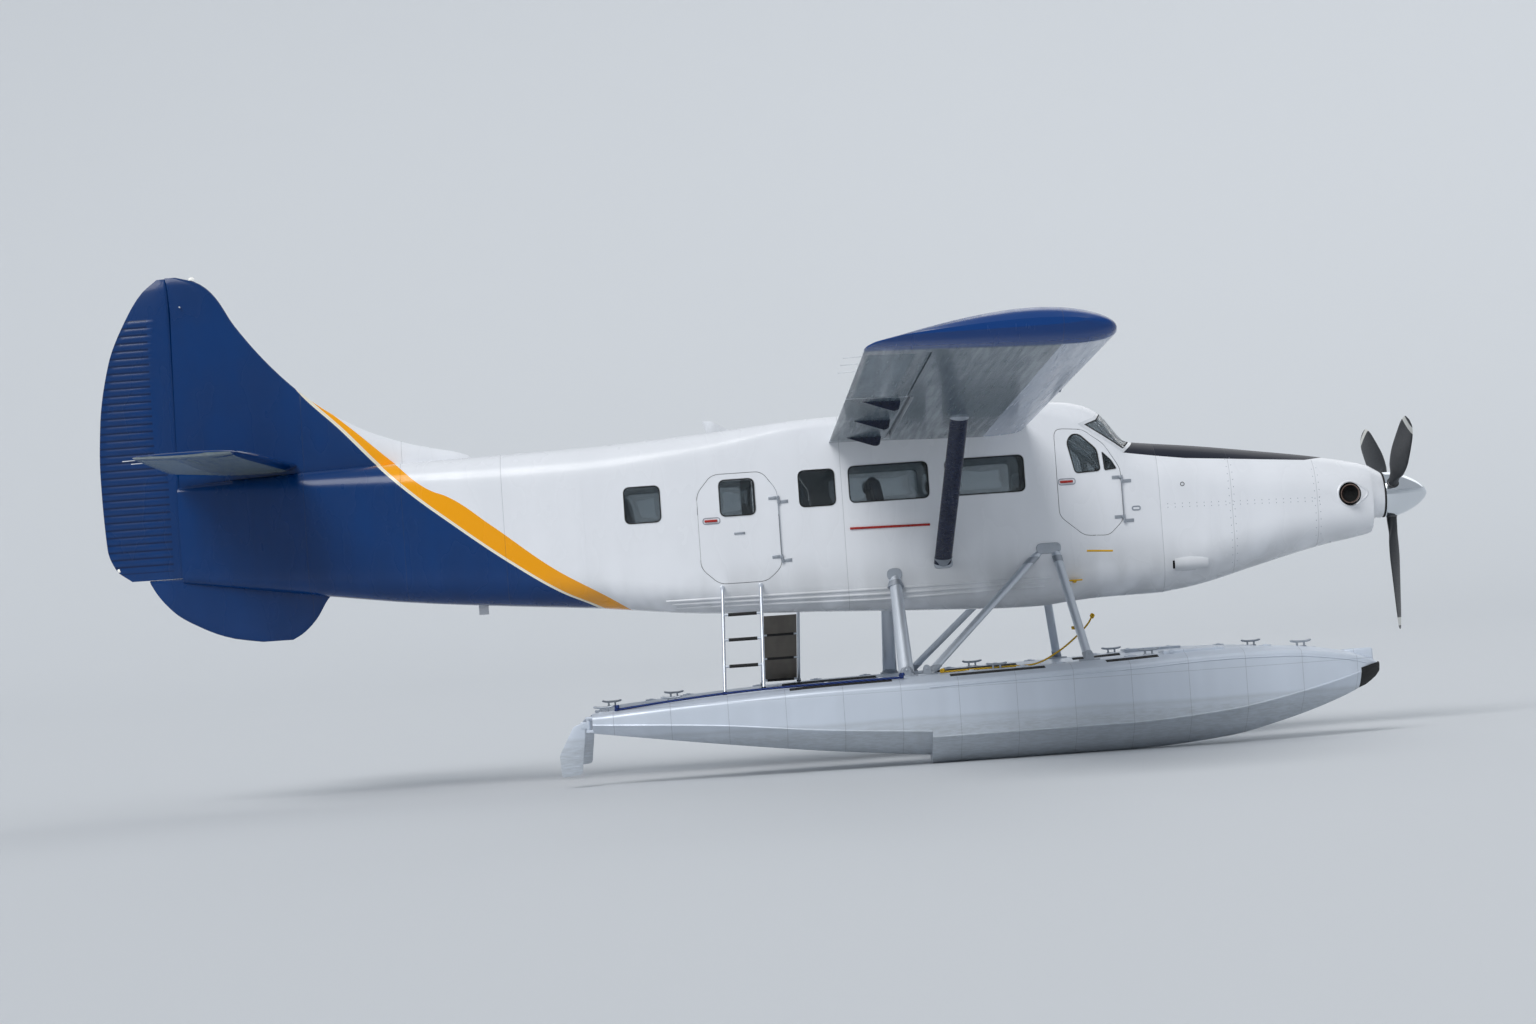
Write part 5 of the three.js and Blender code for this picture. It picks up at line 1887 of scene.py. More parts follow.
@dataclass
class Door:
    """A door cut from the cabin wall, with its window, lining, seal, hinges and handle."""

    name: str
    glass: str
    side: Side
    outline: Outline
    panes: list[Outline]
    hinge_x: float
    away: int
    heights: tuple[float, float]
    handle: tuple[float, float]
    corner: float = 0.07
    latch: tuple = ()
    gap: float = 0.0055
    knuckle_out: float = 0.018
    knuckle_tall: float = 0.040
    knuckle_gap: float = 0.0423
    strap: tuple = ((-0.004, 0.004), (0.006, 0.004), (0.006, 0.038), (-0.004, 0.038))
    cup: tuple = ((0.006, -0.002), (0.004, 0.003), (-0.004, 0.003), (-0.006, -0.002))
    pull: tuple = ((-0.08, 0.036), (-0.07, 0.075), (0.07, 0.075), (0.08, 0.036))
    seal: tuple = ((-0.003, -0.026), (-0.003, -0.034), (-0.02, -0.042), (-0.02, -0.036))

    @property
    def shape(self) -> Outline:
        """The door's outline with its corners rounded."""
        return rounded(self.outline, self.corner)

    def opening(self) -> Obj:
        """Make the cutter of the door's opening."""
        return side_plate(grown(self.shape, self.gap), self.side)

    def spot(self, x: float, z: float, lift: float = 0.0) -> Point:
        """Give the point over a place on the door's side of the skin."""
        return SKIN.spot(x, z, self.side, lift)

    def knuckle(self, z: float, way: int) -> list[Obj]:
        """Make one hinge leaf: its barrel, its strap, the link between them and its bolts.

        Args:
            z: Its lowest height.
            way: Which way the strap runs along X.

        Returns:
            The leaf's pieces.
        """
        x, sign = self.hinge_x, self.side.value
        y = SKIN.side(x, z) + self.knuckle_out
        barrel = rod((x, sign * y, z + 0.001), (x, sign * y, z + 0.001 + self.knuckle_tall), 0.011, 20, 0.002)
        spots = [x + way * d for d in (0.008, 0.054, 0.098)]
        strap = skin([
            [(a, sign * (SKIN.side(a, z) + lift), z + up) for lift, up in self.strap] for a in spots
        ])
        soften(outward(strap), 0.002)
        low = sign * (SKIN.side(spots[1], z) - 0.002)
        link = block((x, low, z + 0.005), (x + way * 0.022, sign * (y + 0.004), z + 0.037), 0.003)
        heads = []
        for d in (0.04, 0.08):
            a = x + way * d
            heads.append(((a, sign * (SKIN.side(a, z) + 0.006), z + 0.021), (0, sign, 0)))
        return [barrel, strap, link, dots(heads, 0.006, 0.6)]

    def hinges(self) -> None:
        """Make the fixed and moving leaves and the thin pin between the hinges."""
        fixed, moving = [], []
        for z in self.heights:
            fixed += self.knuckle(z, self.away)
            moving += self.knuckle(z + self.knuckle_gap, -self.away)
        (x, y0, z0), (_, y1, z1) = (self.spot(self.hinge_x, z, self.knuckle_out) for z in self.heights)
        pin = rod((x, y0, z0 + 0.06), (x, y1, z1 + 0.01), 0.004, 10)
        deliver(self.name + "_hinge_fixed", [*fixed, pin], Finishes.dull)
        deliver(self.name + "_hinge", moving, Finishes.dull, body=self.name)

    def fittings(self) -> None:
        """Make the outer handle in its cup, the inner pull, the latch and the seal round the door."""
        sign, (x, z) = self.side.value, self.handle
        y = SKIN.side(x, z)
        cup = band(box_outline(x - 0.085, x + 0.085, z - 0.03, z + 0.03, 0.025), self.side, self.cup)
        near, far = sign * (y + 0.006), sign * (y + 0.02)
        bar = block((x - 0.07, near, z - 0.012), (x + 0.06, far, z + 0.012), 0.005, 3)
        neck = rod((x + 0.045, sign * (y - 0.01), z), (x + 0.045, sign * (y + 0.012), z), 0.012, 16, 0.002)
        deliver(self.name + "_cup", cup, Finishes.dull, body=self.name)
        deliver(self.name + "_handle", [bar, neck], Finishes.red, body=self.name)
        bow = [(x + a, sign * (y - b), z) for a, b in self.pull]
        deliver(self.name + "_pull", tube(bow, 0.008, 10), Finishes.dull, body=self.name)
        if self.latch:
            a, b = self.latch
            level = SKIN.side(a, b)
            low, high = sign * (level - 0.002), sign * (level + 0.012)
            bar = block((a - 0.055, low, b - 0.010), (a + 0.055, high, b + 0.010), 0.004, 3)
            pivot = dots([((a + 0.03, high, b), (0, sign, 0))], 0.009, 0.6)
            deliver(self.name + "_latch", [bar, pivot], Finishes.dull, body=self.name)
        seal = band(self.shape, self.side, self.seal)
        deliver(self.name + "_seal", seal, Finishes.rubber, body=self.name)

    def build(self) -> None:
        """Cut the leaf, glaze it and fit its hinges and handle."""
        xs = [x for x, _ in self.outline]
        leaf = SKIN.wall(min(xs) - 0.1, max(xs) + 0.1)
        cut(leaf, side_plate(self.shape, self.side), how="INTERSECT")
        dome = 0.012 if len(self.panes) > 1 else 0.02
        windows = [Window(outline, self.side, dome) for outline in self.panes]
        ends = ("_panes", "_window_seals", "_window_rims")
        glaze(self.name, leaf, windows, ends, self.glass, self.name)
        deliver(self.name + "_leaf", leaf, Finishes.body, self.name, body=self.name)
        self.hinges()
        self.fittings()


def pane_outline(x0: float, x1: float, drop: float) -> Outline:
    """Give a cabin window's outline from its ends and its shift in height."""
    return box_outline(x0, x1, 2.612 + drop, 2.985 + drop)


@dataclass
class Cabin:
    """The cabin wall with its doors, windows, windshield and small outside trim."""

    aft: float = -1.865
    firewall: float = 3.945
    crew_door: tuple = (
        (2.905, 3.190), (2.905, 2.350), (3.143, 2.142), (3.400, 2.130), (3.553, 2.276), (3.553, 2.790),
        (3.400, 3.045), (3.190, 3.205), (2.950, 3.225),
    )
    crew_pane: tuple = (
        (3.020, 3.090), (3.075, 3.169), (3.157, 3.164), (3.330, 3.000), (3.355, 2.777), (3.090, 2.765),
    )
    quarter_pane: tuple = ((3.376, 2.975), (3.470, 2.880), (3.520, 2.790), (3.392, 2.780))
    passenger_door: tuple = (
        (-0.721, 2.815), (-0.721, 2.070), (-0.545, 1.905), (-0.070, 1.905), (0.084, 2.040), (0.084, 2.800),
        (-0.060, 3.000), (-0.560, 3.000),
    )
    cargo_front: tuple = (
        (-0.130, 3.000), (-0.130, 1.905), (0.300, 1.905), (0.450, 2.040), (0.450, 2.840), (0.350, 3.000),
    )
    cargo_rear: tuple = (
        (-0.140, 1.905), (-0.140, 3.000), (-0.560, 3.000), (-0.721, 2.815), (-0.721, 2.070), (-0.545, 1.905),
    )
    windows: tuple = (
        # first x, last x, shift in height, whether only to starboard
        (-1.456, -1.086, -0.048, False), (0.301, 0.672, 0.0, True), (0.806, 1.612, 0.010, False),
        (1.779, 2.579, 0.010, False),
    )
    windshield: tuple = (
        (3.170, 3.262), (3.606, 2.962), (3.690, 3.030), (3.790, 3.140), (3.480, 3.520), (3.395, 3.395),
        (3.330, 3.318),
    )
    frames: tuple = (
        # name, growth and width of the ring, inner and outer face under the skin, finish
        ("windshield_seal", 0.0, 0.034, 0.014, 0.0005, "rubber"),
        ("windshield_frame", 0.010, 0.022, 0.020, -0.0015, "white"),
    )
    stringers: tuple = (
        ((-1.096, 1.769), (1.051, 1.746), (2.775, 1.741)), ((-1.040, 1.734), (1.048, 1.695), (2.740, 1.699)),
        ((-0.996, 1.698), (1.044, 1.644), (2.707, 1.657)),
    )
    hand_rail: tuple = ((0.791, 2.369), (1.593, 2.355))
    step_mark: tuple = ((3.152, 1.984), (3.418, 1.967))
    peg: tuple = (3.0, 1.685)
    vent: tuple = ((0.006, -0.002), (0.004, 0.004), (-0.006, 0.002), (-0.02, -0.004))
    antennas: tuple = (
        # name, x, height, chord, sweep
        ("blade_antenna", -0.45, 0.155, 0.30, 0.16), ("whip_antenna", 1.10, 0.10, 0.16, 0.08),
    )

    def doors(self) -> list[Door]:
        """List the five doors.

        Returns:
            The doors.
        """
        crew = [rounded(self.crew_pane, 0.045), rounded(self.quarter_pane, 0.02)]
        made = [
            Door(f"crew_door_{side.word}", f"crew_door_glass_{side.word}", side, self.crew_door, crew,
                 3.561, 1, (2.240, 2.640), (3.000, 2.690), 0.06)
            for side in Side
        ]
        return [
            *made,
            Door("passenger_door", "passenger_door_glass", Side.STARBOARD, self.passenger_door,
                 [pane_outline(-0.499, -0.137, -0.040)], 0.092, 1, (2.075, 2.665), (-0.590, 2.540),
                 latch=(-0.317, 2.40)),
            Door("cargo_door_front", "cargo_door_glass_front", Side.PORT, self.cargo_front,
                 [pane_outline(-0.024, 0.338, -0.010)], 0.458, 1, (2.075, 2.665), (-0.020, 2.420), 0.03),
            Door("cargo_door_rear", "cargo_door_glass_rear", Side.PORT, self.cargo_rear,
                 [pane_outline(-0.608, -0.246, -0.040)], -0.729, -1, (2.110, 2.665), (-0.240, 2.300), 0.03),
        ]

    def windshield_wall(self, depth: float, start: float, keep: Obj) -> Obj:
        """Cut a part out of the wall round the windshield.

        Args:
            depth: How far in its inner face lies.
            start: How far in its outer face lies.
            keep: The room that is kept.

        Returns:
            The part, without materials.
        """
        wall = SKIN.wall(3.10, 3.90, depth, start, 0.02)
        cut(wall, keep, how="INTERSECT")
        wall.data.materials.clear()
        return wall

    def windshield_pieces(self) -> None:
        """Make the two front panes, their seal, frame and centre post."""
        across = (-1.1, 1.1)
        glass = self.windshield_wall(0.010, 0.004, plate(grown(self.windshield, -0.001), *across))
        deliver("windshield_panes", glass, Finishes.glass, "windshield", smooth=30)
        for name, grow, wide, depth, start, finish in self.frames:
            ring = plate(grown(self.windshield, grow), *across)
            cut(ring, plate(grown(self.windshield, -wide), -1.2, 1.2))
            frame = self.windshield_wall(depth, start, ring)
            deliver(name, frame, getattr(Finishes, finish), slot="white_paint", smooth=30)
        post = self.windshield_wall(0.022, -0.002, plate(grown(self.windshield, 0.004), -0.02, 0.02))
        deliver("windshield_post", post, Finishes.white, smooth=30)

    def shell(self, doors: list[Door]) -> None:
        """Cut the doors, windows and windshield out of the cabin wall.

        Args:
            doors: The doors whose openings are cut.
        """
        shell = SKIN.wall(self.aft, self.firewall)
        cut(shell, plate(self.windshield, -1.1, 1.1), *[door.opening() for door in doors])
        for side in Side:
            windows = [
                Window(pane_outline(*numbers), side) for *numbers, starboard in self.windows
                if side is Side.STARBOARD or not starboard
            ]
            name = f"cabin_windows_{side.word}"
            glaze(name, shell, windows, ("_panes", "_seals", "_rims"), name, "airframe")
        deliver("cabin_wall", shell, Finishes.body, "cabin_shell", "cabin_roof", "cabin_belly", smooth=30)

    def trim(self, side: Side) -> None:
        """Fit one side's stringers, rail, marks, step peg and vent.

        Args:
            side: Which side.
        """
        word, (x, z) = side.word, self.peg
        beads = [side_line(line, side, 0.014, -0.002) for line in self.stringers]
        deliver(f"belly_stringers_{word}", beads, Finishes.body)
        rail = side_line(self.hand_rail, side, 0.012, 0.006)
        deliver(f"hand_rail_{word}", rail, Finishes.red, slot="white_paint")
        mark = side_line(self.step_mark, side, 0.012, -0.006)
        deliver(f"step_mark_{word}", mark, Finishes.yellow, slot="white_paint")
        peg = rod(SKIN.spot(x, z, side, -0.02), SKIN.spot(x, z, side, 0.12), 0.016, 18, 0.003)
        y0, y1 = (side.value * (SKIN.side(x, z) + reach) for reach in (0.03, 0.13))
        foot = block((x - 0.055, y0, z + 0.003), (x + 0.075, y1, z + 0.019), 0.006, 3)
        deliver(f"step_peg_{word}", [foot, peg], Finishes.yellow)
        vent = band(box_outline(3.65, 3.735, 2.36, 2.40, 0.02), side, self.vent)
        deliver(f"side_vent_{word}", vent, Finishes.dull, slot="white_paint")

    def antenna(self, name: str, x: float, tall: float, chord: float, sweep: float) -> None:
        """Stand a swept blade antenna on the roof.

        Args:
            name: Name of the antenna.
            x: Its place.
            tall: Its height.
            chord: Its length at the foot.
            sweep: How far its tip stands back.
        """
        base, angle, rings = SKIN.top(x) - 0.006, around(24), []
        for share in np.linspace(0, 1, 9):
            half, thick = chord / 2 * (1 - 0.68 * share), 0.014 * (1 - 0.5 * share)
            level = np.full(24, base + tall * share)
            middle = x - sweep * share + 0.04
            rings.append(np.column_stack([middle + half * np.cos(angle), thick * np.sin(angle), level]))
        deliver(name, soften(skin(rings), 0.003), Finishes.white)

    def build(self) -> None:
        """Make the doors, the wall, the windshield and the trim."""
        doors = self.doors()
        self.shell(doors)
        for door in doors:
            door.build()
        self.windshield_pieces()
        for side in Side:
            self.trim(side)
        for row in self.antennas:
            self.antenna(*row)


@dataclass
class RearFuselage:
    """The tapering rear body, hollowed at its end for the rudder's nose."""

    end: float = -6.003
    hinge_x: float = -6.015
    joint: float = -1.8653

    def build(self) -> None:
        """Make the rear body and the antenna under it."""
        body = SKIN.solid(self.end, self.joint, step=0.09)
        cut(body, rod((self.hinge_x, 0, 2.335), (self.hinge_x, 0, 3.40), 0.071, 40))
        deliver("rear_body", body, Finishes.body, "rear_fuselage", smooth=30)
        mast = block((-3.02, -0.008, 1.77), (-2.92, 0.008, 1.89), 0.005)
        deliver("belly_antenna", mast, Finishes.white)


# Engine cowling and propeller


@dataclass
class Cowling:
    """The engine cowling with its chin intake, side exhausts, outlet scoop and fasteners."""

    rows: tuple = (
        # x, bottom z, top z, half width, lower corner, upper corner
        (3.9453, 1.518, 3.040, 0.640, 0.340, 0.400), (4.300, 1.568, 3.000, 0.602, 0.370, 0.410),
        (4.995, 1.735, 2.904, 0.510, 0.400, 0.420), (5.670, 1.892, 2.796, 0.412, 0.340, 0.370),
        (5.990, 1.945, 2.728, 0.350, 0.290, 0.320), (6.150, 1.978, 2.688, 0.305, 0.245, 0.285),
        (6.166, 1.985, 2.682, 0.300, 0.240, 0.282), (6.172, 2.000, 2.679, 0.297, 0.238, 0.280),
        (6.176, 2.100, 2.677, 0.294, 0.238, 0.277), (6.186, 2.128, 2.671, 0.288, 0.245, 0.270),
        (6.220, 2.132, 2.650, 0.268, 0.250, 0.256), (6.290, 2.128, 2.606, 0.242, 0.234, 0.236),
        (6.306, 2.136, 2.594, 0.233, 0.226, 0.228),
    )
    exhaust: tuple = (5.925, 2.385)
    exhaust_radius: float = 0.118
    stub: tuple = ((0.015, 0.22, -0.004), (0.015, 0.38, -0.004), (-0.012, 0.425, 0.002))
    collar: tuple = ((0.0, -0.02), (0.002, 0.004), (0.010, 0.009), (0.024, 0.001), (0.024, -0.01))
    scoop: tuple = (
        # x, y, half width, half height
        (4.050, -0.535, 0.105, 0.0875), (4.180, -0.535, 0.100, 0.085), (4.330, -0.535, 0.062, 0.072),
        (4.400, -0.535, 0.030, 0.060),
    )
    mouth: tuple = ((4.03, -0.545, 0.085, 0.0725), (4.20, -0.545, 0.060, 0.055))
    scoop_z: float = 1.800
    drain: tuple = (4.185, 2.594, 0.016)
    screws_x: tuple = (4.660, 4.710, 5.550, 5.600)
    screw_pitch: float = 0.075
    propeller_z: float = 2.362

    def fasteners(self, cowl: BodySkin) -> list[tuple[Point, Point]]:
        """List the screw heads along the cowling's seams.

        Args:
            cowl: The cowling's surface.

        Returns:
            Each head's place and direction.
        """
        spots = []
        for side in Side:
            for x in self.screws_x:
                _, low, high, *_ = smooth_rows(cowl.rows, [x])[0]
                spots += [(x, side, float(z)) for z in np.arange(low + 0.12, high - 0.1, self.screw_pitch)]
            for x in np.arange(4.02, 5.60, self.screw_pitch):
                z = 2.387 - (x - 3.945) * 0.0216
                spots += [(float(x), side, z + off) for off in (0.018, -0.018)]
        made = []
        for x, side, z in spots:
            slope = (cowl.side(x, z + 0.02) - cowl.side(x, z - 0.02)) / 0.04
            made.append((cowl.spot(x, z, side), (0.0, float(side.value), -slope)))
        return made

    def tunnel(self, rows: Rows) -> Obj:
        """Wrap an oval tunnel along X, for the scoop and its mouth."""
        angle = around(28)
        return skin([[(x, y - a * math.cos(t), self.scoop_z + b * math.sin(t)) for t in angle]
                     for x, y, a, b in rows])

    def exhaust_stub(self, sign: int) -> Obj:
        """Bend one exhaust stub out of the cowling and bore it.

        Args:
            sign: Which side, as the sign of its Y.

        Returns:
            The stub.
        """
        x, z = self.exhaust
        share = np.linspace(0, 1, 14)[:, None]
        a, b, c = (np.array((x + dx, sign * y, z + dz)) for dx, y, dz in self.stub)
        path = (1 - share) ** 2 * a + 2 * share * (1 - share) * b + share**2 * c
        stub = painted(tube(path, np.linspace(0.086, 0.098, 14), 40), Finishes.burnt)
        way = path[-1] - path[-3]
        way /= np.linalg.norm(way)
        return cut(stub, painted(rod(path[-1] - way * 0.15, path[-1] + way * 0.1, 0.088, 36), Finishes.soot))

    def build(self) -> None:
        """Make the cowling, its openings and what shows in them."""
        cowl = BodySkin(self.rows)
        body = painted(cowl.solid(self.rows[0][0], self.rows[-1][0], step=0.05), Finishes.body)
        cut(body, self.tunnel(smooth_rows(self.scoop, np.linspace(4.05, 4.4, 12))), how="UNION")
        (x, z), r = self.exhaust, self.exhaust_radius
        holes = [rod((x, s * 0.33, z), (x, s * 0.75, z), r, 40) for s in (-1, 1)]
        chin = block((6.05, -0.19, 2.006), (6.20, 0.19, 2.104), 0.035, 5)
        # The cut walls of the scoop's mouth, the chin intake and the exhaust holes take the painted recess shade.
        for cutter in (self.tunnel(self.mouth), chin, *holes):
            cut(body, painted(cutter, Finishes.dark))
        deliver("cowl", body, Finishes.body, "cowling", smooth=28)
        rim = []
        for a in around(48):
            rim.append((x + r * math.cos(a) * (1.0 + 0.5 * max(0.0, math.cos(a)) ** 6), z + r * math.sin(a)))
        deliver("exhaust_stubs", [self.exhaust_stub(s) for s in (-1, 1)], Finishes.burnt, "engine")
        collars = [band(rim, side, self.collar, cowl) for side in Side]
        deliver("exhaust_collars", collars, Finishes.body)
        x, z, r = self.drain
        circle = [(x + r * math.cos(a), z + r * math.sin(a)) for a in around(20)]
        rows = ((0.0, -0.004), (0.0, 0.003), (0.006, 0.002), (0.006, -0.004))
        # The drains' rings take the painted recess shade.
        deliver("cowling_drains", [band(circle, side, rows, cowl) for side in Side], Finishes.dark)
        deliver("cowling_screws", dots(self.fasteners(cowl), 0.0055, 0.35), Finishes.dull, smooth=60)
        shaft = rod((6.25, 0, self.propeller_z), (6.3205, 0, self.propeller_z), 0.085, 32, 0.004)
        deliver("propeller_shaft", shaft, Finishes.steel)


@dataclass
class Propeller:
    """The spinner and its three blades."""

    base_x: float = 6.321
    axis_z: float = 2.362
    blade_x: float = 6.405
    blades: int = 3
    spinner: tuple = (
        (0.0, 0.228), (0.012, 0.232), (0.110, 0.228), (0.200, 0.205), (0.320, 0.150), (0.415, 0.080),
        (0.458, 0.022), (0.464, 0.002),
    )
    back: tuple = ((-0.007, 0.10), (-0.007, 0.2315), (-0.001, 0.2335), (0.006, 0.2325), (0.006, 0.10))
    stations: tuple = (
        # radius, chord, thickness, pitch
        (0.150, 0.104, 0.104, 0.0), (0.240, 0.104, 0.104, 0.0), (0.330, 0.108, 0.096, 30.0),
        (0.480, 0.190, 0.050, 38.0), (0.800, 0.250, 0.034, 30.0), (1.150, 0.235, 0.024, 23.0),
        (1.330, 0.175, 0.016, 20.0), (1.375, 0.115, 0.011, 19.2), (1.390, 0.030, 0.006, 19.0),
    )
    tip_band: tuple = (1.285, 1.345)

    def turned(self, obj: Obj, number: int) -> Obj:
        """Turn a piece made for the lowest blade to another blade's place.

        Args:
            obj: The piece.
            number: The blade's number, 0 for the lowest.

        Returns:
            The same piece.
        """
        hub = Vector((0, 0, self.axis_z))
        turn = Matrix.Rotation(math.radians(360 / self.blades * number), 4, "X")
        obj.data.transform(Matrix.Translation(hub) @ turn @ Matrix.Translation(-hub))
        return obj

    def peg(self, start: float, end: float, radius: float, bevel: float = 0.0) -> Obj:
        """Make a rod along the lowest blade's axis, from start to end below the hub."""
        x, z = self.blade_x, self.axis_z
        return rod((x, 0, z - start), (x, 0, z - end), radius, 32, bevel)

    def blade(self) -> Obj:
        """Make the lowest blade, with a light band near its tip.

        Returns:
            The blade.
        """
        rings, angle = [], around(32)
        for r, chord, thick, pitch in read(self.stations, 0.035):
            flat = min(1.0, max(0.0, (r - 0.24) / 0.2))
            u = chord / 2 * np.cos(angle)
            v = thick / 2 * np.sin(angle) * (1 + 0.28 * flat * np.cos(angle))
            p = math.radians(pitch)
            rings.append(np.column_stack([
                self.blade_x + u * math.sin(p) + v * math.cos(p), u * math.cos(p) - v * math.sin(p),
                np.full(32, self.axis_z - r),
            ]))
        obj = painted(painted(skin(rings), Finishes.blade), Finishes.blade_tip)
        low, high = self.tip_band
        for face in obj.data.polygons:
            face.material_index = int(low < math.hypot(face.center.y, face.center.z - self.axis_z) < high)
        return obj

    def build(self) -> None:
        """Make the spinner with its blade holes, the back plate and the blades."""
        centre, axis = (self.base_x, 0, self.axis_z), (1, 0, 0)
        shell = painted(lathe(read(self.spinner, 0.012), centre, axis, 72), Finishes.polished)
        for number in range(self.blades):
            # The blade holes' walls take the painted recess shade.
            cut(shell, painted(self.turned(self.peg(0.12, 0.30, 0.062), number), Finishes.dark))
        deliver("spinner_shell", shell, Finishes.polished, "spinner", body="propeller")
        back = lathe(self.back, centre, axis, 64)
        deliver("spinner_back", back, Finishes.rubber, body="propeller", slot="engine_metal")
        for number in range(self.blades):
            name = f"propeller_blade_{number + 1}"
            blade = self.turned(self.blade(), number)
            deliver(f"blade_{number + 1}", blade, Finishes.blade, name, body="propeller", smooth=50)
            cuff = self.turned(self.peg(0.16, 0.236, 0.057, 0.004), number)
            deliver(f"blade_cuff_{number + 1}", cuff, Finishes.steel, body="propeller")


# Wings


@dataclass
class Wings:
    """Both wings with their flaps, ailerons, struts, lights and small fittings."""

    chord: float = 1.981
    leading: float = 2.620
    root_y: float = 0.820
    root_z: float = 3.288
    half_span: float = 8.845
    dihedral: float = math.radians(2.0)
    incidence: float = math.tan(math.radians(1.0))
    hinge_share: float = 0.74
    flap: tuple = (0.095, 4.150)
    aileron: tuple = (4.175, 7.520)
    flap_hinges: tuple = (0.400, 2.100, 3.850)
    aileron_hinges: tuple = (4.5, 7.15)
    gap: float = 0.009
    slot_depth: float = 0.092
    # Small pieces, by their places along the span
    wicks: tuple = (6.3, 6.85, 7.35)
    caps: tuple = (1.15, 2.6)
    cap_x: float = 1.90
    cap: tuple = ((-0.004, 0.05), (0.003, 0.05), (0.005, 0.045), (0.005, 0.03), (0.008, 0.026), (0.008, 0.0))
    lamp: tuple = ((0.0, 0.056), (0.007, 0.054), (0.012, 0.040), (0.015, 0.0))
    lamp_rim: tuple = (
        (-0.006, 0.055), (0.008, 0.055), (0.010, 0.060), (0.004, 0.066), (-0.006, 0.066), (-0.006, 0.055),
    )
    lamp_way: Point = (0.98, 0, -0.18)
    pitot: tuple = (
        (2.30, 5.6, -0.035), (2.32, 5.6, -0.105), (2.36, 5.6, -0.125), (2.52, 5.6, -0.125),
    )
    strut: tuple = ((1.692, 0.795, 1.945), (1.800, 3.040, 3.345))
    cuffs: tuple = (
        # first and last share of the strut, first and last chord, thickness
        (0.0, 0.05, 0.11, 0.186, 0.072), (0.955, 0.99, 0.186, 0.12, 0.074),
    )

    @property
    def span(self) -> float:
        """Length along the wing from root to tip."""
        return (self.half_span - self.root_y) / math.cos(self.dihedral)

    @staticmethod
    def camber(c: float) -> float:
        """Height of the mean line at a share of the chord."""
        m, p = 0.04, 0.4
        return m / p**2 * (2 * p * c - c * c) if c < p else m / (1 - p) ** 2 * (1 - 2 * p + 2 * p * c - c * c)

    @staticmethod
    def half_thickness(c: float) -> float:
        """Half the thickness at a share of the chord."""
        poly = 0.2969 * math.sqrt(c) - 0.126 * c - 0.3516 * c**2 + 0.2843 * c**3 - 0.1015 * c**4
        return 0.75 * poly + 0.003 * c

    def ring(self, s: float, scale: float, thick: float) -> np.ndarray:
        """Give the wing's section at a place along its span.

        Args:
            s: Place along the span.
            scale: Share of the chord.
            thick: Share of the thickness.

        Returns:
            Points before the wing is raised.
        """
        shares = (1 - np.cos(np.linspace(0, math.pi, 31))) / 2
        over = [(c, self.camber(c) + self.half_thickness(c)) for c in shares[::-1]]
        under = [(c, self.camber(c) - self.half_thickness(c)) for c in shares[1:]]
        middle = self.camber(0.45)
        points = []
        for c, z in over + under:
            along = ((1 - scale) * 0.45 + c * scale) * self.chord
            height = (middle + (z - middle) * thick) * self.chord
            points.append((self.leading - along, s, height - along * self.incidence))
        return np.array(points)

    def raised(self, points: Sequence, sign: int = 1) -> np.ndarray:
        """Raise level points to the dihedral and the root, to port or with sign -1 to starboard.

        Args:
            points: Points with x, the place along the span, and z.
            sign: Which side.

        Returns:
            The points where they belong.
        """
        x, s, z = np.moveaxis(np.asarray(points, float), -1, 0)
        sine, cosine = math.sin(self.dihedral), math.cos(self.dihedral)
        y = self.root_y + s * cosine - z * sine
        return np.stack([x, sign * y, self.root_z + s * sine + z * cosine], axis=-1)

    @property
    def hinge(self) -> Point:
        """The hinge line's level x and z, and the nose radius."""
        c = self.hinge_share
        z = self.camber(c) * self.chord - c * self.chord * self.incidence
        return self.leading - c * self.chord, z, self.half_thickness(c) * self.chord - 0.001

    def along(self, outline: Outline, s0: float, s1: float, sign: int = 1) -> Obj:
        """Extrude a level outline of x and z along a wing, from s0 to s1."""
        return skin(self.raised([[(a, s, b) for a, b in outline] for s in (s0, s1)], sign))

    def cove(self, s0: float, s1: float, deep: float) -> list[Obj]:
        """Make the cutters of a movable surface's room.

        Args:
            s0: Where the surface starts along the span.
            s1: Where it ends.
            deep: How far the room is open below, ahead of the hinge.

        Returns:
            The cutters.
        """
        x, z, r = self.hinge
        r, ends = r + self.gap, (s0 - self.gap, s1 + self.gap)
        arc = [(x + r * math.cos(t), z + r * math.sin(t)) for t in np.radians(np.linspace(90, -90, 15))]
        room = [(x - 0.8, z + 0.3), (x, z + 0.3), *arc, (x, z - 0.3), (x - 0.8, z - 0.3)]
        made = [self.along(room, *ends)]
        if deep:
            back, top = x - 0.02, z - 0.42 * r
            low = [(back, z - 0.3), (x + deep, z - 0.3), (x + deep, top), (back, top)]
            made.append(self.along(low, *ends))
        return made

    def surface(self, s0: float, s1: float, beaded: bool) -> Obj:
        """Make a flap or an aileron.

        Args:
            s0: Where it starts along the span.
            s1: Where it ends.
            beaded: Whether its skins are beaded along the chord.

        Returns:
            The surface on the port side.
        """
        tail = (self.leading - self.chord + 0.004, -self.chord * self.incidence)
        stations = np.arange(s0, s1, BEAD_STEP) if beaded else np.linspace(s0, s1, 24)
        stations = np.append(stations[:-1], s1) if stations[-1] > s1 - 0.005 else np.append(stations, s1)
        return skin(self.raised([
            teardrop(s, *self.hinge, *tail, bead_height(s - s0, s1 - s) * beaded) for s in stations
        ]))

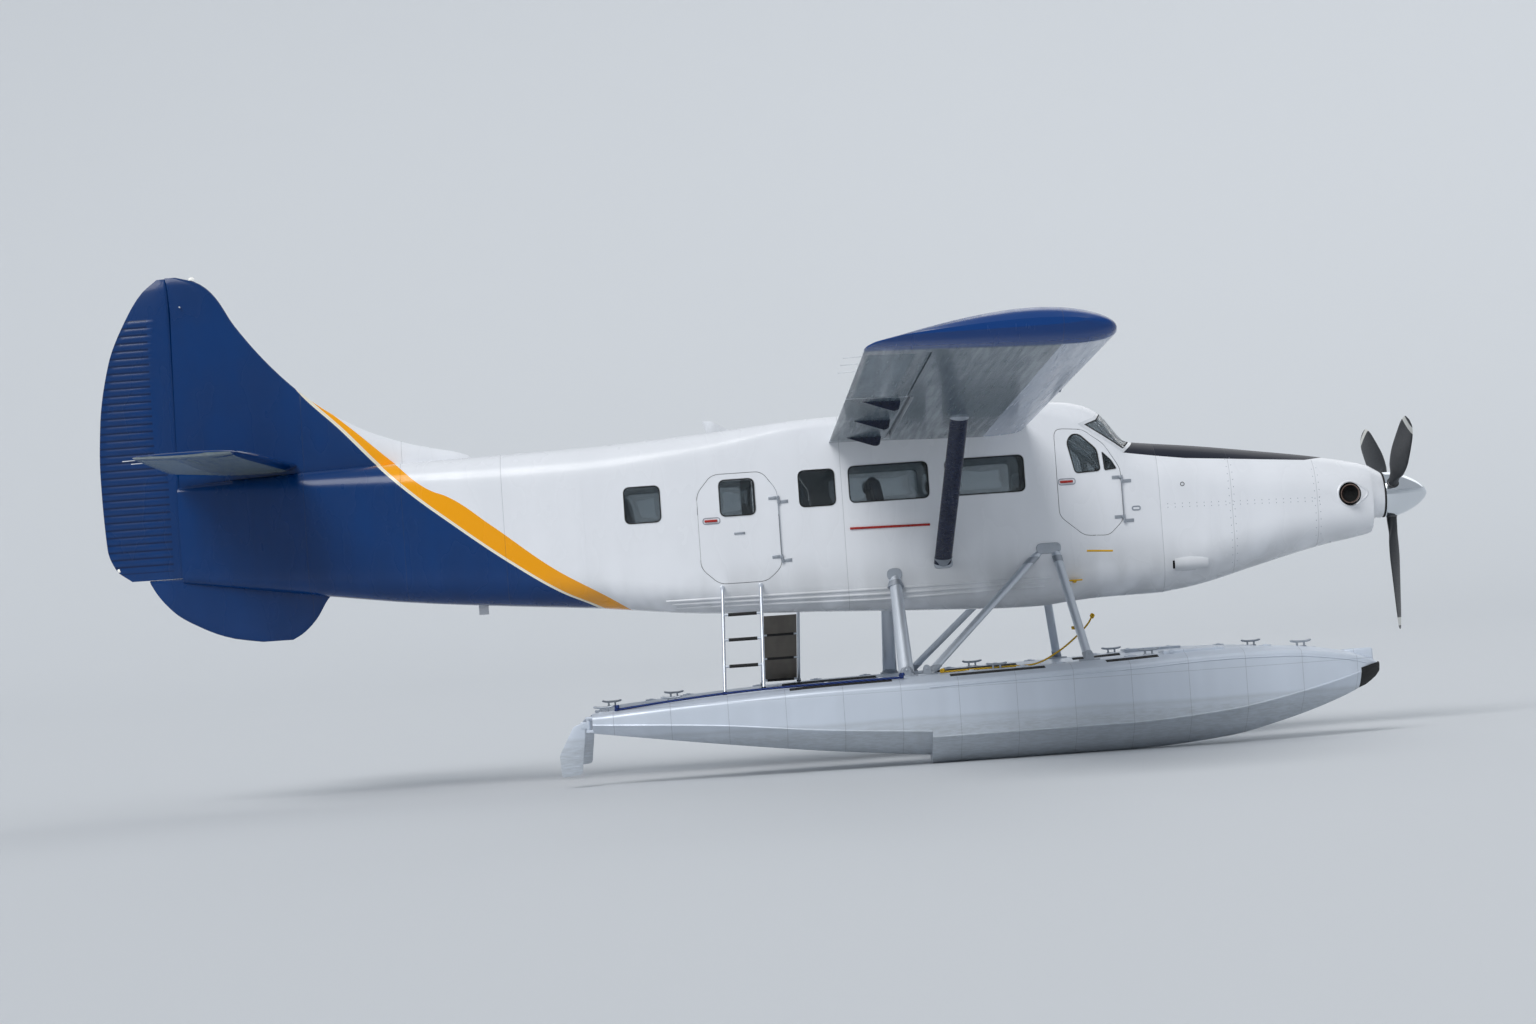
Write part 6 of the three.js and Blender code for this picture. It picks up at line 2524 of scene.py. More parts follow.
    def wing(self) -> Obj:
        """Make the fixed wing on the port side.

        Returns:
            The wing.
        """
        span = self.span
        rows = (
            # place, share of the chord, share of the thickness
            (-0.15, 1.0, 1.0), (span - 0.345, 1.0, 1.0), (span - 0.190, 0.985, 0.9),
            (span - 0.070, 0.92, 0.62), (span, 0.72, 0.2),
        )
        tip = places(rows, 0.028, span - 0.345, span)
        stations = np.unique(np.concatenate([places(rows[:2], 0.45), tip]))
        wing = skin(self.raised([self.ring(*row) for row in smooth_rows(rows, stations)]))
        cut(wing, *self.cove(*self.flap, self.slot_depth), *self.cove(*self.aileron, 0.0))
        return cut(wing, SKIN.solid(-0.2, 3.2, 0.004, 0.1))

    def spot(self, side: Side, x: float, s: float, z: float) -> np.ndarray:
        """Raise one level point of a side's wing."""
        return self.raised((x, s, z), side.value)

    def tip_and_hinges(self, side: Side) -> None:
        """Fit a wing's tip light, static wicks, flap arms and hinge brackets.

        Args:
            side: Which wing.
        """
        at, tip, (x, z, r) = functools.partial(self.spot, side), self.span - 0.16, self.hinge
        path = [at(2.520, tip - 0.02, 0.028), at(2.500, tip + 0.045, 0.026), at(2.450, tip + 0.10, 0.026)]
        lamp = Finishes.lamp_green if side is Side.STARBOARD else Finishes.lamp_red
        deliver("lens", tube(path, [0.022, 0.026, 0.018], 20), lamp, smooth=60)
        aileron, flap = f"aileron_{side.word}", f"flap_{side.word}"
        wicks = []
        for s in self.wicks:
            wicks.append(rod(at(0.652, s, -0.034), at(0.490, s + 0.02, -0.040), 0.0045, 10, 0.001))
        deliver(f"aileron_wicks_{side.word}", wicks, Finishes.white, body=aileron, slot="wing_skin")
        arms = []
        outline = rounded([
            (x - 0.005, z - r * 0.7), (x - 0.03, z - 0.165), (x - 0.075, z - 0.175), (x - 0.40, z - 0.058),
            (x - 0.42, z - 0.035), (x - 0.25, z - 0.040), (x - 0.10, z - r * 0.8),
        ], 0.02, 4)
        for s in self.flap_hinges:
            arms.append(outward(self.along(outline, s - 0.011, s + 0.011, side.value)))
            a, b = x - 0.050, z - 0.150
            arms.append(rod(at(a, s - 0.02, b), at(a, s + 0.02, b), 0.013, 14, 0.002))
        deliver(f"flap_arms_{side.word}", arms, Finishes.navy, body=flap)
        hinges = (*self.flap_hinges, *self.aileron_hinges)
        axles = [rod(at(x, s - 0.03, z), at(x, s + 0.03, z), 0.014, 16, 0.002) for s in hinges]
        for s in hinges:
            axles.append(block(at(x, s - 0.012, z - 0.008), at(x + r + 0.03, s + 0.012, z + 0.008), 0.002, 1))
        deliver(f"hinge_brackets_{side.word}", axles, Finishes.dull)

    def caps_and_strut(self, side: Side) -> None:
        """Fit a wing's fuel caps, its strut with its fittings, its landing lamp and the pitot tube.

        Args:
            side: Which wing.
        """
        at, back = functools.partial(self.spot, side), self.leading - self.cap_x
        share = back / self.chord
        top = (self.camber(share) + self.half_thickness(share)) * self.chord - back * self.incidence
        caps = [lathe(self.cap, at(self.cap_x, s, top)) for s in self.caps]
        deliver(f"fuel_caps_{side.word}", caps, Finishes.dull)
        low, high = (np.array(end) * (1, side.value, 1) for end in self.strut)
        strut = oval_strut(low, high, 0.175, 0.175, 0.062)
        cut(strut, SKIN.solid(1.2, 2.2, 0.002, 0.2))
        deliver("strut", strut, Finishes.navy, f"wing_strut_{side.word}")
        way = high - low
        cuffs = [oval_strut(low + way * a, low + way * b, *sizes) for a, b, *sizes in self.cuffs]
        pad = side_pad((1.700, 1.955), (0.19, 0.095), side, 0.014)
        deliver(f"wing_strut_fittings_{side.word}", [*cuffs, pad], Finishes.dull)
        spot = at(2.606, 3.6, 0.012)
        deliver("landing_lamp", lathe(self.lamp, spot, self.lamp_way, 32), Finishes.lens, smooth=60)
        rim = lathe(self.lamp_rim, spot, self.lamp_way, 32, capped=False)
        deliver("landing_lamp_rim", rim, Finishes.dull, smooth=60)
        if side is Side.PORT:
            pitot = tube([at(*point) for point in self.pitot], [0.014, 0.012, 0.011, 0.009], 16)
            deliver("pitot_tube", pitot, Finishes.dull)

    def build(self) -> None:
        """Make the port pieces, mirror them, and fit the small pieces."""
        pieces = {
            "wing": self.wing(), "flap": self.surface(*self.flap, False),
            "aileron": self.surface(*self.aileron, True),
        }
        for node, obj in pieces.items():
            deliver_pair(f"{node}_skin", obj, Finishes.wing, node, moving=node != "wing", smooth=30)
        for side in Side:
            self.tip_and_hinges(side)
            self.caps_and_strut(side)


def bead_height(before: float, after: float) -> float:
    """Give the height of a skin bead at a place.

    Args:
        before: Distance from the surface's start.
        after: Distance to its end.

    Returns:
        The bead's height there.
    """
    fade = (min(before, after) - 0.05) / 0.03
    return 0.0058 * abs(math.sin(math.pi * before / BEAD_PITCH)) * min(1.0, max(0.0, fade))


def teardrop(
    s: float, x: float, z: float, r: float, tail_x: float, tail_z: float, bead: float, first: float = 0.16,
) -> np.ndarray:
    """Give a movable surface's section: a round nose, flat sides and a thin trailing edge.

    Args:
        s: Place along the span.
        x: The hinge's x.
        z: The hinge's z.
        r: Radius of the nose.
        tail_x: The trailing edge's x.
        tail_z: The trailing edge's z.
        bead: Height of a bead on both sides at this place.
        first: Share of the depth where the beads start.

    Returns:
        Points of the section.
    """
    turn, edge = np.radians(np.linspace(90, -90, 17)), 0.006
    shares = np.array([0.0, first / 2, first, first + 0.03, first + 0.07, 0.45, 0.7, 0.88, 0.92, 0.96, 1.0])
    rise = bead * np.interp(shares, [first, first + 0.07, 0.88, 0.96], [0, 1, 1, 0])
    along = x + (tail_x - x) * shares
    nose = np.column_stack([x + r * np.cos(turn), z + r * np.sin(turn)])
    under = np.column_stack([along, z - r + (tail_z - edge - z + r) * shares - rise])
    over = np.column_stack([along, z + r + (tail_z + edge - z - r) * shares + rise])
    return np.insert(np.vstack([nose, under[1:], over[:0:-1]]), 1, s, axis=1)


def oval_strut(
    start: Sequence[float], end: Sequence[float], chord: float, chord_end: float, thick: float,
) -> Obj:
    """Make a streamlined strut whose chord lies along X.

    Args:
        start: Middle of its first end.
        end: Middle of its last end.
        chord: Chord at the start.
        chord_end: Chord at the end.
        thick: Its thickness.

    Returns:
        The strut.
    """
    a, b = np.array(start, float), np.array(end, float)
    across = np.array([0, b[2] - a[2], a[1] - b[1]])
    across /= np.linalg.norm(across)
    angle, rings = around(36), []
    for share in np.linspace(0, 1, 7):
        width = chord + (chord_end - chord) * share
        profile = np.sin(angle) * (1 + 0.24 * np.cos(angle))
        ring = np.outer(width / 2 * np.cos(angle), [1, 0, 0]) + np.outer(thick / 2 * profile, across)
        rings.append(a + (b - a) * share + ring)
    return skin(rings)


def hinge_pin(spot: Sequence[float], axis: int, reach: float, low: Point, high: Point) -> list[Obj]:
    """Make a hinge's pin and the lug that holds it.

    Args:
        spot: Where the hinge is.
        axis: Which of x, y and z the pin runs along, from 0.
        reach: How far the pin reaches to each side.
        low: The lug's lowest corner from the spot.
        high: The lug's highest corner from the spot.

    Returns:
        The pin and the lug.
    """
    spot, way = np.array(spot, float), np.eye(3)[axis] * reach
    return [rod(spot - way, spot + way, 0.014, 16, 0.002), block(spot + low, spot + high, 0.002, 1)]


# Tail


@dataclass
class Tail:
    """The fin, ribbed rudder, ventral fin, tailplane and elevators."""

    hinge_x: float = -6.015
    plane_z: float = 3.420
    elevator_hinge: float = -5.480
    cove: float = 0.071
    fin: tuple = (
        # z, leading edge x, half thickness
        (3.260, -2.900, 0.070), (3.415, -3.030, 0.070), (3.562, -3.582, 0.072), (3.740, -4.060, 0.072),
        (4.031, -4.531, 0.070), (4.445, -4.971, 0.066), (4.900, -5.325, 0.060), (5.259, -5.545, 0.054),
        (5.386, -5.714, 0.044), (5.434, -5.890, 0.026),
    )
    rudder: tuple = (
        # z, trailing edge x, nose radius
        (2.352, -6.528, 0.044), (2.475, -6.678, 0.054), (2.700, -6.760, 0.058), (3.464, -6.785, 0.062),
        (3.964, -6.756, 0.062), (4.584, -6.636, 0.058), (5.057, -6.418, 0.054), (5.300, -6.247, 0.046),
        (5.424, -6.090, 0.028),
    )
    ventral: tuple = (
        # z, front x, rear x, half thickness
        (1.650, -4.930, -5.240, 0.020), (1.700, -4.835, -5.520, 0.030), (1.850, -4.674, -5.880, 0.038),
        (2.000, -4.577, -6.110, 0.042), (2.290, -4.380, -6.330, 0.046), (2.340, -4.380, -6.350, 0.045),
        (2.348, -4.380, -6.346, 0.040), (2.3495, -4.380, -6.340, 0.034),
    )
    plane: tuple = (
        # y, leading edge x, half thickness
        (0.030, -4.772, 0.064), (2.700, -4.945, 0.046), (3.060, -5.000, 0.036),
    )
    plane_tip: tuple = (
        # y, leading edge x, trailing edge x, half thickness
        (2.969, -4.986, -5.959, 0.038), (3.060, -5.000, -5.955, 0.036), (3.190, -5.110, -5.880, 0.024),
        (3.230, -5.260, -5.760, 0.010),
    )
    elevator: tuple = (
        # y, trailing edge x, nose radius
        (0.170, -6.052, 0.056), (2.960, -5.962, 0.042),
    )
    beacon: tuple = ((0.0, 0.034), (0.012, 0.034), (0.024, 0.030), (0.034, 0.018), (0.038, 0.001))
    light: tuple = ((-0.01, 0.020), (0.008, 0.020), (0.016, 0.014), (0.019, 0.001))

    @staticmethod
    def section(s: float, front: float, rear: float, half: float, cove: float = 0.0) -> np.ndarray:
        """Give a symmetric section with a round nose.

        Args:
            s: Place along the span.
            front: The leading edge's x.
            rear: The back's x, or the hinge's x with a cove.
            half: Half the thickness.
            cove: Radius of the hollow at the back, or 0 for a closed tapered back.

        Returns:
            Points of x, span and thickness.
        """
        steps = 1 - np.cos(np.linspace(0, math.pi / 2, 13))
        line = [(0.36 * q, math.sqrt(max(0.0, 1 - (1 - q) ** 2))) for q in steps]
        line += [(c, 1 - 0.14 * ((c - 0.36) / 0.64) ** 1.5) for c in (0.45, 0.55, 0.65, 0.75, 0.84, 0.92)]
        if cove:
            first = math.asin(min(0.86 * half + 0.002, cove * 0.98) / cove)
            back = [(rear + cove * math.cos(a), cove * math.sin(a)) for a in np.linspace(first, -first, 11)]
        else:
            line = [(c, t if c < 0.4 else math.sqrt(1 - ((c - 0.4) / 0.62) ** 2) * 0.99) for c, t in line]
            line.append((0.985, 0.25))
            back = [(rear, 0.0)]
        over = [(front + c * (rear - front), t * half) for c, t in line]
        under = [(a, -b) for a, b in over[:0:-1]]
        return np.array([(a, s, b) for a, b in over + back + under])

    @staticmethod
    def stood(sections: Sequence) -> Obj:
        """Wrap sections of x, span and thickness, with the span along Z."""
        return skin(np.array(sections)[..., [0, 2, 1]])

    def laid(self, sections: Sequence) -> Obj:
        """Wrap sections of x, span and thickness at the tailplane's height, with the span along Y."""
        return skin(np.array(sections) + (0, 0, self.plane_z))

    def upright_pieces(self) -> None:
        """Make the fin, the ribbed rudder, the ventral fin and their lights."""
        fin = [self.section(z, lead, self.hinge_x, half, self.cove) for z, lead, half in read(self.fin, 0.05)]
        deliver("fin_skin", self.stood(fin), Finishes.body, "fin", slot="blue_paint", smooth=32)
        low, high = self.rudder[0][0], self.rudder[-1][0]
        levels = np.append(np.arange(low, high - 0.004, BEAD_STEP), high)
        rings = []
        for z, trail, nose in smooth_rows(self.rudder, levels):
            bead = bead_height(z - low, high - z) if 2.43 < z < 5.02 else 0.0
            first = 0.26 if z > 3.55 else 0.10
            rings.append(teardrop(z, self.hinge_x, 0.0, nose, trail, 0.0, bead, first))
        rudder = self.stood(rings)
        deliver("rudder_skin", rudder, Finishes.body, "rudder", body="rudder", slot="blue_paint", smooth=32)
        ventral = self.stood([self.section(*row) for row in read(self.ventral, 0.035)])
        deliver("ventral_skin", ventral, Finishes.body, "ventral_fin", slot="blue_paint", smooth=32)
        pins = []
        for z in (3.700, 4.800):
            pins += hinge_pin((self.hinge_x, 0, z), 2, 0.03, (-0.004, -0.012, -0.011), (0.085, 0.012, 0.011))
        deliver("rudder_hinges", pins, Finishes.dull)
        deliver("fin_beacon", lathe(self.beacon, (-5.735, 0, 5.394)), Finishes.lamp_white, smooth=60)
        light = lathe(self.light, (-6.655, 0, 2.475), (-1, 0, -0.35), 24)
        deliver("tail_light", light, Finishes.lamp_white, body="rudder", smooth=60)
        antenna = rod((-5.86, -0.10, 5.12), (-5.86, 0.10, 5.12), 0.008, 12, 0.002)
        deliver("fin_antenna", antenna, Finishes.white)

    def level_pieces(self) -> None:
        """Make the tailplane and the elevators on both sides."""
        hinge, cove = self.elevator_hinge, self.elevator[0][2] + 0.009
        rows = read(self.plane, 0.15, 0.030, 2.969)
        plane = self.laid([self.section(y, lead, hinge, half, cove) for y, lead, half in rows])
        tip = self.laid([self.section(*row) for row in read(self.plane_tip, 0.02)])
        deliver_pair("tailplane_piece", join(plane, tip), Finishes.tailplane, "tailplane")
        y0, y1 = self.elevator[0][0], self.elevator[-1][0]
        rings = []
        for y in np.append(np.arange(y0, y1 - 0.005, BEAD_STEP), y1):
            trail, nose = (np.interp(y, (y0, y1), ends) for ends in list(zip(*self.elevator))[1:])
            rings.append(teardrop(y, hinge, 0, nose, trail, 0, bead_height(y - y0, y1 - y) * 0.8))
        deliver_pair("elevator_piece", self.laid(rings), Finishes.elevator, "elevator", body="elevators")
        pins = []
        for y in (0.600, 2.400):
            pins += hinge_pin((hinge, y, self.plane_z), 1, 0.03, (0, -0.012, -0.008), (0.08, 0.012, 0.008))
        deliver_pair("elevator_hinges_piece", join(*pins), Finishes.dull)
        z = self.plane_z
        wicks = [rod((-5.97, s * y, z), (-6.10, s * (y + 0.01), z - 0.004), 0.004, 10, 0.001)
                 for s in (-1, 1) for y in (2.25, 2.75)]
        deliver("elevator_wicks", wicks, Finishes.white, body="elevators", slot="wing_skin")

    def build(self) -> None:
        """Make the upright pieces, then the level ones."""
        self.upright_pieces()
        self.level_pieces()


# Floats


@dataclass
class Floats:
    """Both floats with their deck gear, water rudders, spreader bars and struts."""

    y: float = 1.521
    after_body: tuple = (
        # x, keel z, chine z, half beam, deck z, deck crown
        (-1.885, 0.520, 0.600, 0.150, 0.690, 0.025), (-0.700, 0.340, 0.520, 0.335, 0.755, 0.045),
        (0.400, 0.190, 0.400, 0.420, 0.795, 0.055), (1.398, 0.085, 0.320, 0.440, 0.805, 0.060),
    )
    fore_body: tuple = (
        (1.400, 0.000, 0.265, 0.440, 0.805, 0.060), (3.300, 0.000, 0.270, 0.440, 0.845, 0.060),
        (4.300, 0.062, 0.330, 0.428, 0.880, 0.055), (4.900, 0.190, 0.430, 0.392, 0.868, 0.045),
        (5.400, 0.345, 0.540, 0.305, 0.810, 0.035), (5.700, 0.480, 0.620, 0.185, 0.745, 0.022),
        (5.830, 0.590, 0.650, 0.062, 0.688, 0.008),
    )
    post_x: float = -1.930
    water_blade: tuple = (
        # distance behind the post, z
        (0.038, 0.520), (0.038, 0.640), (0.150, 0.600), (0.300, 0.330), (0.290, 0.110), (0.090, 0.130),
    )
    struts: tuple = (
        # name, top x, y, z, foot x, top chord, foot chord, thickness
        ("front_strut", 2.829, 0.770, 2.035, 3.015, 0.090, 0.090, 0.052),
        ("diagonal_strut", 2.705, 0.770, 2.035, 1.414, 0.105, 0.105, 0.052),
        ("rear_strut", 1.203, 0.770, 1.880, 1.214, 0.118, 0.155, 0.090),
    )
    pads: tuple = (
        # x, z, length, height
        (2.767, 2.036, 0.25, 0.105), (1.203, 1.882, 0.15, 0.12),
    )
    spreaders: tuple = (("front", 3.015), ("rear", 1.244))
    spreader_z: float = 0.700
    reach: float = 1.084
    hatches: tuple = (-1.35, -0.95, -0.20, 0.42, 0.95, 1.85, 2.35, 2.72, 3.42, 4.75)
    hatch: tuple = (
        (-0.004, 0.062), (0.005, 0.062), (0.008, 0.056), (0.008, 0.026), (0.014, 0.022), (0.014, 0.0),
    )
    locker: tuple = (3.72, 4.32, 0.19)
    cleats: tuple = (-1.770, -1.103, 2.10, 3.60, 5.10)
    horn: tuple = ((-0.105, 0.062), (-0.06, 0.052), (0, 0.050), (0.06, 0.052), (0.105, 0.062))
    grips: tuple = ((1.62, 2.55), (3.15, 3.66), (0.05, 1.05))
    grip: tuple = ((-0.055, -0.002), (-0.053, 0.003), (0.053, 0.003), (0.055, -0.002))
    bumper: tuple = (
        # x, shift ahead, share of the hull's width
        (5.64, 0.0, 1.0), (5.70, 0.004, 1.06), (5.75, 0.008, 1.09), (5.80, 0.014, 1.14), (5.83, 0.022, 0.86),
    )

    @staticmethod
    def edge(half: float, deck: float, chine: float) -> float:
        """Give the radius of the deck's edge."""
        return min(0.040, half * 0.4, (deck - chine) * 0.4)

    def section(self, row: Sequence[float]) -> np.ndarray:
        """Give the hull's section at a station.

        Args:
            row: The station's numbers.

        Returns:
            Points of the port float.
        """
        x, keel, chine, half, deck, crown = row
        edge, flat, q = self.edge(half, deck, chine), min(0.030, half * 0.4), np.linspace(0, 1, 9)
        bottom = (flat + (half - flat) * q, keel + (chine - keel) * (q - 0.10 * np.sin(math.pi * q)))
        q = np.linspace(0, 1, 5)[1:]
        wall = (np.full(4, half), chine + (deck - edge - chine) * q)
        turn = quarter(6)[1:]
        corner = (half - edge + edge * np.cos(turn), deck - edge + edge * np.sin(turn))
        q = np.linspace(0, 1, 7)[1:]
        top = ((half - edge) * (1 - q), deck + crown * (1 - (1 - q) ** 2.2))
        one = np.vstack([(0.0, keel), *[np.column_stack(part) for part in (bottom, wall, corner, top)]])
        both = np.vstack([one, one[-2:0:-1] * (-1, 1)]) + (self.y, 0)
        return np.insert(both, 0, x, axis=1)

    def deck(self, x: float, off: float = 0.0) -> float:
        """Give the deck's height at a place.

        Args:
            x: Where along the float.
            off: How far from its middle.

        Returns:
            The height.
        """
        rows = self.after_body if x < 1.4 else self.fore_body
        _, _, chine, half, deck, crown = smooth_rows(rows, [x])[0]
        share = min(1.0, max(0.0, 1 - abs(off) / (half - self.edge(half, deck, chine))))
        return deck + crown * (1 - (1 - share) ** 2.2)

    def hull(self) -> Obj:
        """Make the port float with its step, chine rails and transom lugs.

        Returns:
            The float.
        """
        rows = [*read(self.after_body, 0.12), *read(self.fore_body, 0.11)]
        made = [skin([self.section(row) for row in rows])]
        for sign in (-1, 1):
            for table, first, last, off, column, up, radius in (
                (self.fore_body, 1.4, 5.62, 0.001, 2, 0.004, 0.010),
                (self.after_body, -1.885, 1.398, 0.001, 2, 0.004, 0.010),
                (self.fore_body, 1.4, 5.70, 0.0005, 4, -0.055, 0.007),
            ):
                line = read(table, 0.2, first, last)
                path = [(row[0], self.y + sign * (row[3] + off), row[column] + up) for row in line]
                made.append(tube(path, radius, 8))
        for z in (0.530, 0.660):
            made.append(block((self.post_x, self.y - 0.028, z), (-1.825, self.y + 0.028, z + 0.026)))
            made.append(rod((self.post_x, self.y, z), (self.post_x, self.y, z + 0.026), 0.028, 28, 0.003))
        return join(*made)

    def covers(self) -> Obj:
        """Make the port float's hatch covers, its locker lid with two latches and its bow piece.

        Returns:
            The covers as one object.
        """
        made = [lathe(self.hatch, (x, self.y, self.deck(x))) for x in self.hatches]
        x0, x1, half = self.locker
        low, high = self.deck(x0, half), max(self.deck(x0), self.deck(x1))
        made.append(block((x0, self.y - half, low - 0.01), (x1, self.y + half, high + 0.010), 0.008, 3))
        for x in (x0 + 0.08, x1 - 0.08):
            y = self.y + half
            made.append(block((x - 0.02, y - 0.012, low + 0.004), (x + 0.02, y + 0.012, high + 0.016), 0.003))
        low, high = self.deck(5.79) - 0.03, self.deck(5.50) + 0.008
        return join(*made, block((5.50, self.y - 0.085, low), (5.79, self.y + 0.085, high), 0.022, 4))

    def cleat(self, x: float) -> list[Obj]:
        """Make one cleat of the port float: two legs, the horn and the foot.

        Args:
            x: Where along the float.

        Returns:
            Its pieces.
        """
        y, z = self.y, self.deck(x) - 0.006
        legs = [rod((x + d, y, z), (x + d, y, z + 0.052), 0.010, 14) for d in (-0.035, 0.035)]
        horn = route([(x + d, y, z + up) for d, up in self.horn], 15)
        foot = block((x - 0.055, y - 0.02, z - 0.004), (x + 0.055, y + 0.02, z + 0.010))
        return [*legs, tube(horn, [0.006, *[0.011] * 13, 0.006], 12), foot]

    def grip_strips(self) -> Obj:
        """Make the port float's dark grip strips.

        Returns:
            The strips as one object.
        """
        made = []
        for off in (-0.235, 0.235):
            for ends in self.grips:
                made.append(skin([
                    [(x, self.y + off + w, self.deck(x, off + w) + up) for w, up in self.grip]
                    for x in np.linspace(*ends, 8)
                ]))
        return join(*made)

    def bow_bumper(self) -> Obj:
        """Make the port float's rubber bow bumper.

        Returns:
            The bumper.
        """
        rings = []
        rows = smooth_rows(self.fore_body, [station[0] for station in self.bumper])
        for (x, shift, wide), row in zip(self.bumper, rows):
            middle = np.array([x, self.y, row[2]])
            points = middle + (self.section(row) - middle) * (1, wide, wide) + (shift, 0, 0)
            points[:, 2] = np.minimum(points[:, 2], row[2] + 0.04)
            rings.append(points)
        return skin(rings)

    def water_rudder(self) -> Obj:
        """Make the port water rudder: its post, blade, yoke, ribs and bolts.

        Returns:
            The rudder.
        """
        x, y = self.post_x, self.y
        post = rod((x, y, 0.5563), (x, y, 0.6597), 0.019, 24, 0.002)
        outline = rounded([(x - d, z) for d, z in self.water_blade], 0.03)
        blade = soften(plate(outline, y - 0.008, y + 0.008), 0.003)
        yoke = block((x - 0.075, y - 0.013, 0.572), (x, y + 0.013, 0.640))
        ribs = []
        for i in range(3):
            low, z = x - 0.262 + 0.03 * i, 0.20 + 0.1 * i
            ribs.append(block((low, y - 0.0095, z), (x - 0.11 + 0.012 * i, y + 0.0095, z + 0.014), 0.002, 1))
        spots = [((x - 0.05, y + s * 0.013, z), (0, s, 0)) for s in (-1, 1) for z in (0.59, 0.62)]
        return join(post, blade, yoke, *ribs, dots(spots, 0.007))

    def foot(self, y: float, x: float, thick: float) -> list[Obj]:
        """Make the fitting of one strut's foot: a shoe, two cheeks and a bolt.

        Args:
            y: The float's middle.
            x: The foot's place.
            thick: The strut's thickness.

        Returns:
            The fitting's pieces.
        """
        z, reach = self.deck(x), thick / 2 + 0.012
        made = [block((x - 0.10, y - 0.065, z - 0.02), (x + 0.10, y + 0.065, z + 0.014), 0.007, 3)]
        cheek = rounded([(x - 0.05, z), (x + 0.05, z), (x + 0.026, z + 0.10), (x - 0.026, z + 0.10)], 0.03)
        for middle in (y - reach, y + reach):
            made.append(soften(plate(cheek, middle - 0.005, middle + 0.005), 0.002, 1))
        reach += 0.016
        return [*made, rod((x, y - reach, z + 0.062), (x, y + reach, z + 0.062), 0.013, 6, 0.002)]

    def strut_set(self, side: Side) -> None:
        """Make one side's three struts with their fittings.

        Args:
            side: Which side.
        """
        sign, fittings = side.value, []
        for name, x0, y0, z0, x1, chord0, chord1, thick in self.struts:
            top = np.array((x0, sign * y0, z0))
            way = (x1, sign * self.y, self.deck(x1) - 0.01) - top
            bar = oval_strut(top, top + way, chord0, chord1, thick)
            cut(bar, SKIN.solid(x0 - 0.5, x0 + 0.5, 0.002, 0.25))
            deliver(name, bar, Finishes.aluminium, f"{name}_{side.word}")
            sizes = (chord0 * 1.08 + 0.004, chord1 * 1.05 + 0.004, thick * 1.12)
            fittings += [oval_strut(top + way * a, top + way * (a + 0.05), *sizes) for a in (0.075, 0.925)]
            fittings += self.foot(sign * self.y, x1, thick)
        for x, z, wide, tall in self.pads:
            fittings.append(side_pad((x, z), (wide, tall), side, 0.016))
            level = sign * (SKIN.side(x, z) + 0.015)
            spots = [((x + a * wide * 0.38, level, z + b * tall * 0.28), (0, sign, 0))
                     for a in (-1, 1) for b in (-1, 1)]
            fittings.append(dots(spots, 0.008))
        deliver(f"strut_fittings_{side.word}", fittings, Finishes.dull)

    def spreader(self, name: str, x: float) -> None:
        """Make a bar between the floats, with its bolted flanges.

        Args:
            name: Which bar.
            x: Its place.
        """
        z, reach = self.spreader_z, self.reach
        made, spots = [rod((x, -reach, z), (x, reach, z), 0.045, 36)], []
        for s in (-1, 1):
            near = s * (reach - 0.016)
            made.append(rod((x, near, z), (x, s * reach, z), 0.075, 36, 0.004))
            for a in around(6):
                spots.append(((x + 0.06 * math.cos(a), near, z + 0.06 * math.sin(a)), (0, -s, 0)))
        made.append(dots(spots, 0.008, 0.8))
        deliver(f"spreader_{name}", made, Finishes.aluminium, f"spreader_bar_{name}")

    def build(self) -> None:
        """Make the port pieces, mirror them, and join the floats to the body."""
        hull, covers = self.hull(), self.covers()
        cleats = join(*[piece for x in self.cleats for piece in self.cleat(x)])
        grips, bumper, rudder = self.grip_strips(), self.bow_bumper(), self.water_rudder()
        deliver_pair("float_hull", hull, Finishes.floats, "float")
        deliver_pair("float_water_rudder", rudder, Finishes.floats, "water_rudder", moving=True)
        deliver_pair("float_covers", covers, Finishes.floats)
        deliver_pair("float_cleats", cleats, Finishes.dull)
        deliver_pair("float_grips", grips, Finishes.grip, slot="float_skin")
        deliver_pair("float_bumper", bumper, Finishes.rubber, slot="float_skin")
        for name, x in self.spreaders:
            self.spreader(name, x)
        for side in Side:
            self.strut_set(side)


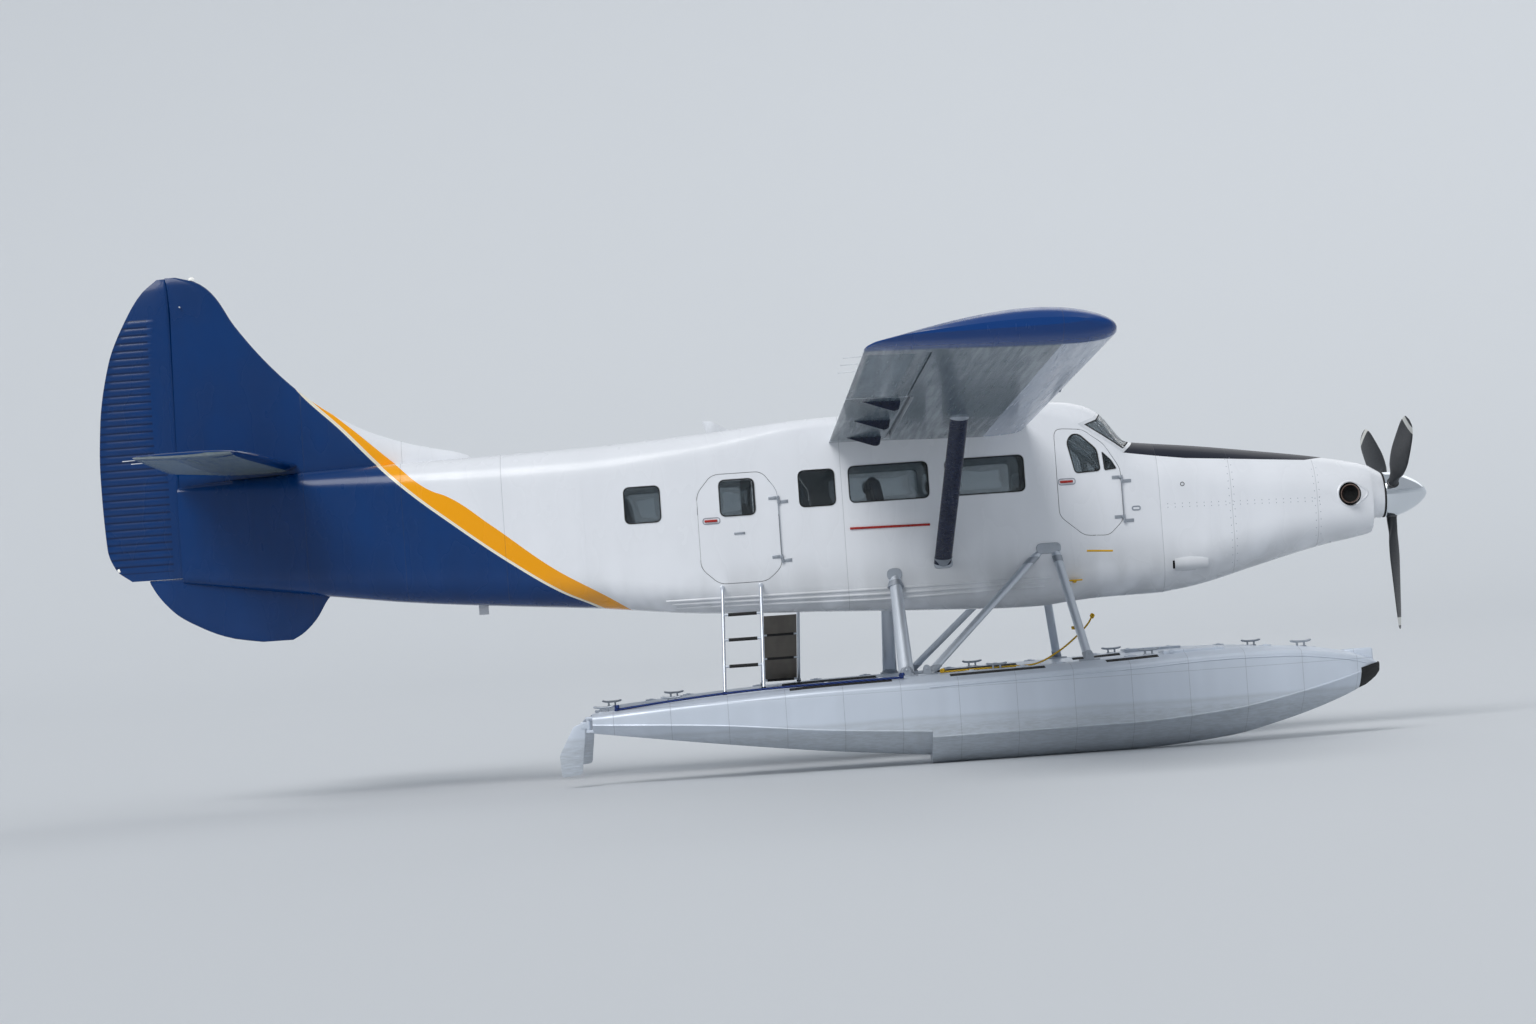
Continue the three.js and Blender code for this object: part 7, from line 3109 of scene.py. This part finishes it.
@dataclass
class Ladder:
    """A boarding ladder, hooked to the body under a door and standing on the float."""

    side: Side
    head_x: float
    foot_x: float
    heights: tuple
    plated: bool = False
    width: float = 0.385
    rail: float = 0.017
    rung: float = 0.013
    head: tuple = (0.868, 1.882)
    foot: tuple = (1.395, 0.800)
    hook_z: float = 1.862

    def at(self, z: float, across: float = 0.0, off: float = 0.0) -> Point:
        """Give a point of the ladder's plane.

        Args:
            z: Its height.
            across: How far along the rungs.
            off: How far out of the plane.

        Returns:
            The point.
        """
        t = (self.head[1] - z) / (self.head[1] - self.foot[1])
        y = self.head[0] + (self.foot[0] - self.head[0]) * t + off
        return (self.head_x + (self.foot_x - self.head_x) * t + across, self.side.value * y, z)

    def back(self) -> list[Obj]:
        """Make the plate behind the rungs, with three beads.

        Returns:
            The plate's pieces.
        """
        spots = ((0.02, 0.0), (self.width - 0.02, 0.0), (self.width - 0.02, 0.005), (0.02, 0.005))
        rings = [[self.at(z, w, -0.004 - d) for w, d in spots] for z in np.linspace(0.890, 1.560, 9)]
        sheet = soften(skin(rings), 0.0015, 1)
        beads = [block(self.at(z, 0.03, -0.012), self.at(z + 0.012, self.width - 0.03, 0.0), 0.002, 1)
                 for z in (1.0, 1.25, 1.48)]
        return [sheet, *beads]

    def build(self) -> None:
        """Make the rails with their hooks, the treads, the shoes and the back."""
        floats, sign, word = Floats(), self.side.value, self.side.word
        rails, treads, shoes = [], [], []
        for w in (0.0, self.width):
            x, z = self.head_x + w, self.hook_z
            hook = SKIN.side(x, z) + 0.002
            low = self.at(floats.deck(self.foot_x + w, self.foot[0] - floats.y) + 0.004, w)
            path = [low, self.at(1.80, w), self.at(1.848, w), (x, sign * (self.head[0] - 0.012), 1.866),
                    (x, sign * (hook + 0.02), 1.864), (x, sign * hook, z)]
            rails.append(tube(route(path, 26), self.rail, 18))
            rails.append(rod((x, sign * (hook - 0.002), z), (x, sign * (hook + 0.010), z), 0.025, 20, 0.004))
            shoes.append(rod(low, (low[0], low[1], low[2] + 0.034), self.rail + 0.006, 20, 0.004))
        for z in self.heights:
            treads.append(rod(self.at(z, 0.05), self.at(z, self.width - 0.05), self.rung + 0.004, 20, 0.002))
            rails.append(rod(self.at(z), self.at(z, self.width), self.rung, 18))
        deliver(f"ladder_rails_{word}", rails, Finishes.aluminium, f"ladder_{word}")
        deliver(f"ladder_treads_{word}", treads, Finishes.grip)
        deliver(f"ladder_shoes_{word}", shoes, Finishes.rubber)
        if self.plated:
            deliver(f"ladder_plate_{word}", self.back(), Finishes.plate)


# Inside the cabin


@dataclass
class Interior:
    """The floor, seats and instrument panel."""

    floor_top: float = 1.900
    rows: tuple = (
        # x, the seats' places across
        (2.330, (-0.520, 0.105, 0.540)), (1.560, (-0.520, 0.105, 0.540)), (0.800, (-0.520, 0.105, 0.540)),
        (-0.980, (-0.460, 0.060, 0.485)),
    )
    rails: tuple = (-0.490, 0.085, 0.510)
    crew: tuple = (3.220, 0.400)
    pads: tuple = (
        # lowest corner, highest corner, lean
        ((-0.430, -0.205, 2.215), (0.0, 0.205, 2.318), 0.0),
        ((-0.428, -0.205, 2.290), (-0.345, 0.205, 2.890), 0.100),
        ((-0.545, -0.13, 2.74), (-0.445, 0.13, 2.895), 0.01),
    )
    leg: tuple = (
        (-0.36, 1.922), (-0.34, 2.10), (-0.30, 2.195), (-0.10, 2.195), (-0.06, 2.10), (-0.05, 1.922),
    )
    arm: tuple = ((-0.36, 2.24), (-0.36, 2.44), (-0.33, 2.48), (-0.10, 2.49), (-0.07, 2.47))
    strap: tuple = ((-0.30, 0.19, 2.332), (-0.24, 0.12, 2.336), (-0.20, 0.05, 2.337), (-0.19, 0.02, 2.336))
    strap_rows: tuple = ((-0.022, 0), (0.022, 0), (0.022, 0.003), (-0.022, 0.003))
    bezel: tuple = ((0.0, 0.034), (0.0, 0.044), (0.006, 0.044), (0.008, 0.040), (0.004, 0.034), (0.0, 0.034))
    dial: tuple = ((-0.003, 0.036), (0.001, 0.036), (0.0015, 0.020), (0.0015, 0.0))
    wheel: tuple = (
        (3.385, -0.13, 2.62), (3.385, -0.14, 2.56), (3.390, -0.10, 2.52), (3.395, 0.0, 2.53),
        (3.390, 0.10, 2.52), (3.385, 0.14, 2.56), (3.385, 0.13, 2.62),
    )

    @staticmethod
    def blown(obj: Obj) -> None:
        """Blow a pad up as cloth with pressure, by at most 16 mm.

        Args:
            obj: The pad.
        """
        before = points_of(obj)
        cloth = obj.modifiers.new("cloth", "CLOTH")
        cloth.settings.use_pressure, cloth.settings.uniform_pressure_force = True, 4.0
        cloth.settings.effector_weights.gravity = 0.0
        cloth.settings.quality = 4
        for number in range(1, 21):
            bpy.context.scene.frame_set(number)
        pick(obj)
        bpy.ops.object.modifier_apply(modifier=cloth.name)
        bpy.context.scene.frame_set(1)
        moved = points_of(obj) - before
        reach = np.linalg.norm(moved, axis=1)[:, None] + 1e-9
        move_points(obj, before + moved / reach * np.minimum(reach, 0.016))

    def pad(self, low: Point, high: Point, lean: float) -> Obj:
        """Stuff a cushion: a soft block blown up as cloth, with a crown and two sewn channels.

        Args:
            low: Lowest corner.
            high: Highest corner.
            lean: How far its top leans back.

        Returns:
            The cushion.
        """
        low, high, inset = np.array(low), np.array(high), 0.014
        obj = applied(block(low + inset, high - inset, 0.022, 3), "REMESH", mode="VOXEL", voxel_size=0.018)
        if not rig.quick():
            self.blown(obj)
        points, size = points_of(obj), (high - low) / 2
        away = (points - (low + high) / 2) / size
        thin = int(np.argmin(size))
        wide, tall = (np.abs(away[:, i]) for i in range(3) if i != thin)
        edge = np.maximum(wide, tall)
        crown = 0.010 * (1 - np.clip(edge, 0, 1) ** 2)
        channel = 0.006 * np.exp(-((wide - 0.42) / 0.045) ** 2) * (edge < 0.92)
        points[:, thin] += np.sign(away[:, thin]) * (crown - channel) * (np.abs(away[:, thin]) > 0.5)
        points[:, 0] -= lean * (points[:, 2] - low[2]) / (high[2] - low[2])
        move_points(obj, np.clip(points, low - (0.2, 0.01, 0.0), high + (0.0, 0.01, 0.01)))
        return obj

    def seat_model(self) -> dict[str, Obj]:
        """Model one seat at the origin: pads, frame and belt.

        Returns:
            The three pieces by kind.
        """
        pads = join(*[self.pad(*numbers) for numbers in self.pads])
        frame = [block((-0.42, -0.19, 2.190), (-0.02, 0.19, 2.216), 0.006)]
        for y in (-0.15, 0.15):
            frame.append(tube(route([(x, y, z) for x, z in self.leg], 30), 0.012, 12))
            frame.append(block((-0.40, y - 0.018, 1.9005), (-0.01, y + 0.018, 1.924)))
        for y in (-0.212, 0.212):
            frame.append(tube(route([(x, y, z) for x, z in self.arm], 24), 0.010, 12))
        belt = [skin([[(x, s * y + w, z + up) for w, up in self.strap_rows] for x, y, z in self.strap])
                for s in (-1, 1)]
        return {"pads": pads, "frame": join(*frame), "belt": join(*belt)}

    def seats(self) -> None:
        """Copy the seat to its places."""
        model = self.seat_model()
        groups = {"passenger": ("passenger_seats", [(x, y) for x, ys in self.rows for y in ys])}
        for side in Side:
            spot = (self.crew[0], side.value * self.crew[1])
            groups[f"crew_{side.word}"] = (f"crew_seat_{side.word}", [spot])
        finishes = {"pads": Finishes.seat, "frame": Finishes.dull, "belt": Finishes.belt}
        for group, (node, spots) in groups.items():
            for kind, finish in finishes.items():
                piece = join(*[twin(model[kind], (x, y, 0)) for x, y in spots])
                nodes = [node] if kind == "pads" else []
                if kind == "pads":
                    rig.padded(piece, fill=0.6)
                deliver(f"{group}_seat_{kind}", piece, finish, *nodes, smooth=40)
        for obj in model.values():
            bpy.data.objects.remove(obj, do_unlink=True)
        low, high = self.floor_top, self.floor_top + 0.008
        rails = [block((-1.50, y - 0.02, low), (2.30, y + 0.02, high), 0.003, 1) for y in self.rails]
        deliver("seat_rails", rails, Finishes.aluminium, slot="seat_trim")

    def floor(self) -> None:
        """Lay the floor boards with their carpet."""
        rings, high = [], self.floor_top
        low = high - 0.029
        for x in np.linspace(-1.82, 3.60, 24):
            y = SKIN.side(x, high - 0.02) - 0.037
            rings.append([(x, -y, low), (x, y, low), (x, y, high), (x, 0, high), (x, -y, high)])
        deliver("cabin_floor_board", soften(skin(rings), 0.003, 1, 60), Finishes.carpet, "cabin_floor")

    def panel(self) -> None:
        """Make the instrument panel with its shade, dials and screens."""
        side = [(SKIN.side(3.575, z) - 0.040, z) for z in np.linspace(2.385, 2.90, 8)]
        outline = [*[(-y, z) for y, z in side[::-1]], *side]
        board = soften(skin([[(x, y, z) for y, z in outline] for x in (3.545, 3.605)]), 0.006, 2, 50)
        deliver("panel_board", board, Finishes.panel, "instrument_panel")
        shade = block((3.47, -0.56, 2.905), (3.66, 0.56, 2.925), 0.008, 3)
        deliver("panel_shade", shade, Finishes.rubber, slot="panel_trim")
        bezels, faces = [], []
        for sign in (-1, 1):
            for place in range(6):
                spot = (3.546, sign * (0.24 + 0.105 * (place // 2)), 2.82 - 0.105 * (place % 2))
                bezels.append(lathe(self.bezel, spot, (-1, 0, 0), capped=False))
                faces.append(lathe(self.dial, spot, (-1, 0, 0), 24))
        for z in (2.83, 2.72, 2.62):
            bezels.append(block((3.536, -0.085, z - 0.046), (3.548, 0.085, z + 0.046)))
            faces.append(block((3.533, -0.074, z - 0.036), (3.540, 0.074, z + 0.036), 0.002, 1))
        deliver("panel_bezels", bezels, Finishes.dull, slot="panel_trim")
        deliver("panel_dials", faces, Finishes.dial)

    def controls(self) -> None:
        """Make the control wheels, columns, pedals and the engine's levers."""
        wheels, sticks = [], []
        for y in (-self.crew[1], self.crew[1]):
            sticks.append(rod((3.548, y, 2.52), (3.395, y, 2.54), 0.014, 16, 0.002))
            wheels.append(tube(route([(a, y + b, c) for a, b, c in self.wheel], 40), 0.012, 12))
            for at in (y - 0.10, y + 0.10):
                sticks.append(block((3.500, at - 0.045, 2.02), (3.520, at + 0.045, 2.14), 0.006))
                sticks.append(rod((3.51, at, 2.04), (3.56, at, 1.90), 0.008, 12))
        wheels.append(block((3.40, -0.09, 2.36), (3.55, 0.09, 2.52), 0.02, 3))
        for y in (-0.05, 0.0, 0.05):
            lever = [(3.44, y, 2.50), (3.42, y, 2.58), (3.41, y, 2.60)]
            wheels.append(tube(lever, [0.006, 0.006, 0.012], 12))
        deliver("control_wheels", wheels, Finishes.rubber, slot="panel_trim")
        deliver("control_columns", sticks, Finishes.dull, slot="panel_trim")

    def build(self) -> None:
        """Lay the floor, set the seats, and make the panel and the controls."""
        self.floor()
        self.seats()
        self.panel()
        self.controls()


def main() -> None:
    """Build the aircraft's looks in order and report each piece."""
    logging.basicConfig(level=logging.INFO, format="%(message)s", stream=sys.stdout)
    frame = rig.load()
    LOG.info("frame with %d nodes and %d joints", len(frame["nodes"]), len(frame["joints"]))
    cad_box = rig.bounds()
    assemblies = (
        Studio(), Ropes(), Cabin(), RearFuselage(), Cowling(), Propeller(), Wings(), Tail(), Floats(),
        Ladder(Side.STARBOARD, -0.526, -0.578, (1.590, 1.340, 1.080)),
        Ladder(Side.PORT, -0.105, -0.154, (1.610, 1.360, 1.110, 0.880), plated=True), Interior(),
    )
    for assembly in assemblies:
        assembly.build()
    with open("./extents.json", "w") as file:
        sizes = {"cad": [list(c) for c in cad_box], "visual": [list(c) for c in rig.bounds()]}
        json.dump(sizes, file)


if __name__ == "__main__":
    main()
